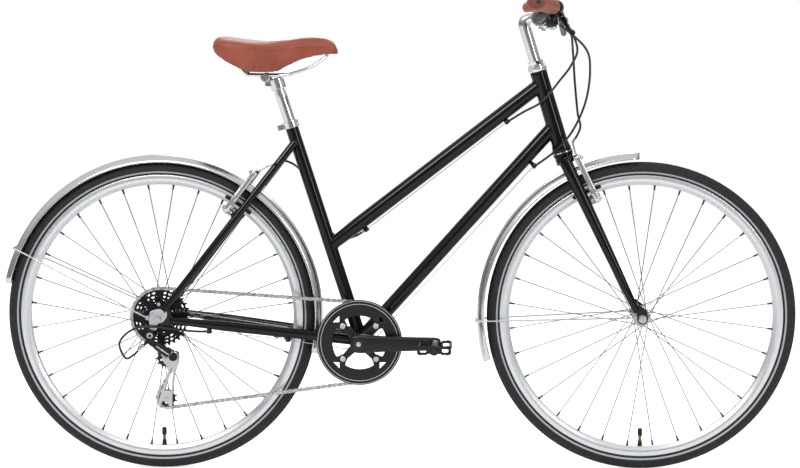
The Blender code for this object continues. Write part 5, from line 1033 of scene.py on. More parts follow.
beads = [bead(seam(TOP_TUBE_END, TOP_TUBE_START, MAIN_TUBE_RADIUS, on_steerer(0), STEER_UP,
    HEAD_TUBE_RADIUS)), bead(seam(TOP_TUBE_START, TOP_TUBE_END, 0.0138, BRACKET, SEAT_UP, SEAT_TUBE_RADIUS),
    0.002), bead(seam(BRACKET, DOWN_TUBE_START, MAIN_TUBE_RADIUS, on_steerer(0), STEER_UP, HEAD_TUBE_RADIUS)),
    bead(seam(DOWN_TUBE_START, BRACKET, MAIN_TUBE_RADIUS, BRACKET, LEFT, SHELL_RADIUS)),
    bead(seam(on_seat_tube(0.3), BRACKET, SEAT_TUBE_RADIUS, BRACKET, LEFT, SHELL_RADIUS))]
dress(beads, "frame_weld_beads", "frame", "stoved_black_enamel")
print("main tubes", triangles["top_tube"], triangles["down_tube"], triangles["seat_tube"], "triangles")

# %% [markdown]
# The bottom bracket is a sealed cartridge, screwed into the shell with a splined cup at each end.

# %% Bottom bracket cups
cup_face = SHELL_HALF + 0.003
cup = [(0.0089, cup_face - 0.001), (0.0135, cup_face - 0.001), (0.014, cup_face), (0.0166, cup_face),
    (0.0167, cup_face - 0.0006)]
splines = []
for side in (-1, 1):
    tooth = block((-0.0008, -0.0009, -0.0012), (0.0008, 0.0009, 0.0004), 0.0001)
    splines.append(ring_of(tooth, 16, 0.0132, BRACKET + side * (cup_face - 0.0004) * LEFT))
cartridge = [lathe(mirrored(cup), BRACKET, LEFT, 48), *splines]
dress(cartridge, "bottom_bracket_cups", "frame", "black_anodised_aluminium", ["bottom_bracket_cartridge"], 30)

# %% [markdown]
# ## Stays and dropouts
# Chainstays are oval where they pass the tyre and flat where they meet the dropout. So each is a skin through
# rings whose width and height come from small tables. The dropouts are stamped from 5 mm plate. On the chain
# side the plate runs down to a lug that carries the derailleur.

# %% Chainstays
DROPOUT_Y = 0.07
AXLE_SLOT = 0.0052
STAY_WAY = [(0.0, 0.0245), (0.055, 0.0285), (0.105, 0.0318), (0.3, 0.056), (0.42, DROPOUT_Y)]
STAY_SLIM = [(0.0, 1.0), (0.3, 0.95), (0.42, 0.62)]
CHAINSTAY_RISE = 0.0515
AXLE_BACK = BRACKET.x - REAR_AXLE.x


def chainstay_centre(back, side):
    return from_bracket(-back, back / (AXLE_BACK - 0.024) * CHAINSTAY_RISE, side * between(back, STAY_WAY))


def dropout(side):
    outline = [(0.034, 0.006), (0.026, 0.026), (0.012, 0.03), (-0.004, 0.026), (-0.012, 0.016),
        (-0.026, 0.009), (-0.027, 0.0), (-0.014, -0.007)]
    if side < 0:
        outline += [(-0.022, -0.018), (-0.0262, -0.034), (-0.0235, -0.0445), (-0.006, -0.0445),
            (-0.0035, -0.034), (0.002, -0.015)]
    else:
        outline += [(-0.008, -0.013), (0.002, -0.015)]
    outline += [(0.016, -0.013), (0.034, -0.013)]
    holes = [circle(AXLE_SLOT), circle(0.0025, 16, (-0.0215, 0.004))]
    return stamping([rounded(outline, 0.006), *holes], 0.005, REAR_AXLE + side * DROPOUT_Y * LEFT,
        edge=0.0005)


hanger = [(-0.0165, 0.019), (0.003, 0.0235), (0.0215, 0.019), (0.0215, 0.006), (0.0125, -0.006),
    (-0.001, -0.01), (-0.002, -0.0235), (-0.0105, -0.026), (-0.017, -0.022), (-0.019, 0.002)]
plate_face = DROPOUT_Y + 0.0029
holes = [circle(AXLE_SLOT), circle(0.003, 16, (0.0135, 0.012)), circle(0.003, 16, (-0.012, 0.0125))]
plate = stamping([rounded(hanger, 0.0055), *holes], 0.0012, REAR_AXLE - plate_face * LEFT, edge=0.0003)
dress(plate, "hanger_plate", "frame", "satin_derailleur_alloy", angle=35)
plate_spots = [(0.0135, 0.012, 0.0036), (-0.012, 0.0125, 0.003), (0.0035, 0.034, 0.003)]
plate_bolts = []
for x, z, radius in plate_spots:
    foot = REAR_AXLE + Vector((x, -plate_face - 0.0004, z))
    plate_bolts.append(pin(foot + 0.0004 * LEFT, foot - 0.0012 * LEFT, radius + 0.001, 0.0003, 28))
    plate_bolts.append(screws([(foot - 0.0012 * LEFT, -LEFT)], radius, 0.0026))
dress(plate_bolts, "hanger_bolts", "frame", "hub_zinc_plate", angle=35)

REAR_FENDER_RADIUS = 0.361
FENDER_BRIDGE = REAR_FENDER_RADIUS + 0.0063


def cross_tube(near):
    """A thin tube from one stay straight across to the other, with a bead round each end."""
    parts = [pin(near, near - 2 * near.y * LEFT, 0.006, 0.0002)]
    for turn in SIDES.values():
        foot = Vector((near.x, turn * (near.y - 0.0078), near.z))
        parts.append(bead(oval(foot, FORWARD, UP, 0.006, 0.006, 24), 0.0013))
    return parts


for side_name, side in SIDES.items():
    rings = []
    middles = smooth([chainstay_centre(back, side) for back, _ in STAY_WAY], 0.012)
    for middle in middles:
        back = BRACKET.x - middle.x
        slim = between(back, STAY_SLIM)
        rings.append(oval(middle, LEFT, UP, 0.008 * slim, 0.0118 * slim, 32))
    stay = pierced(skin(rings), shell_core())
    parts = [stay, dropout(side)]
    end = middles[-1]
    parts.append(bead(oval(end + 0.002 * FORWARD, LEFT, UP, 0.0054, 0.0078, 28), 0.0014))
    if side > 0:
        parts += cross_tube(chainstay_centre(AXLE_BACK - FENDER_BRIDGE, side))
    name = "chainstay_" + side_name
    dress(parts, name, "frame", "stoved_black_enamel", [name])
print("chainstay", triangles["chainstay_right"], "triangles")

# %% [markdown]
# Seatstays are plain 16 mm tubes, closed at the top by a slanting cap that is brazed to the seat tube's side.
# The posts for the brake arms stand out behind them.

# %% Seatstays
SEATSTAY_ON_SEAT_TUBE = 0.468
SEATSTAY_END = REAR_AXLE + Vector((0.015, 0, 0.022))
BRAKE_POST_DISTANCE = RIM_RADIUS - 0.033
POST_SPACING = 0.04
stay_top = on_seat_tube(SEATSTAY_ON_SEAT_TUBE)
REAR_STAY_UP = (stay_top - SEATSTAY_END).normalized()
REAR_BRAKE_OUT = Vector((-REAR_STAY_UP.z, 0, REAR_STAY_UP.x))


def on_line(start, end, centre, distance):
    """The point between start and end that lies the given distance from a centre, in side view."""
    low, high = 0.0, 1.0
    for _ in range(40):
        share = (low + high) / 2
        point = start + (end - start) * share
        if Vector((point.x - centre.x, point.z - centre.z)).length < distance:
            low = share
        else:
            high = share
    return point


def brake_post(centre, out, side):
    """A stepped post for a brake arm."""
    start = centre + side * POST_SPACING * LEFT
    return together(pin(start, start + 0.0212 * out, 0.005), pin(start, start + 0.011 * out, 0.0075, 0.001))


REAR_BRAKE_CENTRE = on_line(SEATSTAY_END, stay_top, REAR_AXLE, BRAKE_POST_DISTANCE)
for side_name, side in SIDES.items():
    top = on_seat_tube(SEATSTAY_ON_SEAT_TUBE, 0.0, side * 0.0175)
    end = SEATSTAY_END + side * DROPOUT_Y * LEFT
    way = (end - top).normalized()
    path = [top - 0.006 * way, top - 0.001 * way, top + 0.004 * way, end - 0.05 * way, end + 0.004 * way]
    stay = rod(path, 0.008, 32, [0.0035, 0.0066, 0.008, 0.008, 0.0068])
    centre = on_line(SEATSTAY_END, top - side * 0.0175 * LEFT, REAR_AXLE, BRAKE_POST_DISTANCE)
    web_end = on_line(end, top, REAR_AXLE, BRAKE_POST_DISTANCE)
    web = pin(web_end, centre + side * POST_SPACING * LEFT, 0.0062, 0.0008)
    parts = [stay, web, brake_post(REAR_BRAKE_CENTRE, REAR_BRAKE_OUT, side)]
    if side > 0:
        parts += cross_tube(on_line(end, top, REAR_AXLE, FENDER_BRIDGE))
    if side < 0:
        boss = on_line(end, top, REAR_AXLE, 0.43)
        rings = [(0.0, -0.006), (0.0046, -0.006), (0.0046, 0.0007), (0.004, 0.0012), (0.0026, 0.0012)]
        rings += [(0.0024, 0.0009), (0.0024, -0.004), (0.0, -0.004)]
        parts.append(lathe([(radius, 0.0092 + height) for radius, height in rings], boss, -LEFT, 32))
    name = "seatstay_" + side_name
    dress(parts, name, "frame", "stoved_black_enamel", [name])
print("seatstay", triangles["seatstay_right"], "triangles")

# %% [markdown]
# ## Fork, headset and seat collar
# The fork's crown is a casting, and its blades are straight tubes that taper towards the ends. The headset is
# a stack of turned and chromed rings, which a lathe profile gives directly, groove by groove.

# %% Fork
CROWN_SEAT = 0.393
CROWN_MIDDLE = 0.3795
BLADE_TOP_Y = 0.036
BLADE_END_Y = 0.0525
BLADE_END = FRONT_AXLE + Vector((-0.015, 0, 0.02))
BLADE_UP = (on_steerer(CROWN_MIDDLE) - BLADE_END).normalized()
FRONT_BRAKE_OUT = Vector((BLADE_UP.z, 0, -BLADE_UP.x))
FRONT_BRAKE_CENTRE = on_line(BLADE_END, on_steerer(CROWN_MIDDLE), FRONT_AXLE, BRAKE_POST_DISTANCE)

steerer = [(0.0131, CROWN_MIDDLE), (0.0142, CROWN_MIDDLE), (0.0142, HEAD_TOP + 0.0235),
    (0.0131, HEAD_TOP + 0.0235)]
crown_race = [(0, CROWN_MIDDLE - 0.004), (0.02, CROWN_MIDDLE - 0.002), (0.0205, CROWN_SEAT - 0.004),
    (0.0198, CROWN_SEAT), (0, CROWN_SEAT)]
crown_rings = []
for index in range(25):
    share = -1 + index / 12
    y = share * (BLADE_TOP_Y + 0.004)
    swell = 1 + 0.16 * math.cos(share * math.pi / 2)
    end_round = math.sqrt(max(1 - max(abs(share) - 0.86, 0) ** 2 / 0.0225, 0.02))
    spot = on_steerer(CROWN_MIDDLE - 0.002 * share * share, 0.0, y)
    crown_rings.append(oval(spot, STEER_FORWARD, STEER_UP, 0.0132 * swell * end_round, 0.0132 * end_round, 28,
        0.86))
fork_parts = [lathe(steerer, on_steerer(0), STEER_UP, 48), lathe(crown_race, on_steerer(0), STEER_UP, 56),
    skin(crown_rings)]
FORK_END = [(-0.012, 0.01), (-0.013, -0.001), (-0.009, -0.0095), (0.0, -0.013), (0.009, -0.0095),
    (0.013, -0.0005), (0.011, 0.008), (0.011, 0.018), (0.003, 0.023), (-0.008, 0.033), (-0.022, 0.026)]
for side in SIDES.values():
    top = on_steerer(CROWN_MIDDLE, 0.0, side * BLADE_TOP_Y)
    end = BLADE_END + side * BLADE_END_Y * LEFT
    taper = [(top + 0.013 * STEER_UP, 0.004, 0.006), (top + 0.011 * STEER_UP, 0.0092, 0.011),
        (top + 0.002 * STEER_UP, 0.0118, 0.014), (top + (end - top) * 0.1, 0.0118, 0.0138),
        (top + (end - top) * 0.5, 0.0105, 0.0118), (top + (end - top) * 0.85, 0.008, 0.0092),
        (end, 0.0065, 0.0078), (end + (end - top).normalized() * 0.006, 0.004, 0.005)]
    fork_parts.append(skin([oval(c, LEFT, FRONT_BRAKE_OUT, wide, deep, 32) for c, wide, deep in taper]))
    tip = FRONT_AXLE + side * BLADE_END_Y * LEFT
    fork_parts.append(stamping([rounded(FORK_END, 0.005), circle(AXLE_SLOT)], 0.005, tip, edge=0.0005))
    fork_parts.append(brake_post(FRONT_BRAKE_CENTRE, FRONT_BRAKE_OUT, side))
dress(fork_parts, "fork", "steering", "stoved_black_enamel", ["fork"], 35)
print("fork", triangles["fork"], "triangles")

# %% Headset
upper_cup = [(0.0147, 0.0004), (0.0192, 0.0004), (0.0196, 0.001), (0.0205, 0.0036), (0.0205, 0.005),
    (0.0198, 0.0062), (0.0198, 0.007), (0.0204, 0.0076), (0.0202, 0.01), (0.019, 0.0114), (0.0147, 0.0114)]
dress(lathe(upper_cup, on_steerer(HEAD_TOP), STEER_UP, 72), "headset_upper_cup", "frame", "chrome_plate",
    ["headset_upper_cup"], 30)
lower_cup = [(0.0147, 0.0004), (0.0212, 0.0004), (0.0216, 0.001), (0.0219, 0.0032), (0.0211, 0.004),
    (0.0222, 0.005), (0.0225, 0.0075), (0.0216, 0.011), (0.0212, 0.0116), (0.0147, 0.0116)]
dress(lathe(lower_cup, on_steerer(CROWN_SEAT), STEER_UP, 72), "headset_lower_cup", "frame",
    "stoved_black_enamel", ["headset_lower_cup"], 30)
seal = [(0.0218, -0.003), (0.0232, -0.0026), (0.0232, -0.001), (0.0218, -0.0006)]
dress(lathe(seal, on_steerer(HEAD_FOOT), STEER_UP, 72), "headset_seal_ring", "frame", "chrome_plate",
    angle=30)
nut_foot = HEAD_TOP + 0.0119
spacer = [(0.0147, 0), (0.0186, 0), (0.019, 0.0004), (0.019, 0.0026), (0.0186, 0.003), (0.0147, 0.003)]
lock = nut(on_steerer(nut_foot + 0.0034), STEER_UP, 0.0385, 0.0086, 0.0147)
dress([lathe(spacer, on_steerer(nut_foot), STEER_UP, 64), lock], "headset_locknut", "steering",
    "chrome_plate", ["headset_locknut"], 30)

# %% Seat collar
collar_foot = SEAT_TUBE_LENGTH - 0.015
collar = [(0.0145, 0), (0.0176, 0), (0.018, 0.0006), (0.018, 0.0046), (0.0172, 0.0054), (0.0172, 0.01),
    (0.018, 0.0108), (0.018, 0.0149), (0.0176, 0.0155), (0.0145, 0.0155)]
lug_middle = on_seat_tube(collar_foot + 0.0075, 0.0215)
ears = []
for side in SIDES.values():
    ear = block((-0.0085, side * 0.004 - 0.0021, -0.0055), (0.0085, side * 0.004 + 0.0021, 0.0055), 0.0008)
    ears.append(turned_to(ear, lug_middle, SEAT_UP, SEAT_BACK))
bolt_line = on_seat_tube(collar_foot + 0.0075, 0.0225)
ears.append(pin(bolt_line - 0.0115 * LEFT, bolt_line + 0.0115 * LEFT, 0.0026))
ears.append(screws([(bolt_line - 0.008 * LEFT, -LEFT)], 0.0042, 0.004))
dress([lathe(collar, on_seat_tube(collar_foot), SEAT_UP, 64), *ears], "seat_collar", "frame", "chrome_plate",
    ["seat_clamp"], 30)
print("headset and collar", triangles["headset_upper_cup"] + triangles["seat_collar"], "triangles")

# %% [markdown]
# ## Fenders
# A fender is one strip of aluminium, rolled to an arch across and to a hoop along, with its edges curled under.
# Its section is carried round the axle, and the ends are cut round. Each hangs on two wires that are screwed
# to the fork ends, and reaches the frame by a bridge or the crown.

# %% Fender hoops
FENDER_HALF = 0.0225
FENDER_DEPTH = 0.015
FENDER_WALL = 0.001
FENDER_ARCH = 2.4
FENDER_END_ROUNDING = 0.016


def fender(axle, radius, first, last):
    outer = []
    for index in range(17):
        share = -1 + index / 8
        outer.append((radius - FENDER_DEPTH * abs(share) ** FENDER_ARCH, share * FENDER_HALF))
    inner = [(r - FENDER_WALL, y * (1 - FENDER_WALL / FENDER_HALF)) for r, y in reversed(outer)]
    low = outer[0][0] - FENDER_WALL
    loop = [*outer, (low, FENDER_HALF - 0.0004), *inner, (low, 0.0004 - FENDER_HALF)]
    steps = round(math.degrees(last - first) * 1.1)
    rings = []
    for index in range(steps + 1):
        angle = first + (last - first) * index / steps
        from_end = min(angle - first, last - angle) * radius
        narrow = math.sqrt(max(1 - max(1 - from_end / FENDER_END_ROUNDING, 0) ** 2, 0.05))
        rings.append([polar(axle, r, angle, y * narrow) for r, y in loop])
    return skin(rings)


FRONT_FENDER_RADIUS = 0.3677
FRONT_FENDER_ENDS = (math.radians(91.0), math.radians(196.5))
REAR_FENDER_ENDS = (math.radians(-14.0), math.radians(168.2))
crown_way = on_steerer(CROWN_MIDDLE) - FRONT_AXLE
outwards = crown_way.normalized()
tab_low = FRONT_FENDER_RADIUS - 0.0005
tab_high = crown_way.length - 0.0132
tab = block((tab_low, -0.007, -0.009), (tab_high, 0.007, 0.009), 0.0006)
moved(tab, FRONT_AXLE, turn_of(outwards, LEFT))
front_fender = [fender(FRONT_AXLE, FRONT_FENDER_RADIUS, *FRONT_FENDER_ENDS), tab]
dress(front_fender, "front_fender", "steering", "polished_rolled_aluminium", ["front_fender"], 60)
rear_fender = fender(REAR_AXLE, REAR_FENDER_RADIUS, *REAR_FENDER_ENDS)
dress(rear_fender, "rear_fender", "frame", "polished_rolled_aluminium", ["rear_fender"], 60)
print("fenders", triangles["front_fender"], triangles["rear_fender"], "triangles")

# %% Fender wires and their screws
WIRE_RADIUS = 0.0018


def fender_wires(name, axle, radius, angle, eyelet, eyelet_y, body):
    over = radius + 0.0003 + WIRE_RADIUS
    wide = FENDER_HALF + 0.0011 + WIRE_RADIUS
    half = [eyelet + eyelet_y * LEFT, eyelet + (eyelet_y + 0.001) * LEFT
        + (polar(axle, radius, angle) - eyelet) * 0.05,
        polar(axle, radius - FENDER_DEPTH - 0.006, angle, wide + 0.001),
        polar(axle, over - 0.004, angle, wide), polar(axle, over, angle, wide - 0.004)]
    other = [Vector((p.x, -p.y, p.z)) for p in reversed(half)]
    rods = rod(half + other, WIRE_RADIUS, 12)
    places = []
    eyes = []
    for side in SIDES.values():
        spot = eyelet + side * eyelet_y * LEFT
        eyes.append(lathe(mirrored([(0.0022, -0.0018), (0.0052, -0.0018)]), spot, side * LEFT, 24))
        places.append((spot + side * 0.0017 * LEFT, side * LEFT))
    edge = polar(axle, radius - FENDER_DEPTH * 0.45, angle)
    for side in SIDES.values():
        places.append((edge + side * (FENDER_HALF + 0.0006) * LEFT, side * LEFT))
    dress([rods, *eyes], name, body, "bright_zinc_plate", [name], 40)
    dress(screws(places, 0.0044, 0.0034), name + "_screws", body, "bright_zinc_plate", angle=30)


FRONT_EYELET = FRONT_AXLE + Vector((-0.0175, 0, 0.0035))
REAR_EYELET = REAR_AXLE + Vector((-0.0215, 0, 0.004))
fender_wires("front_fender_stays", FRONT_AXLE, FRONT_FENDER_RADIUS, math.radians(181.5), FRONT_EYELET, 0.0571,
    "steering")
fender_wires("rear_fender_stays", REAR_AXLE, REAR_FENDER_RADIUS, math.radians(155.0), REAR_EYELET, 0.0746,
    "frame")

bridge = on_line(SEATSTAY_END, stay_top, REAR_AXLE, FENDER_BRIDGE)
bridge_way = (bridge - REAR_AXLE).normalized()
clip = block((REAR_FENDER_RADIUS - 0.0008, -0.008, -0.0075), (FENDER_BRIDGE + 0.0066, 0.008, 0.0075), 0.0008)
moved(clip, REAR_AXLE, turn_of(bridge_way, LEFT))
clip_screw = screws([(REAR_AXLE + bridge_way * (FENDER_BRIDGE + 0.0064), bridge_way)], 0.0045, 0.004)
dress([clip, clip_screw], "rear_fender_bracket", "frame", "bright_zinc_plate", angle=30)
print("fender wires", triangles["front_fender_stays"], "triangles")

# %% [markdown]
# ## Stem and handlebar
# The quill stem is one chromed steel bend with a split clamp at its end, closed by a hex bolt from below. The
# bar passes through the clamp. It is 25.4 mm thick there and is swaged down to 22.2 mm for grips and levers.

# %% Stem
STEM_HEIGHT = 0.7138
STEM_REACH = 0.037
STEM_BEND = 0.0134
STEM_RADIUS = 0.0127
BAR_CLAMP_RADIUS = 0.0127
BAR_RADIUS = 0.0111
BAR_HALF_WIDTH = 0.31
BAR_SWEEP = math.radians(14.7)
BAR_UPSWEEP = math.radians(3.5)
LEVER_CLAMP_Y = 0.163
HAND_START = Vector((0.0365, 0.145, 0.0196))

stem_top = on_steerer(STEM_HEIGHT)
BAR_CENTRE = stem_top + STEM_REACH * FORWARD
tangent = STEM_BEND * math.tan((math.pi - HEAD_ANGLE) / 2)
bend_middle = stem_top - tangent * STEER_UP + STEM_BEND * STEER_FORWARD
stem_way = [on_steerer(0.515), on_steerer(0.6)]
for index in range(17):
    angle = (math.pi - HEAD_ANGLE) * index / 16
    stem_way.append(bend_middle + STEM_BEND * (STEER_UP * math.sin(angle) - STEER_FORWARD * math.cos(angle)))
stem_way.append(BAR_CENTRE - 0.012 * FORWARD)
neck = rod(stem_way, STEM_RADIUS, 40)
hug = [(0.0129, 0.0204), (0.0134, 0.021), (0.0172, 0.021), (0.0185, 0.0198), (0.0185, 0.0012),
    (0.0181, 0.0006)]
bore = solid_tube(BAR_CENTRE - 0.05 * LEFT, BAR_CENTRE + 0.05 * LEFT, 0.0128)
stem = pierced(neck, bore)
ears = []
for lift in (-1, 1):
    ear = slab(0.0085, 0.0195, 0.0026, 0.0008)
    ears.append(moved(ear, BAR_CENTRE + Vector((0.0085, 0, -0.0182 + 0.0033 * lift))))
clamp = [lathe(mirrored(hug), BAR_CENTRE, LEFT, 56), *ears]
dress([stem, *clamp], "stem", "steering", "chrome_plate", ["stem"], 35)
bolt_foot = BAR_CENTRE + Vector((0.0105, 0, -0.0242))
hexes = [nut(bolt_foot + Vector((0, 0.0095 * turn, 0)), -UP, 0.0092, 0.0042, 0.0014) for turn in (-1, 1)]
dress(hexes, "stem_clamp_bolts", "steering", "bright_zinc_plate", angle=30)
print("stem", triangles["stem"], "triangles")

# %% Handlebar


def hand_direction(side):
    return Vector((-math.tan(BAR_SWEEP), side, math.tan(BAR_UPSWEEP)))


def bar_at(y, side):
    start = Vector((HAND_START.x, HAND_START.y * side, HAND_START.z))
    return BAR_CENTRE + start + (y - HAND_START.y) * hand_direction(side)


def bar_path(side):
    offsets = [(0, 0.028, 0), (0.002, 0.05, 0.002), (0.01, 0.078, 0.009), (0.0285, 0.112, 0.0175)]
    offsets += [(0.035, 0.128, 0.0192), tuple(HAND_START)]
    bends = smooth([BAR_CENTRE + Vector((x, y * side, z)) for x, y, z in offsets], 0.005)
    return bends + [bar_at(BAR_HALF_WIDTH - 0.0015, side)]


BAR_WIDTHS = [(0.034, BAR_CLAMP_RADIUS), (0.056, BAR_RADIUS)]
bar_way = list(reversed(bar_path(-1))) + bar_path(1)
bar_radii = [between(abs(point.y), BAR_WIDTHS) for point in bar_way]
bar = rod(bar_way, BAR_RADIUS, 36, bar_radii)
dress(bar, "handlebar", "steering", "black_anodised_aluminium", ["handlebar"], 40)
print("handlebar", triangles["handlebar"], "triangles")

# %% [markdown]
# ## Grips
# The grips are shaped for the palm: round under the fingers, with a wing that grows towards the end. They are
# covered in stitched leathercloth, and each end is closed by a darker cap. The surface is a skin through
# rings, with the wing pushed out of the ring's rear side only.

# %% Grips
GRIP_LENGTH = 0.128
GRIP_RADIUS = 0.0165
GRIP_WING = 0.0115
# Share of the grip's length, of its round part and of its wing
GRIP_SHAPE = [(0.0, 0.84, 0.0), (0.006, 0.92, 0.0), (0.03, 0.985, 0.0), (0.06, 1.0, 0.0), (0.2, 1.0, 0.06),
    (0.35, 1.0, 0.25), (0.5, 1.0, 0.48), (0.62, 1.0, 0.7), (0.75, 1.0, 0.89), (0.86, 1.0, 1.0),
    (0.93, 0.995, 1.0), (0.97, 0.98, 0.97), (0.988, 0.95, 0.9), (1.0, 0.9, 0.8)]


def grip_axes(side):
    run = hand_direction(side).normalized()
    rearwards = Vector((-1, 0, -0.1))
    rearwards = (rearwards - rearwards.dot(run) * run).normalized()
    return run, rearwards, run.cross(rearwards) * side


def grip_ring(side, share, round_part, wing, grow=0.0, count=56):
    _, rearwards, upwards = grip_axes(side)
    centre = bar_at(BAR_HALF_WIDTH - GRIP_LENGTH + share * GRIP_LENGTH, side)
    ring = []
    for angle in round_steps(count):
        bulge = max(0.0, math.cos(angle)) ** 3
        radius = GRIP_RADIUS * round_part + GRIP_WING * wing * bulge + grow
        ring.append(centre + radius * (math.cos(angle) * rearwards + math.sin(angle) * upwards))
    return ring


def grip_stitches(side):
    """Short threads along the underside seam, one every 4 mm."""
    run, rearwards, upwards = grip_axes(side)
    stitches = []
    for index in range(26):
        share = 0.1 + 0.8 * index / 25
        spot = bar_at(BAR_HALF_WIDTH - GRIP_LENGTH + share * GRIP_LENGTH, side)
        out = (-upwards + 0.25 * -rearwards).normalized()
        spot = spot + out * (GRIP_RADIUS + 0.0001)
        stitches.append((spot, (run + 0.35 * rearwards).normalized()))
    return stitches


def threads(places, long=0.0026, radius=0.0004):
    """A row of stitches: short threads that lie along the given directions."""
    half = [(0, -0.5 * long), (0.7 * radius, -0.42 * long), (radius, -0.2 * long)]
    return set_on(places, lathe(mirrored(half), Vector(), UP, 8))


for side_name, side in SIDES.items():
    name = "grip_" + side_name
    rings = [grip_ring(side, *row) for row in GRIP_SHAPE]
    dress(skin(rings), name, "steering", "rose_brown_leathercloth", [name], 60)
    run = grip_axes(side)[0]
    cap_rings = [grip_ring(side, 0.99, 0.86, 0.72), grip_ring(side, 1.004, 0.8, 0.66),
        grip_ring(side, 1.01, 0.7, 0.56), grip_ring(side, 1.01, 0.3, 0.0), grip_ring(side, 0.985, 0.28, 0.0)]
    dress(skin(cap_rings), name + "_cap", "steering", "dark_cap_nylon", angle=40)
    # A black disc fills the cap's end recess: painted shade for the dark inside of the bar's end hole.
    hole_shade_rings = [grip_ring(side, share, 0.31, 0.0) for share in (0.98, 1.004)]
    dress(skin(hole_shade_rings), name + "_end_hole", "steering", "black_nylon", angle=40)
    dress(threads(grip_stitches(side)), name + "_stitches", "steering", "leather_thread", angle=60)
print("grip", triangles["grip_right"], "triangles")

# %% [markdown]
# ## Brake levers and shifter
# Each lever has a hinged clamp, a cast body with a barrel adjuster where the cable enters, and a forged blade
# that turns on a pin. The blade's section is a flat oval, thicker at the knuckle and at the tip. On the right
# the shifter pod hangs under the bar with its thumb lever and its round gear window.

# %% Lever bodies
LEVER_PIVOT = BAR_CENTRE + Vector((0.049, 0, -0.002))
LEVER_PIVOT_Y = 0.14
LEVER_LEAN = math.radians(40.0)
LEVER_FLAT = Vector((math.cos(LEVER_LEAN), 0, math.sin(LEVER_LEAN)))
LEVER_CLOSING = Vector((math.sin(LEVER_LEAN), 0, -math.cos(LEVER_LEAN)))
LEVER_HALF = 0.0045
POD_START = Vector((-0.005, 0, -0.0128))


def lever_pivot(side):
    return LEVER_PIVOT + side * LEVER_PIVOT_Y * LEFT


def housing_seat(side):
    return lever_pivot(side) - 0.009 * LEVER_CLOSING - side * 0.0206 * LEFT


for side_name, side in SIDES.items():
    run = hand_direction(side).normalized()
    centre = bar_at(LEVER_CLAMP_Y, side)
    pivot = lever_pivot(side)
    band = [(0.0113, 0.0084), (0.0118, 0.009), (0.0158, 0.009), (0.0165, 0.0082)]
    arm_end = pivot - (LEVER_HALF + 0.0003) * LEVER_CLOSING - side * 0.0095 * LEFT
    down = Vector((arm_end.x - centre.x, 0, arm_end.z - centre.z)).normalized()
    way = arm_end - centre
    steps = [(centre + 0.0125 * down, side * run, down.cross(side * run), 0.008, 0.009),
        (centre + Vector((0.35 * way.x, 0.12 * way.y, 0.35 * way.z)), side * run, down.cross(side * run),
        0.0088, 0.0092), (centre + Vector((0.6 * way.x, 0.25 * way.y, 0.6 * way.z)), LEFT, down.cross(LEFT),
        0.0092, 0.0092), (centre + Vector((0.85 * way.x, 0.66 * way.y, 0.85 * way.z)), LEFT, down.cross(LEFT),
        0.0102, 0.008), (arm_end, LEFT, LEVER_FLAT, 0.0105, 0.007)]
    arm = skin([oval(c, across, up, wide, deep, 28, 0.82) for c, across, up, wide, deep in steps])
    plate_top = stamping([rounded([(-0.01, -0.007), (0.01, -0.007), (0.012, 0.0), (0.01, 0.007),
        (-0.01, 0.007)], 0.004)], 0.0036, arm_end - 0.0012 * LEVER_CLOSING, LEFT * -side,
        LEVER_FLAT if side > 0 else -LEVER_FLAT)
    parts = [lathe(mirrored(band), centre, side * run, 40), arm, plate_top]
    if side < 0:
        pod = centre + POD_START
        pod_rings = [(0.0, 0.0, 0.012, 0.011), (-0.0015, -0.004, 0.015, 0.0122),
            (-0.003, -0.0105, 0.0184, 0.0134), (-0.003, -0.0165, 0.019, 0.0136),
            (-0.003, -0.0225, 0.0184, 0.013), (-0.003, -0.0268, 0.0168, 0.0115),
            (-0.003, -0.0284, 0.015, 0.0098)]
        parts.append(skin([oval(pod + Vector((x, 0, z)), LEFT, FORWARD, a, b, 36, 0.82) for x, z, a,
            b in pod_rings]))
    name = "brake_mount_" + side_name
    dress(parts, name, "steering", "black_anodised_aluminium", [name], 35)

    seat = housing_seat(side)
    inboard = -side * LEFT
    barrel_profile = [(0, -0.011), (0.0034, -0.011), (0.0034, -0.005), (0.0052, -0.0046), (0.0052, -0.001),
        (0.0044, -0.0004), (0.0044, 0.003), (0.0036, 0.0044), (0, 0.0044)]
    knurls = ring_of(block((-0.0004, -0.0004, -0.0044), (0.0004, 0.0004, -0.0012), 0.0001), 18, 0.0052, seat,
        inboard)
    barrel = [lathe(barrel_profile, seat, inboard, 28), knurls]
    dress(barrel, "barrel_adjuster_" + side_name, "steering", "cast_polished_aluminium", angle=35)
    pin_low = pivot + 0.0052 * LEVER_CLOSING
    pin_high = pivot - 0.01 * LEVER_CLOSING
    clamp_screw = centre - 0.0155 * down - 0.002 * UP
    heads = screws([(pin_high, -LEVER_CLOSING), (clamp_screw, -down)], 0.0038, 0.003)
    hinge = [pin(pin_low, pin_high, 0.0024, 0.0004, 20), heads]
    dress(hinge, "lever_hinge_pin_" + side_name, "steering", "bright_zinc_plate", angle=30)
print("lever body", triangles["brake_mount_right"], "triangles")

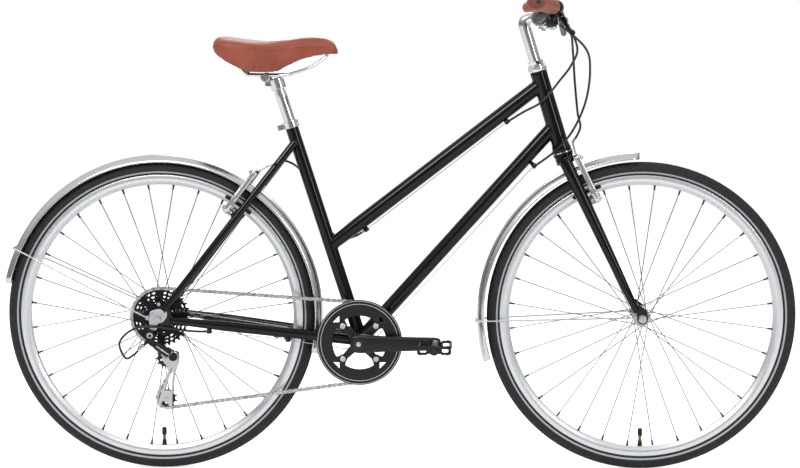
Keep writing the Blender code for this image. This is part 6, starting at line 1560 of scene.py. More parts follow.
# %% Lever blades
# Forward, outwards and up from the pivot, half width, and share of the half thickness
BLADE = [(0.0, -0.018, 0.0, 0.004, 0.7), (0.0, -0.0165, 0.0, 0.0062, 0.98),
    (0.0, -0.006, -0.0004, 0.0074, 1.0), (0.0, 0.005, -0.001, 0.0076, 1.0),
    (0.003, 0.015, -0.005, 0.0073, 1.0), (0.006, 0.025, -0.01, 0.007, 0.96),
    (0.0076, 0.042, -0.0142, 0.0066, 0.88), (0.009, 0.06, -0.018, 0.0064, 0.86),
    (0.0105, 0.078, -0.022, 0.0062, 0.86), (0.012, 0.095, -0.026, 0.006, 0.9),
    (0.0137, 0.105, -0.0288, 0.0064, 1.0), (0.015, 0.113, -0.031, 0.0067, 1.1),
    (0.016, 0.1178, -0.0326, 0.006, 1.04), (0.017, 0.121, -0.034, 0.0038, 0.74)]
for side_name, side in SIDES.items():
    pivot = lever_pivot(side)
    rings = []
    for forward, out, up, wide, share in BLADE:
        spot = pivot + Vector((forward, side * out, up))
        rings.append(oval(spot, LEVER_FLAT, LEVER_CLOSING, wide, LEVER_HALF * share, 28, 0.85))
    name = "brake_lever_" + side_name
    dress(skin(rings), name, name, "black_anodised_aluminium", [name], 45)
    edge = []
    for forward, out, up, wide, share in BLADE[4:12]:
        spot = pivot + Vector((forward, side * out, up))
        edge.append(spot + (wide - 0.0004) * LEVER_FLAT)
    trim = rod(smooth(edge, 0.006), 0.0011, 10)
    dress(trim, name + "_bright_edge", name, "cast_polished_aluminium", angle=60)
print("lever blade", triangles["brake_lever_right"], "triangles")

# %% Shifter window and thumb lever
pod_centre = bar_at(LEVER_CLAMP_Y, -1) + POD_START
window = [(0, 0.0), (0.0088, 0.0), (0.0088, 0.0014), (0.0078, 0.0022), (0.006, 0.0024), (0, 0.0024)]
gauge = lathe(window, pod_centre + Vector((0.0092, 0.0, -0.015)), Vector((0.98, 0, 0.2)), 36)
dress(gauge, "gear_window", "steering", "black_nylon", angle=40)
rim = [(0.0088, 0.0008), (0.01, 0.0008), (0.01, 0.0022), (0.0094, 0.0028), (0.0086, 0.0026)]
dress(lathe(rim, pod_centre + Vector((0.0092, 0.0, -0.015)), Vector((0.98, 0, 0.2)), 36), "gear_window_ring",
    "steering", "cast_polished_aluminium", angle=40)

SHIFT_PIVOT = bar_at(LEVER_CLAMP_Y, -1) + Vector((-0.006, 0, -0.0413))
THUMB = [(0.01, 0.009), (-0.01, 0.009), (-0.014, -0.004), (-0.012, -0.022), (0.002, -0.026), (0.01, -0.004)]
thumb = stamping([rounded(THUMB, 0.007)], 0.0036, SHIFT_PIVOT - 0.002 * UP, LEFT, FORWARD, 0.0009)
ribs = []
for index in range(5):
    rib = slab(0.0065, 0.0006, 0.0007, 0.0002)
    spot = SHIFT_PIVOT + Vector((-0.0145 - 0.0022 * index, -0.005, -0.0037))
    ribs.append(moved(rib, spot, Matrix.Rotation(math.pi / 2, 4, "Z")))
screw = screws([(SHIFT_PIVOT - 0.0038 * UP, -UP)], 0.0046, 0.0022)
dress([thumb, *ribs, screw], "thumb_lever", "shift_lever", "chrome_plate", ["shift_lever"], 35)
print("thumb lever", triangles["thumb_lever"], "triangles")

# %% [markdown]
# ## Rim brakes
# A V-brake is two levers on posts. The cable pulls their tops together, through a bent steel noodle on the
# left arm and a pinch bolt on the right, with a rubber boot over the bare wire between them. Each arm carries
# a pad that is moulded to the curve of the rim, on a stud with washers, and a coil spring at its foot.

# %% Sizes of the brakes, and their pads' curve
ARM_LENGTH = 0.105
ARM_THICKNESS = 0.012
ARM_SETOFF = 0.0215
PAD_RADIUS = RIM_RADIUS - 0.01
PAD_INNER = 0.0141
PAD_THICKNESS = 0.01
PAD_LENGTH = 0.068
PAD_HEIGHT = 0.008
PAD_POST_LIFT = 0.02
PAD_FORWARD = 0.014
SPRING_RADIUS = 0.0068
SPRING_LENGTH = 0.0085
SPRING_TURNS = 6
STEPS_A_TURN = 16
# Where each brake stands: its wheel's axle, its centre, and the ways up and out
BRAKES = {"front": (FRONT_AXLE, FRONT_BRAKE_CENTRE, BLADE_UP, FRONT_BRAKE_OUT),
    "rear": (REAR_AXLE, REAR_BRAKE_CENTRE, REAR_STAY_UP, REAR_BRAKE_OUT)}
ARM_EDGE = [(-0.0085, 0.0), (-0.006, -0.0065), (0.0, -0.009), (0.006, -0.0065), (0.0085, 0.0),
    (0.0084, 0.016), (0.0078, 0.034), (0.0048, 0.054), (0.003, 0.072), (0.0016, 0.088), (0.0015, 0.105),
    (-0.0095, 0.105), (-0.0092, 0.086), (-0.0085, 0.066), (-0.0072, 0.05), (-0.006, 0.034)]


def pad_rings(side, axle, middle, inner, outer, height, count=15):
    """A bar that follows the rim, between two distances from the wheel's middle plane."""
    toward = middle - axle
    rings = []
    for index in range(count):
        share = index / (count - 1) - 0.5
        angle = math.atan2(toward.z, toward.x) + share * PAD_LENGTH / PAD_RADIUS
        taper = 1 - 0.35 * max(0.0, abs(share) - 0.44) / 0.06
        half = height / 2 * taper
        ring = [(-half, inner), (-half, outer - 0.001), (-half + 0.001, outer)]
        ring += [(half - 0.001, outer), (half, outer - 0.001), (half, inner)]
        rings.append([polar(axle, PAD_RADIUS + lift, angle, side * y) for lift, y in ring])
    return rings

# %% [markdown]
# The four arms differ only in their side and in the way their posts face, so one loop makes them all. Each
# rides on a body of its own, because each turns on its post.

# %% The four brake arms
for brake, (axle, centre, up, out) in BRAKES.items():
    for side_name, side in SIDES.items():
        body = "brake_arm_" + brake + "_" + side_name
        across = side * LEFT
        root = centre + POST_SPACING * across + (ARM_SETOFF + ARM_THICKNESS / 2) * out
        outline = rounded(ARM_EDGE, 0.004, 3)
        arm = stamping([outline], ARM_THICKNESS, root, across, up, 0.0026)
        front = root + (ARM_THICKNESS / 2) * out
        rib = [(-0.0035, 0.006), (0.0045, 0.006), (0.004, 0.034), (0.0005, 0.062), (-0.004, 0.062),
            (-0.003, 0.034)]
        raised = stamping([rounded(rib, 0.003, 3)], 0.0012, front, across, up, 0.0005)
        parts = [arm, raised]
        if side > 0:
            hole = root + (ARM_LENGTH - 0.006) * up
            parts[0] = pierced(arm, solid_tube(hole - 0.03 * LEFT, hole + 0.03 * LEFT, 0.0034, 20))
        dress(parts, body, body, "cast_polished_aluminium", [body], 35)

        foot = centre + POST_SPACING * across + 0.0215 * out
        coil = []
        steps = SPRING_TURNS * STEPS_A_TURN
        for index in range(steps + 1):
            angle = TURN * index / STEPS_A_TURN
            spot = foot + (SPRING_LENGTH * index / steps - SPRING_LENGTH) * out
            coil.append(spot + SPRING_RADIUS * (math.cos(angle) * LEFT + math.sin(angle) * up))
        lever_end = foot - 0.0055 * across + 0.034 * up - 0.0015 * out
        coil += [foot - 0.0066 * across + 0.008 * up, lever_end]
        spring = rod(coil, 0.0006, 6)
        stud = pin(front - 0.001 * out, front + 0.0012 * out, 0.0062, 0.0004)
        bolt_heads = screws([(front + 0.001 * out, out)], 0.0046, 0.0042)
        post_foot = centre + PAD_POST_LIFT * up
        stud_start = post_foot + (PAD_INNER + PAD_THICKNESS) * across + (ARM_SETOFF + ARM_THICKNESS / 2) * out
        arm_face = POST_SPACING + 0.0082
        stud_end = Vector((stud_start.x, side * (arm_face + 0.005), stud_start.z))
        pad_stud = pin(stud_start - 0.004 * across, stud_end, 0.003, 0.0004, 20)
        washers = []
        for near, far, radius in ((0.0008, 0.0026, 0.0062), (0.0026, 0.0048, 0.0048)):
            start = stud_start + near * across
            washers.append(pin(start, start + (far - near) * across, radius, 0.0003, 28))
        face = Vector((stud_start.x, side * arm_face, stud_start.z))
        washers.append(pin(face - 0.001 * across, face + 0.0014 * across, 0.0062, 0.0003, 28))
        washers.append(nut(face + 0.0014 * across, across, 0.01, 0.0038, 0.0029))
        steel = [spring, stud, bolt_heads, pad_stud, *washers]
        dress(steel, body + "_bolts", body, "bright_zinc_plate", angle=35)

        middle = post_foot + PAD_FORWARD * out
        block_of_rubber = skin(pad_rings(side, axle, middle, PAD_INNER, PAD_INNER + 0.0076, PAD_HEIGHT))
        backing = skin(pad_rings(side, axle, middle, PAD_INNER + 0.007, PAD_INNER + PAD_THICKNESS,
            PAD_HEIGHT * 0.84))
        slots_cut = []
        toward = math.atan2((middle - axle).z, (middle - axle).x)
        for share in (-0.3, -0.1, 0.1, 0.3):
            angle = toward + share * PAD_LENGTH / PAD_RADIUS
            spot = polar(axle, PAD_RADIUS, angle, side * (PAD_INNER + 0.0004))
            cutter = slab(0.0008, 0.0016, 0.006, 0)
            radial = (polar(axle, 1, angle) - axle).normalized()
            slots_cut.append(turned_to(cutter, spot, radial, radial.cross(LEFT)))
        pad = [pierced(block_of_rubber, *slots_cut), backing]
        dress(pad, body + "_pad", body, "brake_pad_rubber", angle=35)
print("brake arm", triangles["brake_arm_front_left"] + triangles["brake_arm_front_left_bolts"], "triangles")

# %% [markdown]
# ## Cables
# A brake cable is steel wire in a black vinyl-covered housing. The housing ends in a ferrule at each stop, and
# along the top tube the wire runs bare. The routes are those of the solids, smoothed to finer points. The front
# stretch of a cable that passes from the handlebar to the frame is left on no body.

# %% Cable routes
HOUSING = 0.0025
NOODLE = 0.0019
INNER_WIRE = 0.0009
ARM_TOP = ARM_LENGTH - 0.006
ARM_MIDDLE = ARM_SETOFF + ARM_THICKNESS / 2
RIGHT_ARM_FACE = -(POST_SPACING - 0.0015) + 0.0085


def by_head(forward, up, left=0.0):
    return on_steerer(HEAD_TOP) + Vector((forward, left, up))


def from_place(place, *offsets):
    return [place + Vector(offset) for offset in offsets]


def heads_way(*places):
    return [by_head(*place) for place in places]


def housing(points):
    return rod(smooth(points, 0.004), HOUSING, 14)


def ferrule(at, way, long=0.01):
    """The metal cap on the end of a housing, with its open end at the given point."""
    profile = [(0, 0.0), (0.0022, 0.0), (0.0031, 0.0008), (0.0031, long - 0.002), (0.0027, long), (0, long)]
    return lathe(profile, at, -way.normalized(), 20)


def arm_top_of(brake):
    _, centre, up, out = BRAKES[brake]
    return centre + ARM_TOP * up + ARM_MIDDLE * out

# %% Front brake cable
front_top = arm_top_of("front")
rear_top = arm_top_of("rear")

front_noodle = from_place(front_top, (-0.008, 0.0505, 0.03), (-0.003, 0.0515, 0.012), (0, 0.048, 0.002),
    (0, 0.042, 0), (0, 0.033, 0), (0, 0.021, 0))
front_route = [*from_place(housing_seat(1), (0, 0, 0), (0.006, -0.018, 0)),
    *heads_way((0.0732, 0.0899, 0.07), (0.0787, 0.0455, 0.052), (0.0828, -0.0211, 0.044),
    (0.0898, -0.0934, 0.046), (0.0959, -0.1268, 0.048)), front_noodle[0]]
dress(housing(front_route), "front_brake_housing", "steering", "cable_sleeve_vinyl", ["front_brake_cable"],
    60)
dress(ferrule(front_route[-1], front_route[-1] - front_route[-2], 0.012), "front_noodle_ferrule", "steering",
    "bright_zinc_plate", angle=40)


def noodle_set(name, way, top, brake):
    """The bent steel tube, the bare wire to the pinch bolt, and the boot over the wire.

    The tube is left on no body, and the wire and the boot ride on the left arm.
    """
    left_arm = "brake_arm_" + brake + "_left"
    tube = rod(smooth(way, 0.003), NOODLE, 16)
    head = way[-1]
    tip = lathe([(0, 0), (0.001, 0), (0.003, 0.004), (0.003, 0.006), (0, 0.006)], head, LEFT, 20)
    noodle = dress([tube, tip], name + "_noodle", "", "bright_zinc_plate", angle=50, ride=False)
    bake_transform(noodle)
    wire = rod([head, top + RIGHT_ARM_FACE * LEFT - 0.01 * LEFT], INNER_WIRE, 8)
    dress(wire, name + "_pinch_wire", left_arm, "bright_zinc_plate", angle=50)
    bellows = [(0.001, 0.0)]
    start, end = 0.001, head.y + 0.002 - (top.y + RIGHT_ARM_FACE + 0.006)
    for index in range(13):
        along = start + (end - start) * index / 12
        bellows.append(((0.005 - 0.0016 * index / 12) if index % 2 else (0.0036 - 0.001 * index / 12), along))
    bellows.append((0.001, end))
    boot = lathe(bellows, Vector((head.x, head.y + 0.002, head.z)), -LEFT, 24)
    dress(boot, name + "_boot", left_arm, "brake_pad_rubber", angle=60)
    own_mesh(boot)


noodle_set("front_brake", front_noodle, front_top, "front")
for brake in BRAKES:
    _, centre, up, out = BRAKES[brake]
    body = "brake_arm_" + brake + "_right"
    spot = arm_top_of(brake) - (POST_SPACING - 0.0045) * LEFT + 0.0062 * out
    washer = pin(spot, spot + 0.0014 * out, 0.0058, 0.0003)
    clamp = screws([(spot + 0.0014 * out, out)], 0.0044, 0.0044)
    dress([washer, clamp], body + "_pinch_bolt", body, "bright_zinc_plate", angle=30)

# %% Rear brake cable
TOP_STOP = by_head(-0.072, -0.1141, -0.004)
rear_front_route = [*from_place(housing_seat(-1), (0, 0, 0), (0.008, 0.02, 0)),
    *heads_way((0.083, 0.0549, -0.072), (0.0725, 0.0159, -0.04), (0.0465, -0.0201, -0.03),
    (0.0075, -0.0661, -0.028), (-0.0325, -0.0891, -0.02)), TOP_STOP]
BARE_START = by_head(-0.0845, -0.1236, -0.002)
BARE_END = from_bracket(0.022, 0.254, -0.001)
REAR_BENDS = [(0.012, 0.2463, 0.0), (-0.008, 0.2335, 0.01), (-0.03, 0.226, 0.0215), (-0.06, 0.233, 0.0225),
    (-0.088, 0.27, 0.0205), (-0.108, 0.322, 0.02), (-0.124, 0.362, 0.019), (-0.14, 0.383, 0.029),
    (-0.16, 0.395, 0.04), (-0.182, 0.3995, 0.047)]
rear_noodle = from_place(rear_top, (0.042, 0.0505, 0.018), (0.028, 0.0525, 0.0145), (0.013, 0.0535, 0.008),
    (0.003, 0.0515, 0.0015), (0, 0.044, 0), (0, 0.033, 0), (0, 0.021, 0))
rear_route = [*[from_bracket(*place) for place in REAR_BENDS], rear_noodle[0]]
front_part = dress(housing(rear_front_route), "rear_brake_housing_front", "", "cable_sleeve_vinyl",
    ["rear_brake_cable"], 60, ride=False)
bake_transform(front_part)
dress(housing(rear_route), "rear_brake_housing_rear", "frame", "cable_sleeve_vinyl", angle=60)
bare = rod([TOP_STOP, BARE_START, BARE_END, rear_route[0]], INNER_WIRE, 8)
dress(bare, "rear_brake_bare_wire", "frame", "bright_zinc_plate", angle=60)
caps = [ferrule(TOP_STOP, BARE_START - TOP_STOP), ferrule(rear_route[0], BARE_END - rear_route[0]),
    ferrule(rear_route[-1], rear_route[-1] - rear_route[-2], 0.012)]
dress(caps, "rear_brake_ferrules", "frame", "bright_zinc_plate", angle=40)
noodle_set("rear_brake", rear_noodle, rear_top, "rear")


def cable_stop(at, way, tube_side):
    """A split boss brazed under the tube, in which the ferrule sits."""
    ring = lathe(mirrored([(0.0029, -0.0055), (0.0046, -0.0055), (0.005, -0.0045)]), at, way, 24)
    foot = block((-0.0022, -0.0042, 0.0), (0.0022, 0.0042, 0.0105), 0.0004)
    return together(ring, turned_to(foot, at + 0.0034 * tube_side, tube_side, way.cross(tube_side)))


tube_way = (TOP_TUBE_START - TOP_TUBE_END).normalized()
top_normal = LEFT.cross(tube_way).normalized()
if top_normal.z < 0:
    top_normal = -top_normal
stops = [cable_stop(TOP_STOP + 0.004 * tube_way, tube_way, top_normal),
    cable_stop(rear_route[0] + 0.002 * tube_way, tube_way, top_normal)]
dress(stops, "top_tube_cable_stops", "frame", "stoved_black_enamel", angle=35)

# %% Shift cable
chain_side_stay = [chainstay_centre(back, -1) for back in (0.335, 0.16)]
STAY_UNDER = 0.0118 + 0.004
SHIFT_STOP = chain_side_stay[0] - STAY_UNDER * UP
STAY_GUIDE = chain_side_stay[1] - STAY_UNDER * UP
HANGER_BOLT = REAR_AXLE + Vector((-0.0147, 0, -0.0339))
KNUCKLE_INNER = 0.0728
tail = HANGER_BOLT + Vector((-0.012, -(KNUCKLE_INNER + 0.007), -0.022))
pod = bar_at(LEVER_CLAMP_Y, -1) + Vector((-0.003, 0.022, -0.03))
DOWN_STOP = by_head(-0.0105, -0.2121, -0.01)
shift_front = [*from_place(pod, (0, 0, 0), (0.012, 0.018, -0.005)),
    *heads_way((0.1, 0.0529, -0.081), (0.112, 0.0049, -0.062), (0.1035, -0.0651, -0.046),
    (0.0755, -0.1301, -0.036), (0.0375, -0.1751, -0.028)), DOWN_STOP]
under_shell = [polar(BRACKET, SHELL_RADIUS + 0.0024, math.radians(angle), -0.01)
    for angle in (-45, -60, -75, -90, -105)]
shift_bare = [DOWN_STOP, by_head(-0.0225, -0.2236, -0.006), *under_shell,
    from_bracket(-0.045, -0.0165, -0.0265), STAY_GUIDE, SHIFT_STOP + 0.01 * FORWARD, SHIFT_STOP]
shift_rear = [*from_place(SHIFT_STOP, (0, 0, 0), (-0.04, -0.006, 0.002)),
    *from_place(REAR_AXLE, (-0.01, -0.08, -0.015), (-0.055, -0.076, -0.022), (-0.085, -0.0725, -0.052),
    (-0.072, -0.074, -0.086)), *from_place(tail, (-0.026, 0.003, -0.022), (-0.0095, 0, -0.0055))]
front_part = dress(housing(shift_front), "shift_housing_front", "", "cable_sleeve_vinyl", ["shift_cable"], 60,
    ride=False)
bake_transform(front_part)
dress(housing(shift_rear), "shift_housing_rear", "frame", "cable_sleeve_vinyl", angle=60)
dress(rod(shift_bare, INNER_WIRE, 8), "shift_bare_wire", "frame", "bright_zinc_plate", angle=60)
caps = [ferrule(DOWN_STOP, shift_bare[1] - DOWN_STOP), ferrule(SHIFT_STOP, FORWARD),
    ferrule(shift_rear[-1], shift_rear[-1] - shift_rear[-2])]
dress(caps, "shift_cable_ferrules", "frame", "bright_zinc_plate", angle=40)
down_way = (DOWN_TUBE_START - BRACKET).normalized()
down_normal = LEFT.cross(down_way).normalized()
if down_normal.z < 0:
    down_normal = -down_normal
guide_plate = block((-0.009, -0.011, -0.0028), (0.009, 0.011, 0.0), 0.0006)
moved(guide_plate, BRACKET - (SHELL_RADIUS + 0.0002) * UP)
stay_parts = [cable_stop(DOWN_STOP + 0.004 * down_way, down_way, down_normal),
    cable_stop(SHIFT_STOP + 0.002 * FORWARD, FORWARD, UP), cable_stop(STAY_GUIDE, FORWARD, UP)]
dress(stay_parts, "shift_cable_stops", "frame", "stoved_black_enamel", angle=35)
dress(guide_plate, "bracket_cable_guide", "frame", "black_nylon", angle=35)
print("cables", triangles["shift_housing_front"] + triangles["rear_brake_housing_rear"], "triangles")

# %% [markdown]
# ## Cassette
# Eight cogs with 32 to 11 teeth, on a splined body. A cog is stamped plate: its teeth are an outline worked out
# from the chain's 12.7 mm pitch, with round seats for the rollers. The big cogs have slots cut out to save
# weight, which is why light shows through them. The lockring holds the stack.

# %% Toothed outlines and cogs
CHAIN_PITCH = 0.0127
ROLLER_RADIUS = 0.0039
COG_LINE = 0.03
COG_SPACING = 0.0048
COG_TEETH = (32, 28, 24, 21, 18, 15, 13, 11)


def pitch_radius(teeth):
    return teeth * CHAIN_PITCH / TURN


def toothed(teeth, first=0.0, height=0.0032):
    """A sprocket's outline: a round seat for each roller and a narrow tip between."""
    radius = pitch_radius(teeth)
    outline = []
    for tooth in range(teeth):
        middle = first + TURN * tooth / teeth
        seat = Vector(on_circle(radius, middle))
        outward = seat.normalized()
        sideways = Vector((-outward.y, outward.x))
        for step in range(5):
            angle = math.radians(-62 + 31 * step)
            spot = seat + ROLLER_RADIUS * (sideways * math.sin(angle) - outward * math.cos(angle))
            outline.append((spot.x, spot.y))
        gap = math.pi / teeth
        for lean, reach in ((0.72, 0.55), (0.88, 0.96), (1.12, 0.96), (1.28, 0.55)):
            angle = middle + gap * lean
            tip = radius + height * reach
            outline.append(on_circle(tip, angle))
    return outline


def ring_sector(low, high, first, last, steps=6):
    """The outline of a slot that follows a circle."""
    outline = []
    for radius, order in ((high, range(steps + 1)), (low, range(steps, -1, -1))):
        for index in order:
            angle = first + (last - first) * index / steps
            outline.append(on_circle(radius, angle))
    return outline


cogs = []
for index, teeth in enumerate(COG_TEETH):
    radius = pitch_radius(teeth)
    holes = [circle(0.0165 if teeth > 13 else 0.0125, 40)]
    if teeth > 20:
        count = 8 if teeth > 26 else 6
        for slot_index in range(count):
            first = TURN * slot_index / count
            sector = ring_sector(0.0245, radius - 0.008, first + 0.14, first + TURN / count - 0.14)
            holes.append(rounded(sector, 0.0025, 2))
    centre = REAR_AXLE - (COG_LINE + COG_SPACING * index) * LEFT
    cogs.append(stamping([toothed(teeth, 0.03 * index, 0.003), *holes], 0.0018, centre, edge=0.00025))
dress(cogs, "cassette", "cassette", "phosphated_cog_steel", ["cassette"], 35)

end_face = COG_LINE + COG_SPACING * 7 + 0.0009
spacer = [(0.005, COG_LINE - 0.0023), (0.0166, COG_LINE - 0.0023), (0.0172, COG_LINE + 0.002)]
spacer += [(0.0172, COG_LINE + COG_SPACING * 4), (0.0138, COG_LINE + COG_SPACING * 4), (0.0138, end_face)]
spacer += [(0.005, end_face)]
barrel = lathe(spacer, REAR_AXLE, -LEFT, 48)
carriers = []
for index in range(6):
    arm = block((0.016, -0.0022, 0.0), (0.04 - 0.0022 * index, 0.0022, 0.002), 0.0003)
    moved(arm, Vector(), Matrix.Rotation(math.radians(60 * index + 12), 4, "Z"))
    carriers.append(turned_to(arm, REAR_AXLE - (COG_LINE + 0.0012) * LEFT, -LEFT))
dress([barrel, *carriers], "freehub_body", "cassette", "phosphated_cog_steel", angle=35)
lock = [(0.0056, 0.0002), (0.015, 0.0002), (0.0156, 0.0008), (0.015, 0.002), (0.0116, 0.0026),
    (0.0112, -0.001), (0.0056, -0.001)]
notches = ring_of(block((-0.0006, -0.0007, -0.003), (0.0006, 0.0007, 0.001), 0.0001), 12, 0.0113,
    REAR_AXLE - (end_face + 0.0008) * LEFT, -LEFT)
dress([lathe(lock, REAR_AXLE - end_face * LEFT, -LEFT, 48), notches], "cassette_lockring", "cassette",
    "bright_zinc_plate", angle=30)
print("cassette", triangles["cassette"], "triangles")

# %% [markdown]
# ## Cranks, chainring and guard
# A 44-tooth steel ring and an aluminium guard disc are bolted to the four arms of the crank's spider, so the
# openings between the arms look like hearts. The crank is forged: its section is a rounded bar, wide at the
# spindle and narrow at the pedal. A cap covers the crank bolt.

# %% Chainring and guard
RING_TEETH = 44
CHAINLINE = 0.0455
BOLT_CIRCLE = 0.052
GUARD_RADIUS = 0.0955
GUARD_FACE = CHAINLINE + 0.0055
TAB_ANGLES = [math.radians(45 + 90 * index) for index in range(4)]


def inner_edge(outer, tab_reach, tab_half):
    """A ring's inner outline with four tabs that reach inwards to the bolts."""
    outline = []
    for angle in TAB_ANGLES:
        spread = math.asin(tab_half / outer) + 0.1
        inward = Vector(on_circle(1, angle))
        sideways = Vector((-inward.y, inward.x))
        for share in (-1.0, -0.9):
            turned = angle + spread * share
            outline.append(on_circle(outer, turned))
        low, high = -math.pi / 2, math.pi / 2
        for step in range(9):
            swing = low + (high - low) * step / 8
            spot = inward * (tab_reach
                + tab_half * (1 - math.cos(swing))) + sideways * tab_half * math.sin(swing)
            outline.append((spot.x, spot.y))
        for share in (0.9, 1.0):
            turned = angle + spread * share
            outline.append(on_circle(outer, turned))
        for step in range(1, 12):
            turned = angle + spread + (math.pi / 2 - 2 * spread) * step / 12
            outline.append(on_circle(outer, turned))
    return outline


def window_over(angle):
    """A three-cornered window outwards of a bolt."""
    corners = [(0.063, angle), (0.0745, angle + 0.15), (0.0745, angle - 0.15)]
    return rounded([on_circle(reach, turn) for reach, turn in corners], 0.0022, 3)


windows = [window_over(a) for a in TAB_ANGLES]
ring_centre = BRACKET - CHAINLINE * LEFT
bolt_holes = [circle(0.0042, 18, on_circle(BOLT_CIRCLE, a)) for a in TAB_ANGLES]
ring = stamping([toothed(RING_TEETH), inner_edge(0.064, BOLT_CIRCLE - 0.0095, 0.0095), *bolt_holes, *windows],
    0.002, ring_centre, edge=0.0003)
dress(ring, "chainring", "crank", "phosphated_cog_steel", ["chainring"], 35)

# %% Chain guard
guard_centre = BRACKET - (GUARD_FACE + 0.00125) * LEFT
guard_disc = stamping([circle(GUARD_RADIUS, HOOP_STEPS), inner_edge(0.06, BOLT_CIRCLE - 0.0095, 0.0095),
    *bolt_holes, *windows], 0.0025, guard_centre, edge=0.0005)
raised = [(GUARD_RADIUS - 0.0045, 0.0), (GUARD_RADIUS - 0.0008, 0.0), (GUARD_RADIUS - 0.001, 0.0009),
    (GUARD_RADIUS - 0.0042, 0.0009)]
lip = lathe(raised, BRACKET - (GUARD_FACE + 0.0024) * LEFT, -LEFT, HOOP_STEPS)
dress([guard_disc, lip], "chain_guard", "crank", "black_anodised_aluminium", angle=35)
line_low = GUARD_RADIUS - 0.0101
turned_line = [(line_low, -0.0003), (line_low + 0.0011, -0.0003), (line_low + 0.0011, 0.00012),
    (line_low, 0.00012)]
lip_low = GUARD_RADIUS - 0.0033
lip_line = [(lip_low, 0.0006), (lip_low + 0.001, 0.0006), (lip_low + 0.001, 0.0009), (lip_low, 0.0009)]
lines = [lathe(line, BRACKET - (GUARD_FACE + 0.0025) * LEFT, -LEFT, HOOP_STEPS)
    for line in (turned_line, lip_line)]
dress(lines, "chain_guard_turned_line", "crank", "satin_anodised_aluminium", angle=35)
bolt_places = [(polar(BRACKET, BOLT_CIRCLE, a, -(GUARD_FACE + 0.0022)), -LEFT) for a in TAB_ANGLES]
sleeves = [pin(polar(BRACKET, BOLT_CIRCLE, a, -(CHAINLINE - 0.0016)),
    polar(BRACKET, BOLT_CIRCLE, a, -GUARD_FACE), 0.004) for a in TAB_ANGLES]
dress([screws(bolt_places, 0.0062, 0.0024), *sleeves], "chainring_bolts", "crank", "satin_derailleur_alloy",
    angle=30)
print("chainring", triangles["chainring"], "triangles")

# %% Crank arms
CRANK_LENGTH = 0.1695
CRANK_THICKNESS = 0.014
CRANK_OUTER = 0.08
SPINDLE_RADIUS = 0.0085
PEDAL_AXLE = 0.0055
PEDAL_WIDTH = 0.088
# Share of the length, half height, inner face and thickness
CRANK_SHAPE = [(-0.112, 0.008, 0.001, 0.011), (-0.1, 0.014, -0.002, 0.015), (-0.065, 0.0192, -0.004, 0.018),
    (0.0, 0.0212, -0.006, 0.02), (0.08, 0.0208, -0.006, 0.02), (0.16, 0.0194, -0.003, 0.017),
    (0.3, 0.0178, 0.0, 0.014), (0.5, 0.0166, 0.0, 0.014), (0.75, 0.0154, 0.0, 0.014),
    (0.92, 0.015, 0.0, 0.014), (1.0, 0.0146, 0.0, 0.014), (1.045, 0.0128, 0.0, 0.014),
    (1.07, 0.0092, 0.0006, 0.0128)]


def crank_arm(way, side):
    face = CRANK_OUTER - CRANK_THICKNESS
    rings = []
    for share, half, inner, thick in CRANK_SHAPE:
        middle = face + inner + thick / 2
        spot = BRACKET + way * CRANK_LENGTH * share + side * middle * LEFT
        rings.append(oval(spot, side * LEFT, UP, thick / 2, half, 32, 0.62))
    return skin(rings)


spider = [crank_arm(FORWARD, -1)]
spider_middle = CHAINLINE + 0.0015 + 0.003
# Distance from the middle in metres, half width and half thickness
SPIDER_ARM = [(0.008, 0.011, 0.004), (0.022, 0.0088, 0.0034), (0.038, 0.0074, 0.0028), (0.047, 0.007, 0.0026),
    (0.0515, 0.0048, 0.0022)]
for angle in TAB_ANGLES:
    out = polar(Vector(), 1, angle)
    start = BRACKET - spider_middle * LEFT
    spider.append(drawn(start, start + out, out.cross(LEFT), LEFT, SPIDER_ARM, 20, 0.7))
boss_profile = [(0.0092, 0.0385), (0.016, 0.0385), (0.0165, 0.0392), (0.0165, 0.069), (0.0092, 0.069)]
spider.append(lathe(boss_profile, BRACKET, -LEFT, 48))
dress(spider, "crank_right", "crank", "black_anodised_aluminium", ["crank_right"], 40)
left_parts = [crank_arm(-FORWARD, 1), lathe(boss_profile, BRACKET, LEFT, 48)]
dress(left_parts, "crank_left", "crank", "black_anodised_aluminium", ["crank_left"], 40)
steel = [pin(BRACKET - 0.0655 * LEFT, BRACKET + 0.0655 * LEFT, SPINDLE_RADIUS)]
caps = []
for way, side in ((FORWARD, -1), (-FORWARD, 1)):
    foot = BRACKET + way * CRANK_LENGTH
    start = foot + side * (CRANK_OUTER - 0.005) * LEFT
    steel.append(pin(start, foot + side * (CRANK_OUTER + PEDAL_WIDTH - 0.015) * LEFT, PEDAL_AXLE))
    steel.append(nut(foot + side * (CRANK_OUTER + 0.0001) * LEFT, side * LEFT, 0.015, 0.0026, 0.005))
    cap_foot = BRACKET + side * (CRANK_OUTER - 0.0002) * LEFT
    caps.append(lathe([(0, 0.0016), (0.004, 0.0016), (0.0046, 0.001), (0.009, 0.001), (0.0098, 0.0),
        (0, 0.0)], cap_foot, side * LEFT, 36))
    caps.append(lathe([(0.0092, -0.0012), (0.0112, -0.0012), (0.0112, 0.0004), (0.0104, 0.001),
        (0.0092, 0.0008)], cap_foot, side * LEFT, 36))
crank_bolts = [(BRACKET + side * (CRANK_OUTER + 0.0012) * LEFT, side * LEFT) for side in (-1, 1)]
dress(screws(crank_bolts, 0.0052, 0.0018), "crank_bolts", "crank", "satin_derailleur_alloy", angle=35)
dress(steel, "spindle_and_pedal_axles", "crank", "bright_zinc_plate", angle=35)
dress(caps, "crank_bolt_caps", "crank", "black_nylon", angle=35)
print("crank", triangles["crank_right"], "triangles")

# %% [markdown]
# ## Pedals
# Each pedal is a barrel on bearings between two pressed cage plates. The plates' edges are cut to teeth that
# grip the sole, and dark insets fill the front and rear.

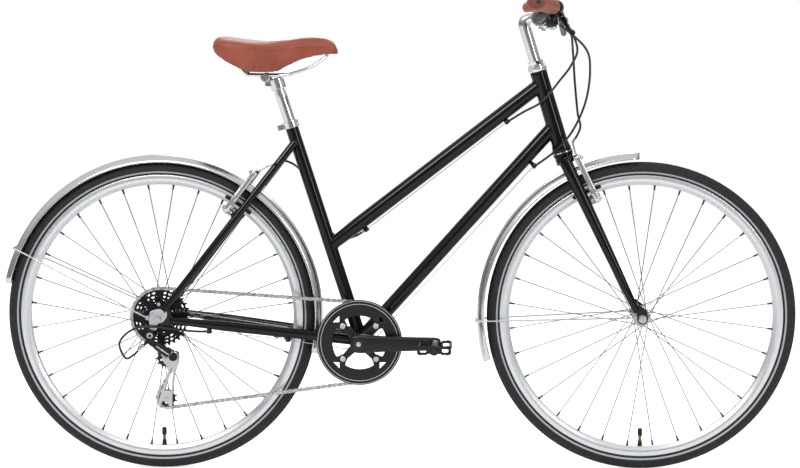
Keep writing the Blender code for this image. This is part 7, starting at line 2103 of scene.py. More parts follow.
# %% Pedal cages
PEDAL_LENGTH = 0.074
PEDAL_HEIGHT = 0.022
PEDAL_INNER = CRANK_OUTER + 0.003
PEDAL_OUTER = PEDAL_INNER + PEDAL_WIDTH


def cage_outline(teeth=8):
    """A cage plate's edge: a waist in the middle and saw teeth along the top and bottom."""
    half = PEDAL_LENGTH / 2
    low = PEDAL_HEIGHT / 2
    edge = [(-half, -0.7 * low), (-0.8 * half, -low)]
    for index in range(teeth):
        x = half * (-0.72 + 1.44 * index / (teeth - 1))
        waist = 1 - 0.42 * math.exp(-((x / (0.36 * half)) ** 4))
        edge.append((x - 0.0016, -low * waist + 0.0014))
        edge.append((x, -low * waist))
        edge.append((x + 0.0016, -low * waist + 0.0014))
    edge += [(0.8 * half, -low), (half, -0.7 * low)]
    return edge + [(-x, -z) for x, z in edge]


for side_name, side in SIDES.items():
    way = FORWARD if side < 0 else -FORWARD
    pivot = BRACKET + way * CRANK_LENGTH
    half = PEDAL_LENGTH / 2
    body_profile = [(0.006, PEDAL_INNER + 0.0002), (0.0104, PEDAL_INNER + 0.0002),
        (0.011, PEDAL_INNER + 0.001), (0.011, PEDAL_INNER + 0.007), (0.0094, PEDAL_INNER + 0.01),
        (0.0094, PEDAL_OUTER - 0.016), (0.011, PEDAL_OUTER - 0.013), (0.011, PEDAL_OUTER - 0.001),
        (0.01, PEDAL_OUTER), (0.0058, PEDAL_OUTER), (0.0058, PEDAL_OUTER - 0.003),
        (0.006, PEDAL_OUTER - 0.006)]
    parts = [lathe(body_profile, pivot, side * LEFT, 40)]
    for spot in (PEDAL_INNER + 0.0025, PEDAL_OUTER - 0.0025):
        slots_in_plate = [circle(0.01, 24)]
        for x in (-0.024, 0.024):
            slots_in_plate.append(rounded([(x - 0.007, -0.004), (x + 0.007, -0.004), (x + 0.007, 0.004),
                (x - 0.007, 0.004)], 0.003, 2))
        parts.append(stamping([cage_outline(), *slots_in_plate], 0.0026, pivot + side * spot * LEFT,
            edge=0.0004))
    middle = pivot + side * (PEDAL_INNER + PEDAL_OUTER) / 2 * LEFT
    for end in (-1, 1):
        for lift in (-1, 1):
            rail = slab(0.0015, (PEDAL_WIDTH - 0.006) / 2, 0.0016, 0.0004)
            parts.append(moved(rail, middle + Vector((end * (half - 0.0035), 0, lift * 0.006))))
    name = "pedal_" + side_name
    dress(parts, name, name, "black_anodised_aluminium", [name], 35)
    lenses = []
    for end in (-1, 1):
        lens = slab(0.0014, 0.03, 0.0052, 0.0006)
        lenses.append(moved(lens, middle + end * (half - 0.004) * FORWARD))
    cap = lathe([(0, 0.0014), (0.0044, 0.0012), (0.0056, 0.0), (0.0056, -0.0028), (0, -0.0028)],
        pivot + side * PEDAL_OUTER * LEFT, side * LEFT, 28)
    dress([*lenses, cap], name + "_insets", name, "black_nylon", angle=35)
print("pedal", triangles["pedal_right"], "triangles")

# %% [markdown]
# ## Chain
# The chain has 122 links of 12.7 mm. Its way is worked out as arcs on the sprockets joined by tangents. Every
# link is two waisted plates on rollers, wide and narrow in turn. A tree puts a link on each point of that way
# and turns it along.

# %% The way of the chain
PULLEY_TEETH = 11
GUIDE_PULLEY = REAR_AXLE + Vector((0.0109, 0, -0.0939))
TENSION_PULLEY = GUIDE_PULLEY + Vector((0.0013, 0, -0.0893))
CAGE_PIVOT = GUIDE_PULLEY + Vector((0.019, 0, 0.007))
LINKS = 122
WRAPS = [(BRACKET, pitch_radius(RING_TEETH), 1, CHAINLINE),
    (TENSION_PULLEY, pitch_radius(PULLEY_TEETH), 1, COG_LINE),
    (GUIDE_PULLEY, pitch_radius(PULLEY_TEETH), -1, COG_LINE),
    (REAR_AXLE, pitch_radius(COG_TEETH[0]), 1, COG_LINE)]


def leaving_ways():
    """For each wrap, the direction square to the chain where it leaves for the next one."""
    ways = []
    for index, (centre, radius, turn, _) in enumerate(WRAPS):
        after, after_radius, after_turn, _ = WRAPS[(index + 1) % len(WRAPS)]
        gap = Vector((after.x - centre.x, after.z - centre.z))
        lean = (radius * turn - after_radius * after_turn) / gap.length
        gap.normalize()
        ways.append(gap * lean + Vector((-gap.y, gap.x)) * math.sqrt(1 - lean * lean))
    return ways


def chain_way(step=0.0004):
    """Fine points along the middle of the chain, in its running order."""
    ways = leaving_ways()
    found = []
    for index, (centre, radius, turn, line) in enumerate(WRAPS):
        start = math.atan2(ways[index - 1].y, ways[index - 1].x)
        end = math.atan2(ways[index].y, ways[index].x)
        sweep = (start - end) % TURN if turn > 0 else -((end - start) % TURN)
        count = max(2, math.ceil(abs(sweep) * radius / step))
        for part in range(count + 1):
            angle = start - sweep * part / count
            spot = Vector((centre.x, centre.z)) + radius * turn * Vector(on_circle(1, angle))
            found.append(Vector((spot.x, -line, spot.y)))
        after, after_radius, after_turn, after_line = WRAPS[(index + 1) % len(WRAPS)]
        goal = Vector((after.x, after.z)) + after_radius * after_turn * ways[index]
        begin = found[-1].copy()
        finish_at = Vector((goal.x, -after_line, goal.y))
        count = math.ceil((finish_at - begin).length / step)
        found += [begin + (finish_at - begin) * part / count for part in range(1, count)]
    return found


way_points = chain_way()
total = sum((b - a).length for a, b in zip(way_points, way_points[1:] + way_points[:1]))
print("chain length", round(total / CHAIN_PITCH, 2), "links")


def chain_joints():
    """The pins' places: equal steps along the way, which starts where the chain meets the chainring."""
    pins, travelled, goal = [], 0.0, 0.0
    for a, b in zip(way_points, way_points[1:] + way_points[:1]):
        length = (b - a).length
        while goal < travelled + length and len(pins) < LINKS:
            pins.append(a + (b - a) * (goal - travelled) / length)
            goal += total / LINKS
        travelled += length
    return pins


pins = chain_joints()

# %% The tree for links
link_tree, given, ending = new_tree("links_on_path",
    {"Places": "places", "Outer Link": "piece", "Inner Link": "piece", "Finish": "finish"})
ahead = add(link_tree, "GeometryNodeInputNamedAttribute", {"data_type": "FLOAT_VECTOR", "Name": "way"})
wide = add(link_tree, "GeometryNodeInputNamedAttribute", {"data_type": "BOOLEAN", "Name": "wide"})
along = add(link_tree, "FunctionNodeAlignRotationToVector", {"axis": "X"},
    {"Vector": ahead.outputs["Attribute"]})
upright = add(link_tree, "FunctionNodeAlignRotationToVector", {"axis": "Y", "pivot_axis": "X"},
    {"Rotation": along})
upright.inputs["Vector"].default_value = (0, 1, 0)
kinds = []
for piece, chosen in (("Outer Link", True), ("Inner Link", False)):
    copy = add(link_tree, "GeometryNodeObjectInfo", None, {"Object": given.outputs[piece]})
    which = wide.outputs["Attribute"]
    if not chosen:
        which = add(link_tree, "FunctionNodeBooleanMath", "NOT", (which,)).outputs[0]
    kinds.append(add(link_tree, "GeometryNodeInstanceOnPoints", None,
        {"Points": given.outputs["Places"], "Selection": which, "Instance": copy.outputs["Geometry"],
        "Rotation": upright}))
joined_links = add(link_tree, "GeometryNodeJoinGeometry")
for kind in kinds:
    link_tree.links.new(kind.outputs[0], joined_links.inputs[0])
closing(link_tree, joined_links, given.outputs, ending)

# %% Outer and inner links
def link_plate(offset, thickness):
    """A waisted plate between two pins, lying along X from 0 to one pitch."""
    outline = []
    half = CHAIN_PITCH / 2
    for end in (1, -1):
        for step in range(5):
            angle = math.radians(-100 + 50 * step)
            x = end * (half + 0.0041 * math.cos(angle))
            outline.append((half + x, end * 0.0041 * math.sin(angle)))
        outline.append((half, end * 0.003))
    return stamping([outline], thickness, offset * LEFT, FORWARD, UP, edge=0.00018, fine=0)


def make_link(offset, with_pins):
    parts = [link_plate(side * offset, 0.0009) for side in (-1, 1)]
    for x in (0.0, CHAIN_PITCH):
        if with_pins:
            parts.append(lathe(mirrored([(0, -0.0033), (0.0017, -0.0033)]), x * FORWARD, LEFT, 8))
        else:
            parts.append(lathe(mirrored([(0.0017, -0.0013), (0.0038, -0.0013)]), x * FORWARD, LEFT, 10))
    return together(*parts)


outer_link = make_link(0.0028, True)
inner_link = make_link(0.0018, False)

# %% [markdown]
# The chain is six runs, because its stretches ride on different bodies. A run between two bodies is left on
# none of them.

# %% The runs of the chain
def chain_run(name, first, last, body=None):
    """The links from one pin to another, on one body or on none."""
    count = last - first
    picked = [pins[(first + index) % LINKS] for index in range(count + 1)]
    spots = spots_with_ways([(a, (b - a).normalized()) for a, b in zip(picked, picked[1:])])
    width = spots.attributes.new("wide", "BOOLEAN", "POINT")
    for index in range(count):
        width.data[index].value = (first + index) % 2 == 0
    made = grown(link_tree, places=spots, outer_link=outer_link, inner_link=inner_link,
        finish=finishes["oiled_chain_steel"])
    covers = ["chain"] if body == "frame" else []
    return dress(made, name, body or "", "oiled_chain_steel", covers, 35, ride=body is not None)


def tangent_pin(wrap, way):
    """The pin nearest to where the chain meets a sprocket, on its side towards the given straight."""
    centre, radius, turn, line = WRAPS[wrap]
    normal = LEAVING[way]
    spot = centre + radius * turn * Vector((normal.x, 0, normal.y)) - line * LEFT
    return min(range(LINKS), key=lambda index: (pins[index] - spot).length)


LEAVING = leaving_ways()
off_ring = tangent_pin(0, 0)
on_tension = tangent_pin(1, 0)
off_guide = tangent_pin(2, 2)
on_cog = tangent_pin(3, 2)
near_tension = on_tension - 4
half_way_up = on_cog - 1
chain_run("chain_on_sprockets", on_cog, LINKS + off_ring, "frame")
lower = chain_run("chain_lower_run", off_ring, near_tension)
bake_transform(lower)
lower = chain_run("chain_by_tension_pulley", near_tension, on_tension)
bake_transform(lower)
chain_run("chain_on_pulleys", on_tension, off_guide, "derailleur_cage")
upper = chain_run("chain_by_guide_pulley", off_guide, half_way_up)
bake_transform(upper)
upper = chain_run("chain_to_cassette", half_way_up, on_cog)
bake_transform(upper)
bpy.data.objects.remove(outer_link)
bpy.data.objects.remove(inner_link)
print("chain", triangles["chain_on_sprockets"], "triangles; pins", off_ring, on_tension, off_guide, on_cog)

# %% [markdown]
# ## Rear derailleur
# It hangs on the hanger bolt. A black knuckle carries a slanting link with a bright edge, and at its end an arm
# with the cage's spring in it. The cage is two satin plates with a window near the bottom, and holds two nylon
# pulleys of 11 teeth. The knuckle and link are castings, so they are skins through ovals.

# %% Knuckle, link and arm
KNUCKLE_OUTER = KNUCKLE_INNER + 0.016
ARM_OUTER = COG_LINE + 0.02
LINK_ROOT = HANGER_BOLT + Vector((0.004, -(KNUCKLE_OUTER - 0.006), -0.0165))
LINK_END = CAGE_PIVOT + Vector((-0.007, -(ARM_OUTER + 0.0065), 0.006))
LINK_ALONG = (LINK_END - LINK_ROOT).normalized()
LINK_AXIS = LINK_ALONG.cross(LEFT).normalized()
LINK_ACROSS = LINK_ALONG.cross(LINK_AXIS)
LINK_BOSS_RADIUS = 0.0058

boss = [(0, 0), (0.0098, 0), (0.0105, 0.0007), (0.0105, 0.0148), (0.0096, 0.016), (0.007, 0.016),
    (0.0066, 0.015), (0, 0.015)]
slant = Vector((-0.9, 0, -0.4)).normalized()
tail_middle = HANGER_BOLT + Vector((-0.012, 0, -0.022))
start = HANGER_BOLT - (KNUCKLE_INNER + 0.007) * LEFT
end = tail_middle - (KNUCKLE_INNER + 0.007) * LEFT
tail_shape = [(0, 0.0066, 0.0082), (0.3, 0.0068, 0.008), (0.6, 0.0064, 0.0074), (0.85, 0.0062, 0.007),
    (1, 0.0052, 0.0056), (1.05, 0.0036, 0.0038)]
root_pin = pin(LINK_ROOT - 0.007 * LINK_AXIS, LINK_ROOT + 0.007 * LINK_AXIS, LINK_BOSS_RADIUS, 0.0006)
bridge_shape = [(0, 0.0052, 0.0052), (0.5, 0.0058, 0.0058), (1, 0.005, 0.005)]
bridge_part = drawn(HANGER_BOLT - (KNUCKLE_INNER + 0.009) * LEFT, LINK_ROOT + 0.0006 * LEFT, LEFT, FORWARD,
    bridge_shape, 20, 0.85)
boss_foot = HANGER_BOLT - KNUCKLE_INNER * LEFT
knuckle = [lathe(boss, boss_foot, -LEFT, 44), drawn(start, end, LEFT, slant, tail_shape, 28, 0.85), root_pin,
    bridge_part]
dress(knuckle, "derailleur_knuckle", "frame", "black_anodised_aluminium", ["derailleur_knuckle"], 40)
hanger_bolt_head = lathe([(0.0036, 0.0002), (0.0036, 0.001), (0.0066, 0.0012), (0.0062, 0.0004),
    (0.0064, -0.0006), (0.0036, -0.0012)], HANGER_BOLT - KNUCKLE_OUTER * LEFT, -LEFT, 36)
adjuster = lathe([(0, -0.009), (0.0036, -0.009), (0.0036, -0.002), (0.0048, -0.0012), (0.0048, 0.003),
    (0.003, 0.005), (0, 0.005)], shift_rear[-1] + Vector((0.003, 0, 0.003)), shift_rear[-1] - shift_rear[-2],
    24)
limit_screws = screws([(tail_middle - (KNUCKLE_INNER + 0.0128 - 0.004 * k) * LEFT + 0.0075 * slant, slant)
    for k in (0, 1)], 0.002, 0.0024)
steel = [hanger_bolt_head, adjuster, limit_screws]
dress(steel, "derailleur_screws", "frame", "bright_zinc_plate", angle=35)

root = LINK_ROOT + (LINK_BOSS_RADIUS + 0.0006) * LINK_ALONG
link_shape = [(0, 0.0036, 0.0068), (0.04, 0.0045, 0.008), (0.3, 0.0053, 0.0098), (0.55, 0.0055, 0.0105),
    (0.8, 0.0048, 0.0098), (0.96, 0.0041, 0.009), (1, 0.0032, 0.0078)]
link = drawn(root, LINK_END, LINK_ACROSS, LINK_AXIS, link_shape, 28, 0.75)
dress(link, "derailleur_link", "derailleur_link", "black_anodised_aluminium", ["derailleur_link"], 45)
outside = LINK_ACROSS if LINK_ACROSS.y < 0 else -LINK_ACROSS
stripe_rings = []
for share, wide in ((0.1, 0.0006), (0.16, 0.0016), (0.5, 0.0022), (0.86, 0.0018), (0.94, 0.0006)):
    lift = between(share, [(0.0, 0.0041), (0.3, 0.0049), (0.55, 0.0052), (0.8, 0.0045), (1.0, 0.0036)])
    spot = root + (LINK_END - root) * share + outside * lift
    stripe_rings.append(oval(spot, outside, LINK_AXIS, 0.0006, wide, 12))
dress(skin(stripe_rings), "derailleur_link_stripe", "derailleur_link", "satin_derailleur_alloy", angle=50)
link_pins = []
for spot, reach in ((LINK_ROOT, 0.0078), (LINK_END, 0.0095)):
    link_pins.append(pin(spot - reach * LINK_AXIS, spot + reach * LINK_AXIS, 0.0024, 0.0004, 20))
dress(link_pins, "derailleur_link_pins", "derailleur_link", "bright_zinc_plate", angle=35)

plate_outer = COG_LINE + 0.0078
arm_profile = [(0, plate_outer + 0.0003), (0.0104, plate_outer + 0.0003), (0.011, plate_outer + 0.001),
    (0.011, ARM_OUTER - 0.003), (0.01, ARM_OUTER - 0.0006), (0.0088, ARM_OUTER), (0.006, ARM_OUTER),
    (0.0056, ARM_OUTER - 0.001), (0, ARM_OUTER - 0.001)]
arm_boss = lathe(arm_profile, CAGE_PIVOT, -LEFT, 44)
ear_shape = [(0, 0.0075, 0.0075), (0.5, 0.0068, 0.0068), (1, 0.005, 0.005)]
ear = drawn(CAGE_PIVOT - (ARM_OUTER - 0.0055) * LEFT, LINK_END + 0.0068 * LEFT, FORWARD, UP, ear_shape, 20,
    0.85)
dress([arm_boss, ear], "derailleur_arm", "derailleur_arm", "black_anodised_aluminium", ["derailleur_arm"], 40)
ring_face = [(0.01, 0.0001), (0.0106, -0.0018), (0.011, -0.0028), (0.0113, -0.0022), (0.0106, 0.0003)]
dress(lathe(ring_face, CAGE_PIVOT - ARM_OUTER * LEFT, -LEFT, 44), "derailleur_arm_ring", "derailleur_arm",
    "satin_derailleur_alloy", angle=35)
print("derailleur", triangles["derailleur_knuckle"], "triangles")

# %% Cage and pulleys
guide = Vector((GUIDE_PULLEY.x - CAGE_PIVOT.x, GUIDE_PULLEY.z - CAGE_PIVOT.z))
tension = Vector((TENSION_PULLEY.x - CAGE_PIVOT.x, TENSION_PULLEY.z - CAGE_PIVOT.z))
CAGE_EDGE = [(0.009, 0.009), (-0.004, 0.01), (guide.x - 0.006, guide.y + 0.008),
    (guide.x - 0.009, guide.y - 0.002), (guide.x + 0.002, guide.y - 0.014), (-0.012, -0.04),
    (tension.x - 0.016, tension.y + 0.004), (tension.x - 0.02, tension.y - 0.022),
    (tension.x + 0.012, tension.y - 0.024), (tension.x + 0.013, tension.y + 0.004), (0.0, -0.044),
    (0.011, -0.01)]
window = [(tension.x - 0.015, tension.y - 0.018), (tension.x + 0.0075, tension.y - 0.02),
    (tension.x + 0.001, tension.y - 0.0095), (tension.x - 0.009, tension.y - 0.005)]
slot = [(-0.0215, -0.079), (-0.007, -0.079), (-0.0058, -0.06), (-0.003, -0.04), (-0.005, -0.026),
    (-0.0085, -0.03), (-0.0095, -0.04), (-0.0165, -0.06)]
for side_word, face in (("inner", -(COG_LINE - 0.0068)), ("outer", -(COG_LINE + 0.0068))):
    outlines = [rounded(CAGE_EDGE, 0.01, 5)]
    outlines += [rounded(window, 0.003, 3), rounded(slot, 0.002, 3)]
    cage_plate = stamping(outlines, 0.0018, CAGE_PIVOT + face * LEFT, edge=0.0004)
    covers = ["derailleur_cage"] if side_word == "outer" else []
    dress(cage_plate, "derailleur_cage_" + side_word, "derailleur_cage", "satin_derailleur_alloy", covers, 35)
bolts = []
for spot in (GUIDE_PULLEY, TENSION_PULLEY):
    bolts.append(pin(spot - (COG_LINE - 0.0066) * LEFT, spot - (COG_LINE + 0.0066) * LEFT, 0.0028))
    bolts.append(screws([(spot - (COG_LINE + 0.0076) * LEFT, -LEFT)], 0.0044, 0.0018))
dress(bolts, "pulley_bolts", "derailleur_cage", "bright_zinc_plate", angle=35)


def pulley_outline():
    """Eleven blunt teeth with a round seat between them."""
    outline = []
    radius = pitch_radius(PULLEY_TEETH)
    for tooth in range(PULLEY_TEETH):
        middle = TURN * tooth / PULLEY_TEETH
        for lean, reach in ((-0.3, -0.0034), (-0.14, -0.004), (0.14, -0.004), (0.3, -0.0034), (0.4, 0.0002),
                (0.46, 0.0022), (0.54, 0.0022), (0.6, 0.0002)):
            angle = middle + lean * TURN / PULLEY_TEETH
            outline.append(on_circle(radius + reach, angle))
    return outline


for name, spot in (("guide_pulley", GUIDE_PULLEY), ("tension_pulley", TENSION_PULLEY)):
    middle = spot - COG_LINE * LEFT
    holes = [circle(0.0062, 24)] + [circle(0.002, 10, on_circle(0.0115, a))
        for a in (0.3, 1.35, 2.39, 3.44, 4.49, 5.54)]
    wheel = stamping([pulley_outline(), *holes], 0.0022, middle, edge=0.0003)
    hub = lathe(mirrored([(0.0031, -0.003), (0.0064, -0.003), (0.0068, -0.0014)]), middle, LEFT, 32)
    dress([wheel, hub], name, name, "black_nylon", [name], 35)
print("pulleys", triangles["guide_pulley"], "triangles")

# %% [markdown]
# ## Seatpost and saddle clamp
# A chromed steel post, swaged thinner at the top, with the old-fashioned clamp: two toothed cheeks on a cross
# bolt pinch the rails, and their collar grips the post.

# %% Seatpost
SEATPOST_TOP = 0.6145
SADDLE_PIVOT = on_seat_tube(SEATPOST_TOP) + Vector((-0.021, 0, 0.001))
RAIL_HALF = 0.022
post_profile = [(0, 0.385), (0.0127, 0.385), (0.0127, 0.57), (0.0126, 0.576), (0.0114, 0.585),
    (0.0112, 0.6137), (0.0104, 0.6145), (0, 0.6145)]
dress(lathe(post_profile, BRACKET, SEAT_UP, 56), "seatpost", "seatpost", "chrome_plate", ["seatpost"], 35)
clamp_collar = [(0.0114, 0), (0.0158, 0), (0.0165, 0.0008), (0.0165, 0.0232), (0.0158, 0.024),
    (0.0114, 0.024)]
parts = [lathe(clamp_collar, on_seat_tube(SEATPOST_TOP - 0.026), SEAT_UP, 44)]
half = RAIL_HALF - 0.0038
for side in (-1, 1):
    for near, far, radius in ((0.0, 0.0085, 0.0088), (0.0085, 0.012, 0.0105), (0.0125, half, 0.0105)):
        start = SADDLE_PIVOT + side * near * LEFT
        parts.append(pin(start, start + side * (far - near) * LEFT, radius, 0.0006, 40))
    tooth = block((-0.0006, -0.0005, -0.0009), (0.0004, 0.0005, 0.0009), 0.0001)
    parts.append(ring_of(tooth, 28, 0.0104, SADDLE_PIVOT + side * 0.0123 * LEFT))
cheek = slab(0.0085, 0.0095, 0.0085, 0.0022)
parts.append(moved(cheek, SADDLE_PIVOT + Vector((0.0065, 0, -0.0105))))
dress(parts, "saddle_clamp", "seatpost", "chrome_plate", ["saddle_clamp"], 35)
bolt_half = RAIL_HALF + 0.006
cross_bolt = [pin(SADDLE_PIVOT - bolt_half * LEFT, SADDLE_PIVOT + bolt_half * LEFT, 0.0038, 0.0005, 24)]
for side in (-1, 1):
    cross_bolt.append(nut(SADDLE_PIVOT + side * (RAIL_HALF + 0.0042) * LEFT, side * LEFT, 0.012, 0.005,
        0.0036))
    cup = [(0.004, -0.0058), (0.0092, -0.0058), (0.01, -0.004), (0.01, 0.003), (0.0086, 0.0042),
        (0.004, 0.0042)]
    cross_bolt.append(lathe(cup, SADDLE_PIVOT + side * RAIL_HALF * LEFT, side * LEFT, 32))
dress(cross_bolt, "saddle_clamp_bolt", "saddle", "chrome_plate", angle=35)
print("clamp", triangles["saddle_clamp"], "triangles")

# %% [markdown]
# ## Saddle
# A moulded shell with foam, covered in rose-brown leathercloth. The cover is drawn tight over the crown and
# tucked under the shell's edge. A stitched seam runs round below the top's edge, and two more follow the nose.
# The form is a skin from tables of height and width. The cloth is then inflated a little against its own
# stretch, which rounds it as foam does. The seams are laid afterwards, on the surface as it came out.

# %% Saddle form
SADDLE_TAIL = SADDLE_PIVOT + Vector((-0.11617, 0, -0.58641))
# Distance forward from the tail, and height over its foot
SADDLE_TOP = [(0.0, 0.668), (0.012, 0.676), (0.06, 0.671), (0.114, 0.665), (0.16, 0.667), (0.215, 0.6735),
    (0.262, 0.669), (0.28, 0.655)]
SADDLE_SKIRT = [(0.0, 0.652), (0.01, 0.636), (0.05, 0.612), (0.085, 0.597), (0.132, 0.596), (0.16, 0.609),
    (0.196, 0.624), (0.24, 0.634), (0.28, 0.636)]
# Distance from the tail, and half the width
SADDLE_PLAN = [(0.0, 0.03), (0.008, 0.064), (0.03, 0.084), (0.062, 0.09), (0.094, 0.082), (0.122, 0.064),
    (0.15, 0.045), (0.186, 0.031), (0.225, 0.0235), (0.258, 0.02), (0.274, 0.013), (0.28, 0.004)]
SADDLE_SHELL = 0.009
RIDGE_TAIL = 0.035
RIDGE_NOSE = 0.258


def saddle_point(along, y, up):
    return Vector((SADDLE_TAIL.x + along, y, SADDLE_TAIL.z + up))


def eased(table):
    """A table with finer rows on a smooth curve through its own."""
    fine = smooth([Vector((x, value, 0)) for x, value in table], 0.004)
    return [(point.x, point.y) for point in fine]


TOP_LINE = eased(SADDLE_TOP)
SKIRT_LINE = eased(SADDLE_SKIRT)
right_edge = eased(SADDLE_PLAN)
plan = [(x, y) for x, y in right_edge] + [(x, -y) for x, y in reversed(right_edge)]
# Share of the way out from the ridge, drop from the top, and how far the ring is drawn in
COVER_RINGS = [(0.0, 0.0, 1.0), (0.18, 0.0, 1.0), (0.36, 0.0005, 1.0), (0.54, 0.0016, 1.0),
    (0.7, 0.0036, 1.0), (0.84, 0.0072, 1.0), (0.94, 0.012, 1.0), (1.0, 0.019, 1.0)]
SKIRT_STEPS = 7


def cover_row(share, drop, tuck, down=0.0, inset=0.0):
    """One ring of the cover. Down runs from 0 at the edge of the top to 1 at the skirt's lower edge."""
    row = []
    for along, y in plan:
        ridge = min(max(along, RIDGE_TAIL), RIDGE_NOSE)
        x = ridge + (along - ridge) * share * tuck
        across = y * share * tuck
        if inset:
            outward = Vector((along - ridge, y)).normalized()
            x -= outward.x * inset
            across -= outward.y * inset
        top = between(x, TOP_LINE)
        skirt = between(x, SKIRT_LINE)
        edge = max(top - drop, skirt + 0.004)
        row.append(saddle_point(x, across, edge + (skirt - edge) * down))
    return row

# %% The cover's rows and skin
rows = [cover_row(*ring) for ring in COVER_RINGS]
for index in range(1, SKIRT_STEPS + 1):
    down = index / SKIRT_STEPS
    rows.append(cover_row(1.0, 0.019, 1.0 + 0.012 * math.sin(down * math.pi) - 0.07 * down, down))
rows.append(cover_row(1.0, 0.019, 0.93, 1.0, 0.004))
rows.append(cover_row(1.0, 0.019, 0.93, 0.9, SADDLE_SHELL))
for share, drop in ((0.8, 0.018), (0.55, 0.012), (0.25, 0.01), (0.0, 0.0095)):
    rows.append(cover_row(share, drop, 0.9))


def closed_cover(rows):
    shape = bmesh.new()
    made = [[shape.verts.new(point) for point in row] for row in rows]
    count = len(rows[0])
    for row, following in zip(made, made[1:]):
        quads(shape, row, following)
    for row in (made[0], made[-1]):
        half_count = count // 2
        for index in range(half_count - 1):
            corners = (row[index], row[index + 1], row[count - 2 - index], row[count - 1 - index])
            shape.faces.new(corners)
    bmesh.ops.remove_doubles(shape, verts=shape.verts, dist=0.00002)
    loose = [face for face in shape.faces if face.calc_area() < 1e-12]
    bmesh.ops.delete(shape, geom=loose, context="FACES")
    return from_shape(shape, "cover")


cover = closed_cover(rows)
open_edges = bmesh.new()
open_edges.from_mesh(cover.data)
print("cover", len(cover.data.polygons), "faces,", sum(not e.is_manifold for e in open_edges.edges),
    "open edges")
open_edges.free()
cushion = plain(cover)

# %% Cover drawn over the foam
VOXEL = 0.0045
SIM_FRAMES = 20
MOST_MOVE = 0.0022


def nearest_on(target):
    shape = bmesh.new()
    shape.from_mesh(target.data)
    tree = BVHTree.FromBMesh(shape)
    shape.free()
    return tree


remesh = cushion.modifiers.new("voxels", "REMESH")
remesh.mode = "VOXEL"
remesh.voxel_size = VOXEL
cushion = plain(cushion)
relaxed = cushion.modifiers.new("relax", "SMOOTH")
relaxed.factor = 0.5
relaxed.iterations = 5
cushion = plain(cushion)
before = [vertex.co.copy() for vertex in cushion.data.vertices]
cloth = cushion.modifiers.new("drawn_cover", "CLOTH")
cloth.settings.use_pressure = True
cloth.settings.uniform_pressure_force = 4.0
cloth.settings.effector_weights.gravity = 0.0
cloth.settings.tension_stiffness = 15
cloth.settings.compression_stiffness = 15
cloth.settings.shear_stiffness = 5
cloth.settings.bending_stiffness = 0.5
scene = bpy.context.scene
for frame_number in range(1, SIM_FRAMES + 1):
    scene.frame_set(frame_number)
cushion = plain(cushion)
scene.frame_set(1)
for vertex, start in zip(cushion.data.vertices, before):
    move = vertex.co - start
    if move.length > MOST_MOVE:
        vertex.co = start + move.normalized() * MOST_MOVE
cushion = subdivided(cushion, 1)
saddle = dress(cushion, "saddle", "saddle", "rose_brown_leathercloth", ["saddle"], 70)
print("saddle", triangles["saddle"], "triangles")

# %% Saddle seams and piping
surface = nearest_on(saddle)


def onto_cover(points, lift):
    """Points moved onto the cover, and a little proud of it."""
    found = []
    for point in points:
        spot, normal, _, _ = surface.find_nearest(point)
        found.append(spot + normal * lift)
    return found


def stitch_row(points, gap=0.0042):
    """A stitch at each step along the line, lying along it."""
    places, travelled, goal = [], 0.0, 0.0
    for a, b in zip(points, points[1:]):
        length = (b - a).length
        while goal < travelled + length:
            places.append((a + (b - a) * (goal - travelled) / length, (b - a).normalized()))
            goal += gap
        travelled += length
    return places


edge_line = onto_cover(cover_row(0.985, 0.0175, 1.0), -0.0002)
edge_line = edge_line[2:-2]
seam_line = smooth(onto_cover(cover_row(0.9, 0.0098, 1.0)[2:-2], 0.0), 0.003)
welt = rod(smooth(edge_line, 0.003), 0.0011, 10)
dress(welt, "saddle_edge_welt", "saddle", "rose_brown_leathercloth", angle=70)
stitches = stitch_row(onto_cover(seam_line, 0.0002))
for side in (-1, 1):
    nose = [saddle_point(0.128 + 0.118 * k / 20, side * (0.03 - 0.016 * k / 20), 0.68) for k in range(21)]
    stitches += stitch_row(onto_cover(nose, 0.0002))
dress(threads(stitches, 0.0028, 0.00042), "saddle_stitches", "saddle", "leather_thread", angle=60)
print("stitches", len(stitches))

# %% [markdown]
# The rails are one chromed rod, 7 mm thick. It is bent into two loops that spring from the nose cup and end in
# sockets under the tail, with their level part where the clamp holds them.

# %% Rails and base
rail_top = SADDLE_PIVOT.z - SADDLE_TAIL.z + 0.006
tail_end = between(0.03, SADDLE_TOP) - SADDLE_SHELL - 0.0035 - 0.0035
nose_end = between(0.256, SADDLE_SKIRT)
RAIL_WAY = [(0.03, 0.04, tail_end), (0.05, 0.036, rail_top + 0.03), (0.072, 0.026, rail_top + 0.004),
    (0.085, RAIL_HALF, rail_top), (0.16, RAIL_HALF, rail_top), (0.176, 0.0205, rail_top + 0.003),
    (0.214, 0.014, rail_top + 0.016), (0.243, 0.009, rail_top + 0.034), (0.252, 0.007, nose_end),
    (0.256, 0.0035, nose_end + 0.008)]
right_rail = [saddle_point(x, -y, up) for x, y, up in RAIL_WAY]
left_rail = [saddle_point(x, y, up) for x, y, up in reversed(RAIL_WAY)]
rails = rod(smooth(right_rail + left_rail, 0.003), 0.0035, 20)
dress(rails, "saddle_rails", "saddle", "chrome_plate", ["saddle_rails"], 60)
base_rings = []
for along, half_width in ((0.04, 0.06), (0.062, 0.07), (0.1, 0.062), (0.13, 0.044), (0.18, 0.022),
        (0.25, 0.012)):
    height = between(along, SADDLE_TOP) - SADDLE_SHELL - 0.0075
    ring = []
    for angle in round_steps(24):
        y = half_width * math.cos(angle)
        sag = 0.01 * (y / max(half_width, 0.001)) ** 2 if along < 0.15 else 0.0
        ring.append(saddle_point(along, y, height - sag + 0.0024 * math.sin(angle)))
    base_rings.append(ring)
sockets = []
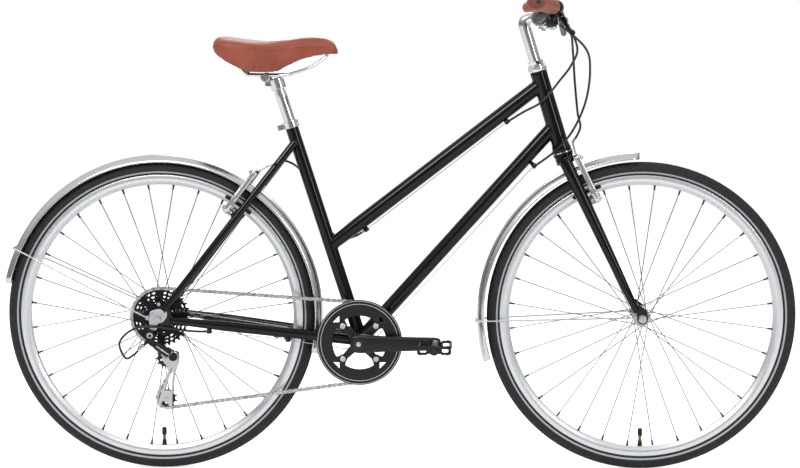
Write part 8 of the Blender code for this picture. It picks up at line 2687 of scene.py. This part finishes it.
for side in (-1, 1):
    spot = saddle_point(0.03, side * 0.04, tail_end)
    sockets.append(pin(spot + Vector((0.004, 0, -0.01)), spot + Vector((-0.003, 0, 0.006)), 0.0068, 0.001,
        24))
dress([skin(base_rings), *sockets], "saddle_base", "saddle", "black_nylon", angle=45)
print("rails", triangles["saddle_rails"], "triangles")

# %% [markdown]
# ## Camera, light and floor
# The photograph is a catalogue picture: the camera stands 4.5 m away on the chain side, at the height of the
# handlebar, and the ground is plain white. The world is white for the camera. For reflections it is a soft
# studio, bright above and dimmer at the level of the wheels, because chrome shows nothing but its room.

# %% Camera
CAMERA_DISTANCE = 4.5
CAMERA_HEIGHT = 0.965
CAMERA_FORWARD = 0.2093
PITCH = math.radians(5.52)
YAW = math.radians(0.76)
SHIFT = -0.083
FOCAL_PIXELS = 2022.0
PICTURE_WIDTH = 800
SENSOR_WIDTH = 36.0
camera_data = bpy.data.cameras.new("camera")
camera_data.sensor_width = SENSOR_WIDTH
camera_data.lens = FOCAL_PIXELS * SENSOR_WIDTH / PICTURE_WIDTH
camera_data.clip_end = 60.0
camera_data.shift_x = SHIFT
camera = placed("camera", camera_data)
camera.location = (CAMERA_FORWARD, -CAMERA_DISTANCE, CAMERA_HEIGHT)
camera.rotation_euler = (math.pi / 2 - PITCH, 0, YAW)
bpy.context.scene.camera = camera

# %% World and lamps
world = bpy.data.worlds.new("studio")
bpy.context.scene.world = world
world.use_nodes = True
sky = world.node_tree
sky.nodes.clear()
direction = add(sky, "ShaderNodeTexCoord").outputs["Generated"]
split = add(sky, "ShaderNodeSeparateXYZ", None, {"Vector": direction})
room = add(sky, "ShaderNodeMapRange", {"From Min": -1.0, "From Max": 1.0}, {"Value": split.outputs["Z"]})
shades = add(sky, "ShaderNodeValToRGB", None, {"Fac": room})
steps = shades.color_ramp.elements
steps[0].color = linear("#D2D2D4")
for place, code in ((0.36, "#A8A8AA"), (0.43, "#4E4E51"), (0.58, "#565658"), (0.72, "#E6E6E6")):
    steps.new(place).color = linear(code)
steps[-1].color = linear("#FFFFFF")
dim = add(sky, "ShaderNodeBackground", {"Strength": 0.85}, {"Color": shades})
white = add(sky, "ShaderNodeBackground", {"Color": (1, 1, 1, 1), "Strength": 1.0})


def sees_white(tree, share):
    """How much of the white background a ray meets: all of it for the camera, a share of it for gloss."""
    rays = add(tree, "ShaderNodeLightPath").outputs
    part = add(tree, MATH, "MULTIPLY", (rays["Is Glossy Ray"], share))
    clear = add(tree, MATH, "MAXIMUM", (part, rays["Is Transmission Ray"]))
    return add(tree, MATH, "MAXIMUM", (clear, rays["Is Camera Ray"]))


both = add(sky, "ShaderNodeMixShader", None, {0: sees_white(sky, 0.22), 1: dim, 2: white})
add(sky, "ShaderNodeOutputWorld", None, {"Surface": both})


def lamp(name, place, size, power, target=(0, 0, 0.5)):
    data = bpy.data.lights.new(name, "AREA")
    data.shape = "RECTANGLE"
    data.size, data.size_y = size
    data.energy = power
    made = placed(name, data)
    made.location = place
    made.rotation_euler = (Vector(target) - Vector(place)).to_track_quat("-Z", "Y").to_euler()


lamp("key", (-1.4, -2.6, 2.9), (2.2, 0.8), 64)
lamp("fill", (2.6, -2.4, 1.9), (0.5, 1.6), 26)
lamp("rim_light", (0.2, 2.8, 2.6), (2.4, 0.8), 36)

# %% Floor
floor_shape = bmesh.new()
bmesh.ops.create_grid(floor_shape, x_segments=1, y_segments=1, size=6.0)
floor = moved(from_shape(floor_shape, "floor"), (0, 0, -0.0006))
paper = bpy.data.materials.new("white_paper_floor")
paper.use_nodes = True
tree = paper.node_tree
matt = tree.nodes["Principled BSDF"]
matt.inputs["Base Color"].default_value = linear("#F4F4F4")
matt.inputs["Roughness"].default_value = 0.9
glow = add(tree, "ShaderNodeEmission", {"Color": (1, 1, 1, 1), "Strength": 0.55})
lit = add(tree, "ShaderNodeAddShader", None, {0: matt, 1: glow})
chosen = add(tree, "ShaderNodeMixShader", None, {0: sees_white(tree, 0.3), 1: matt, 2: lit})
tree.links.new(chosen.outputs[0], tree.nodes["Material Output"].inputs["Surface"])
floor.data.materials.append(paper)
bpy.context.scene.view_settings.view_transform = "Standard"

# %% Sizes, and the end
print("triangles", sum(triangles.values()), "in", len(triangles), "pieces")
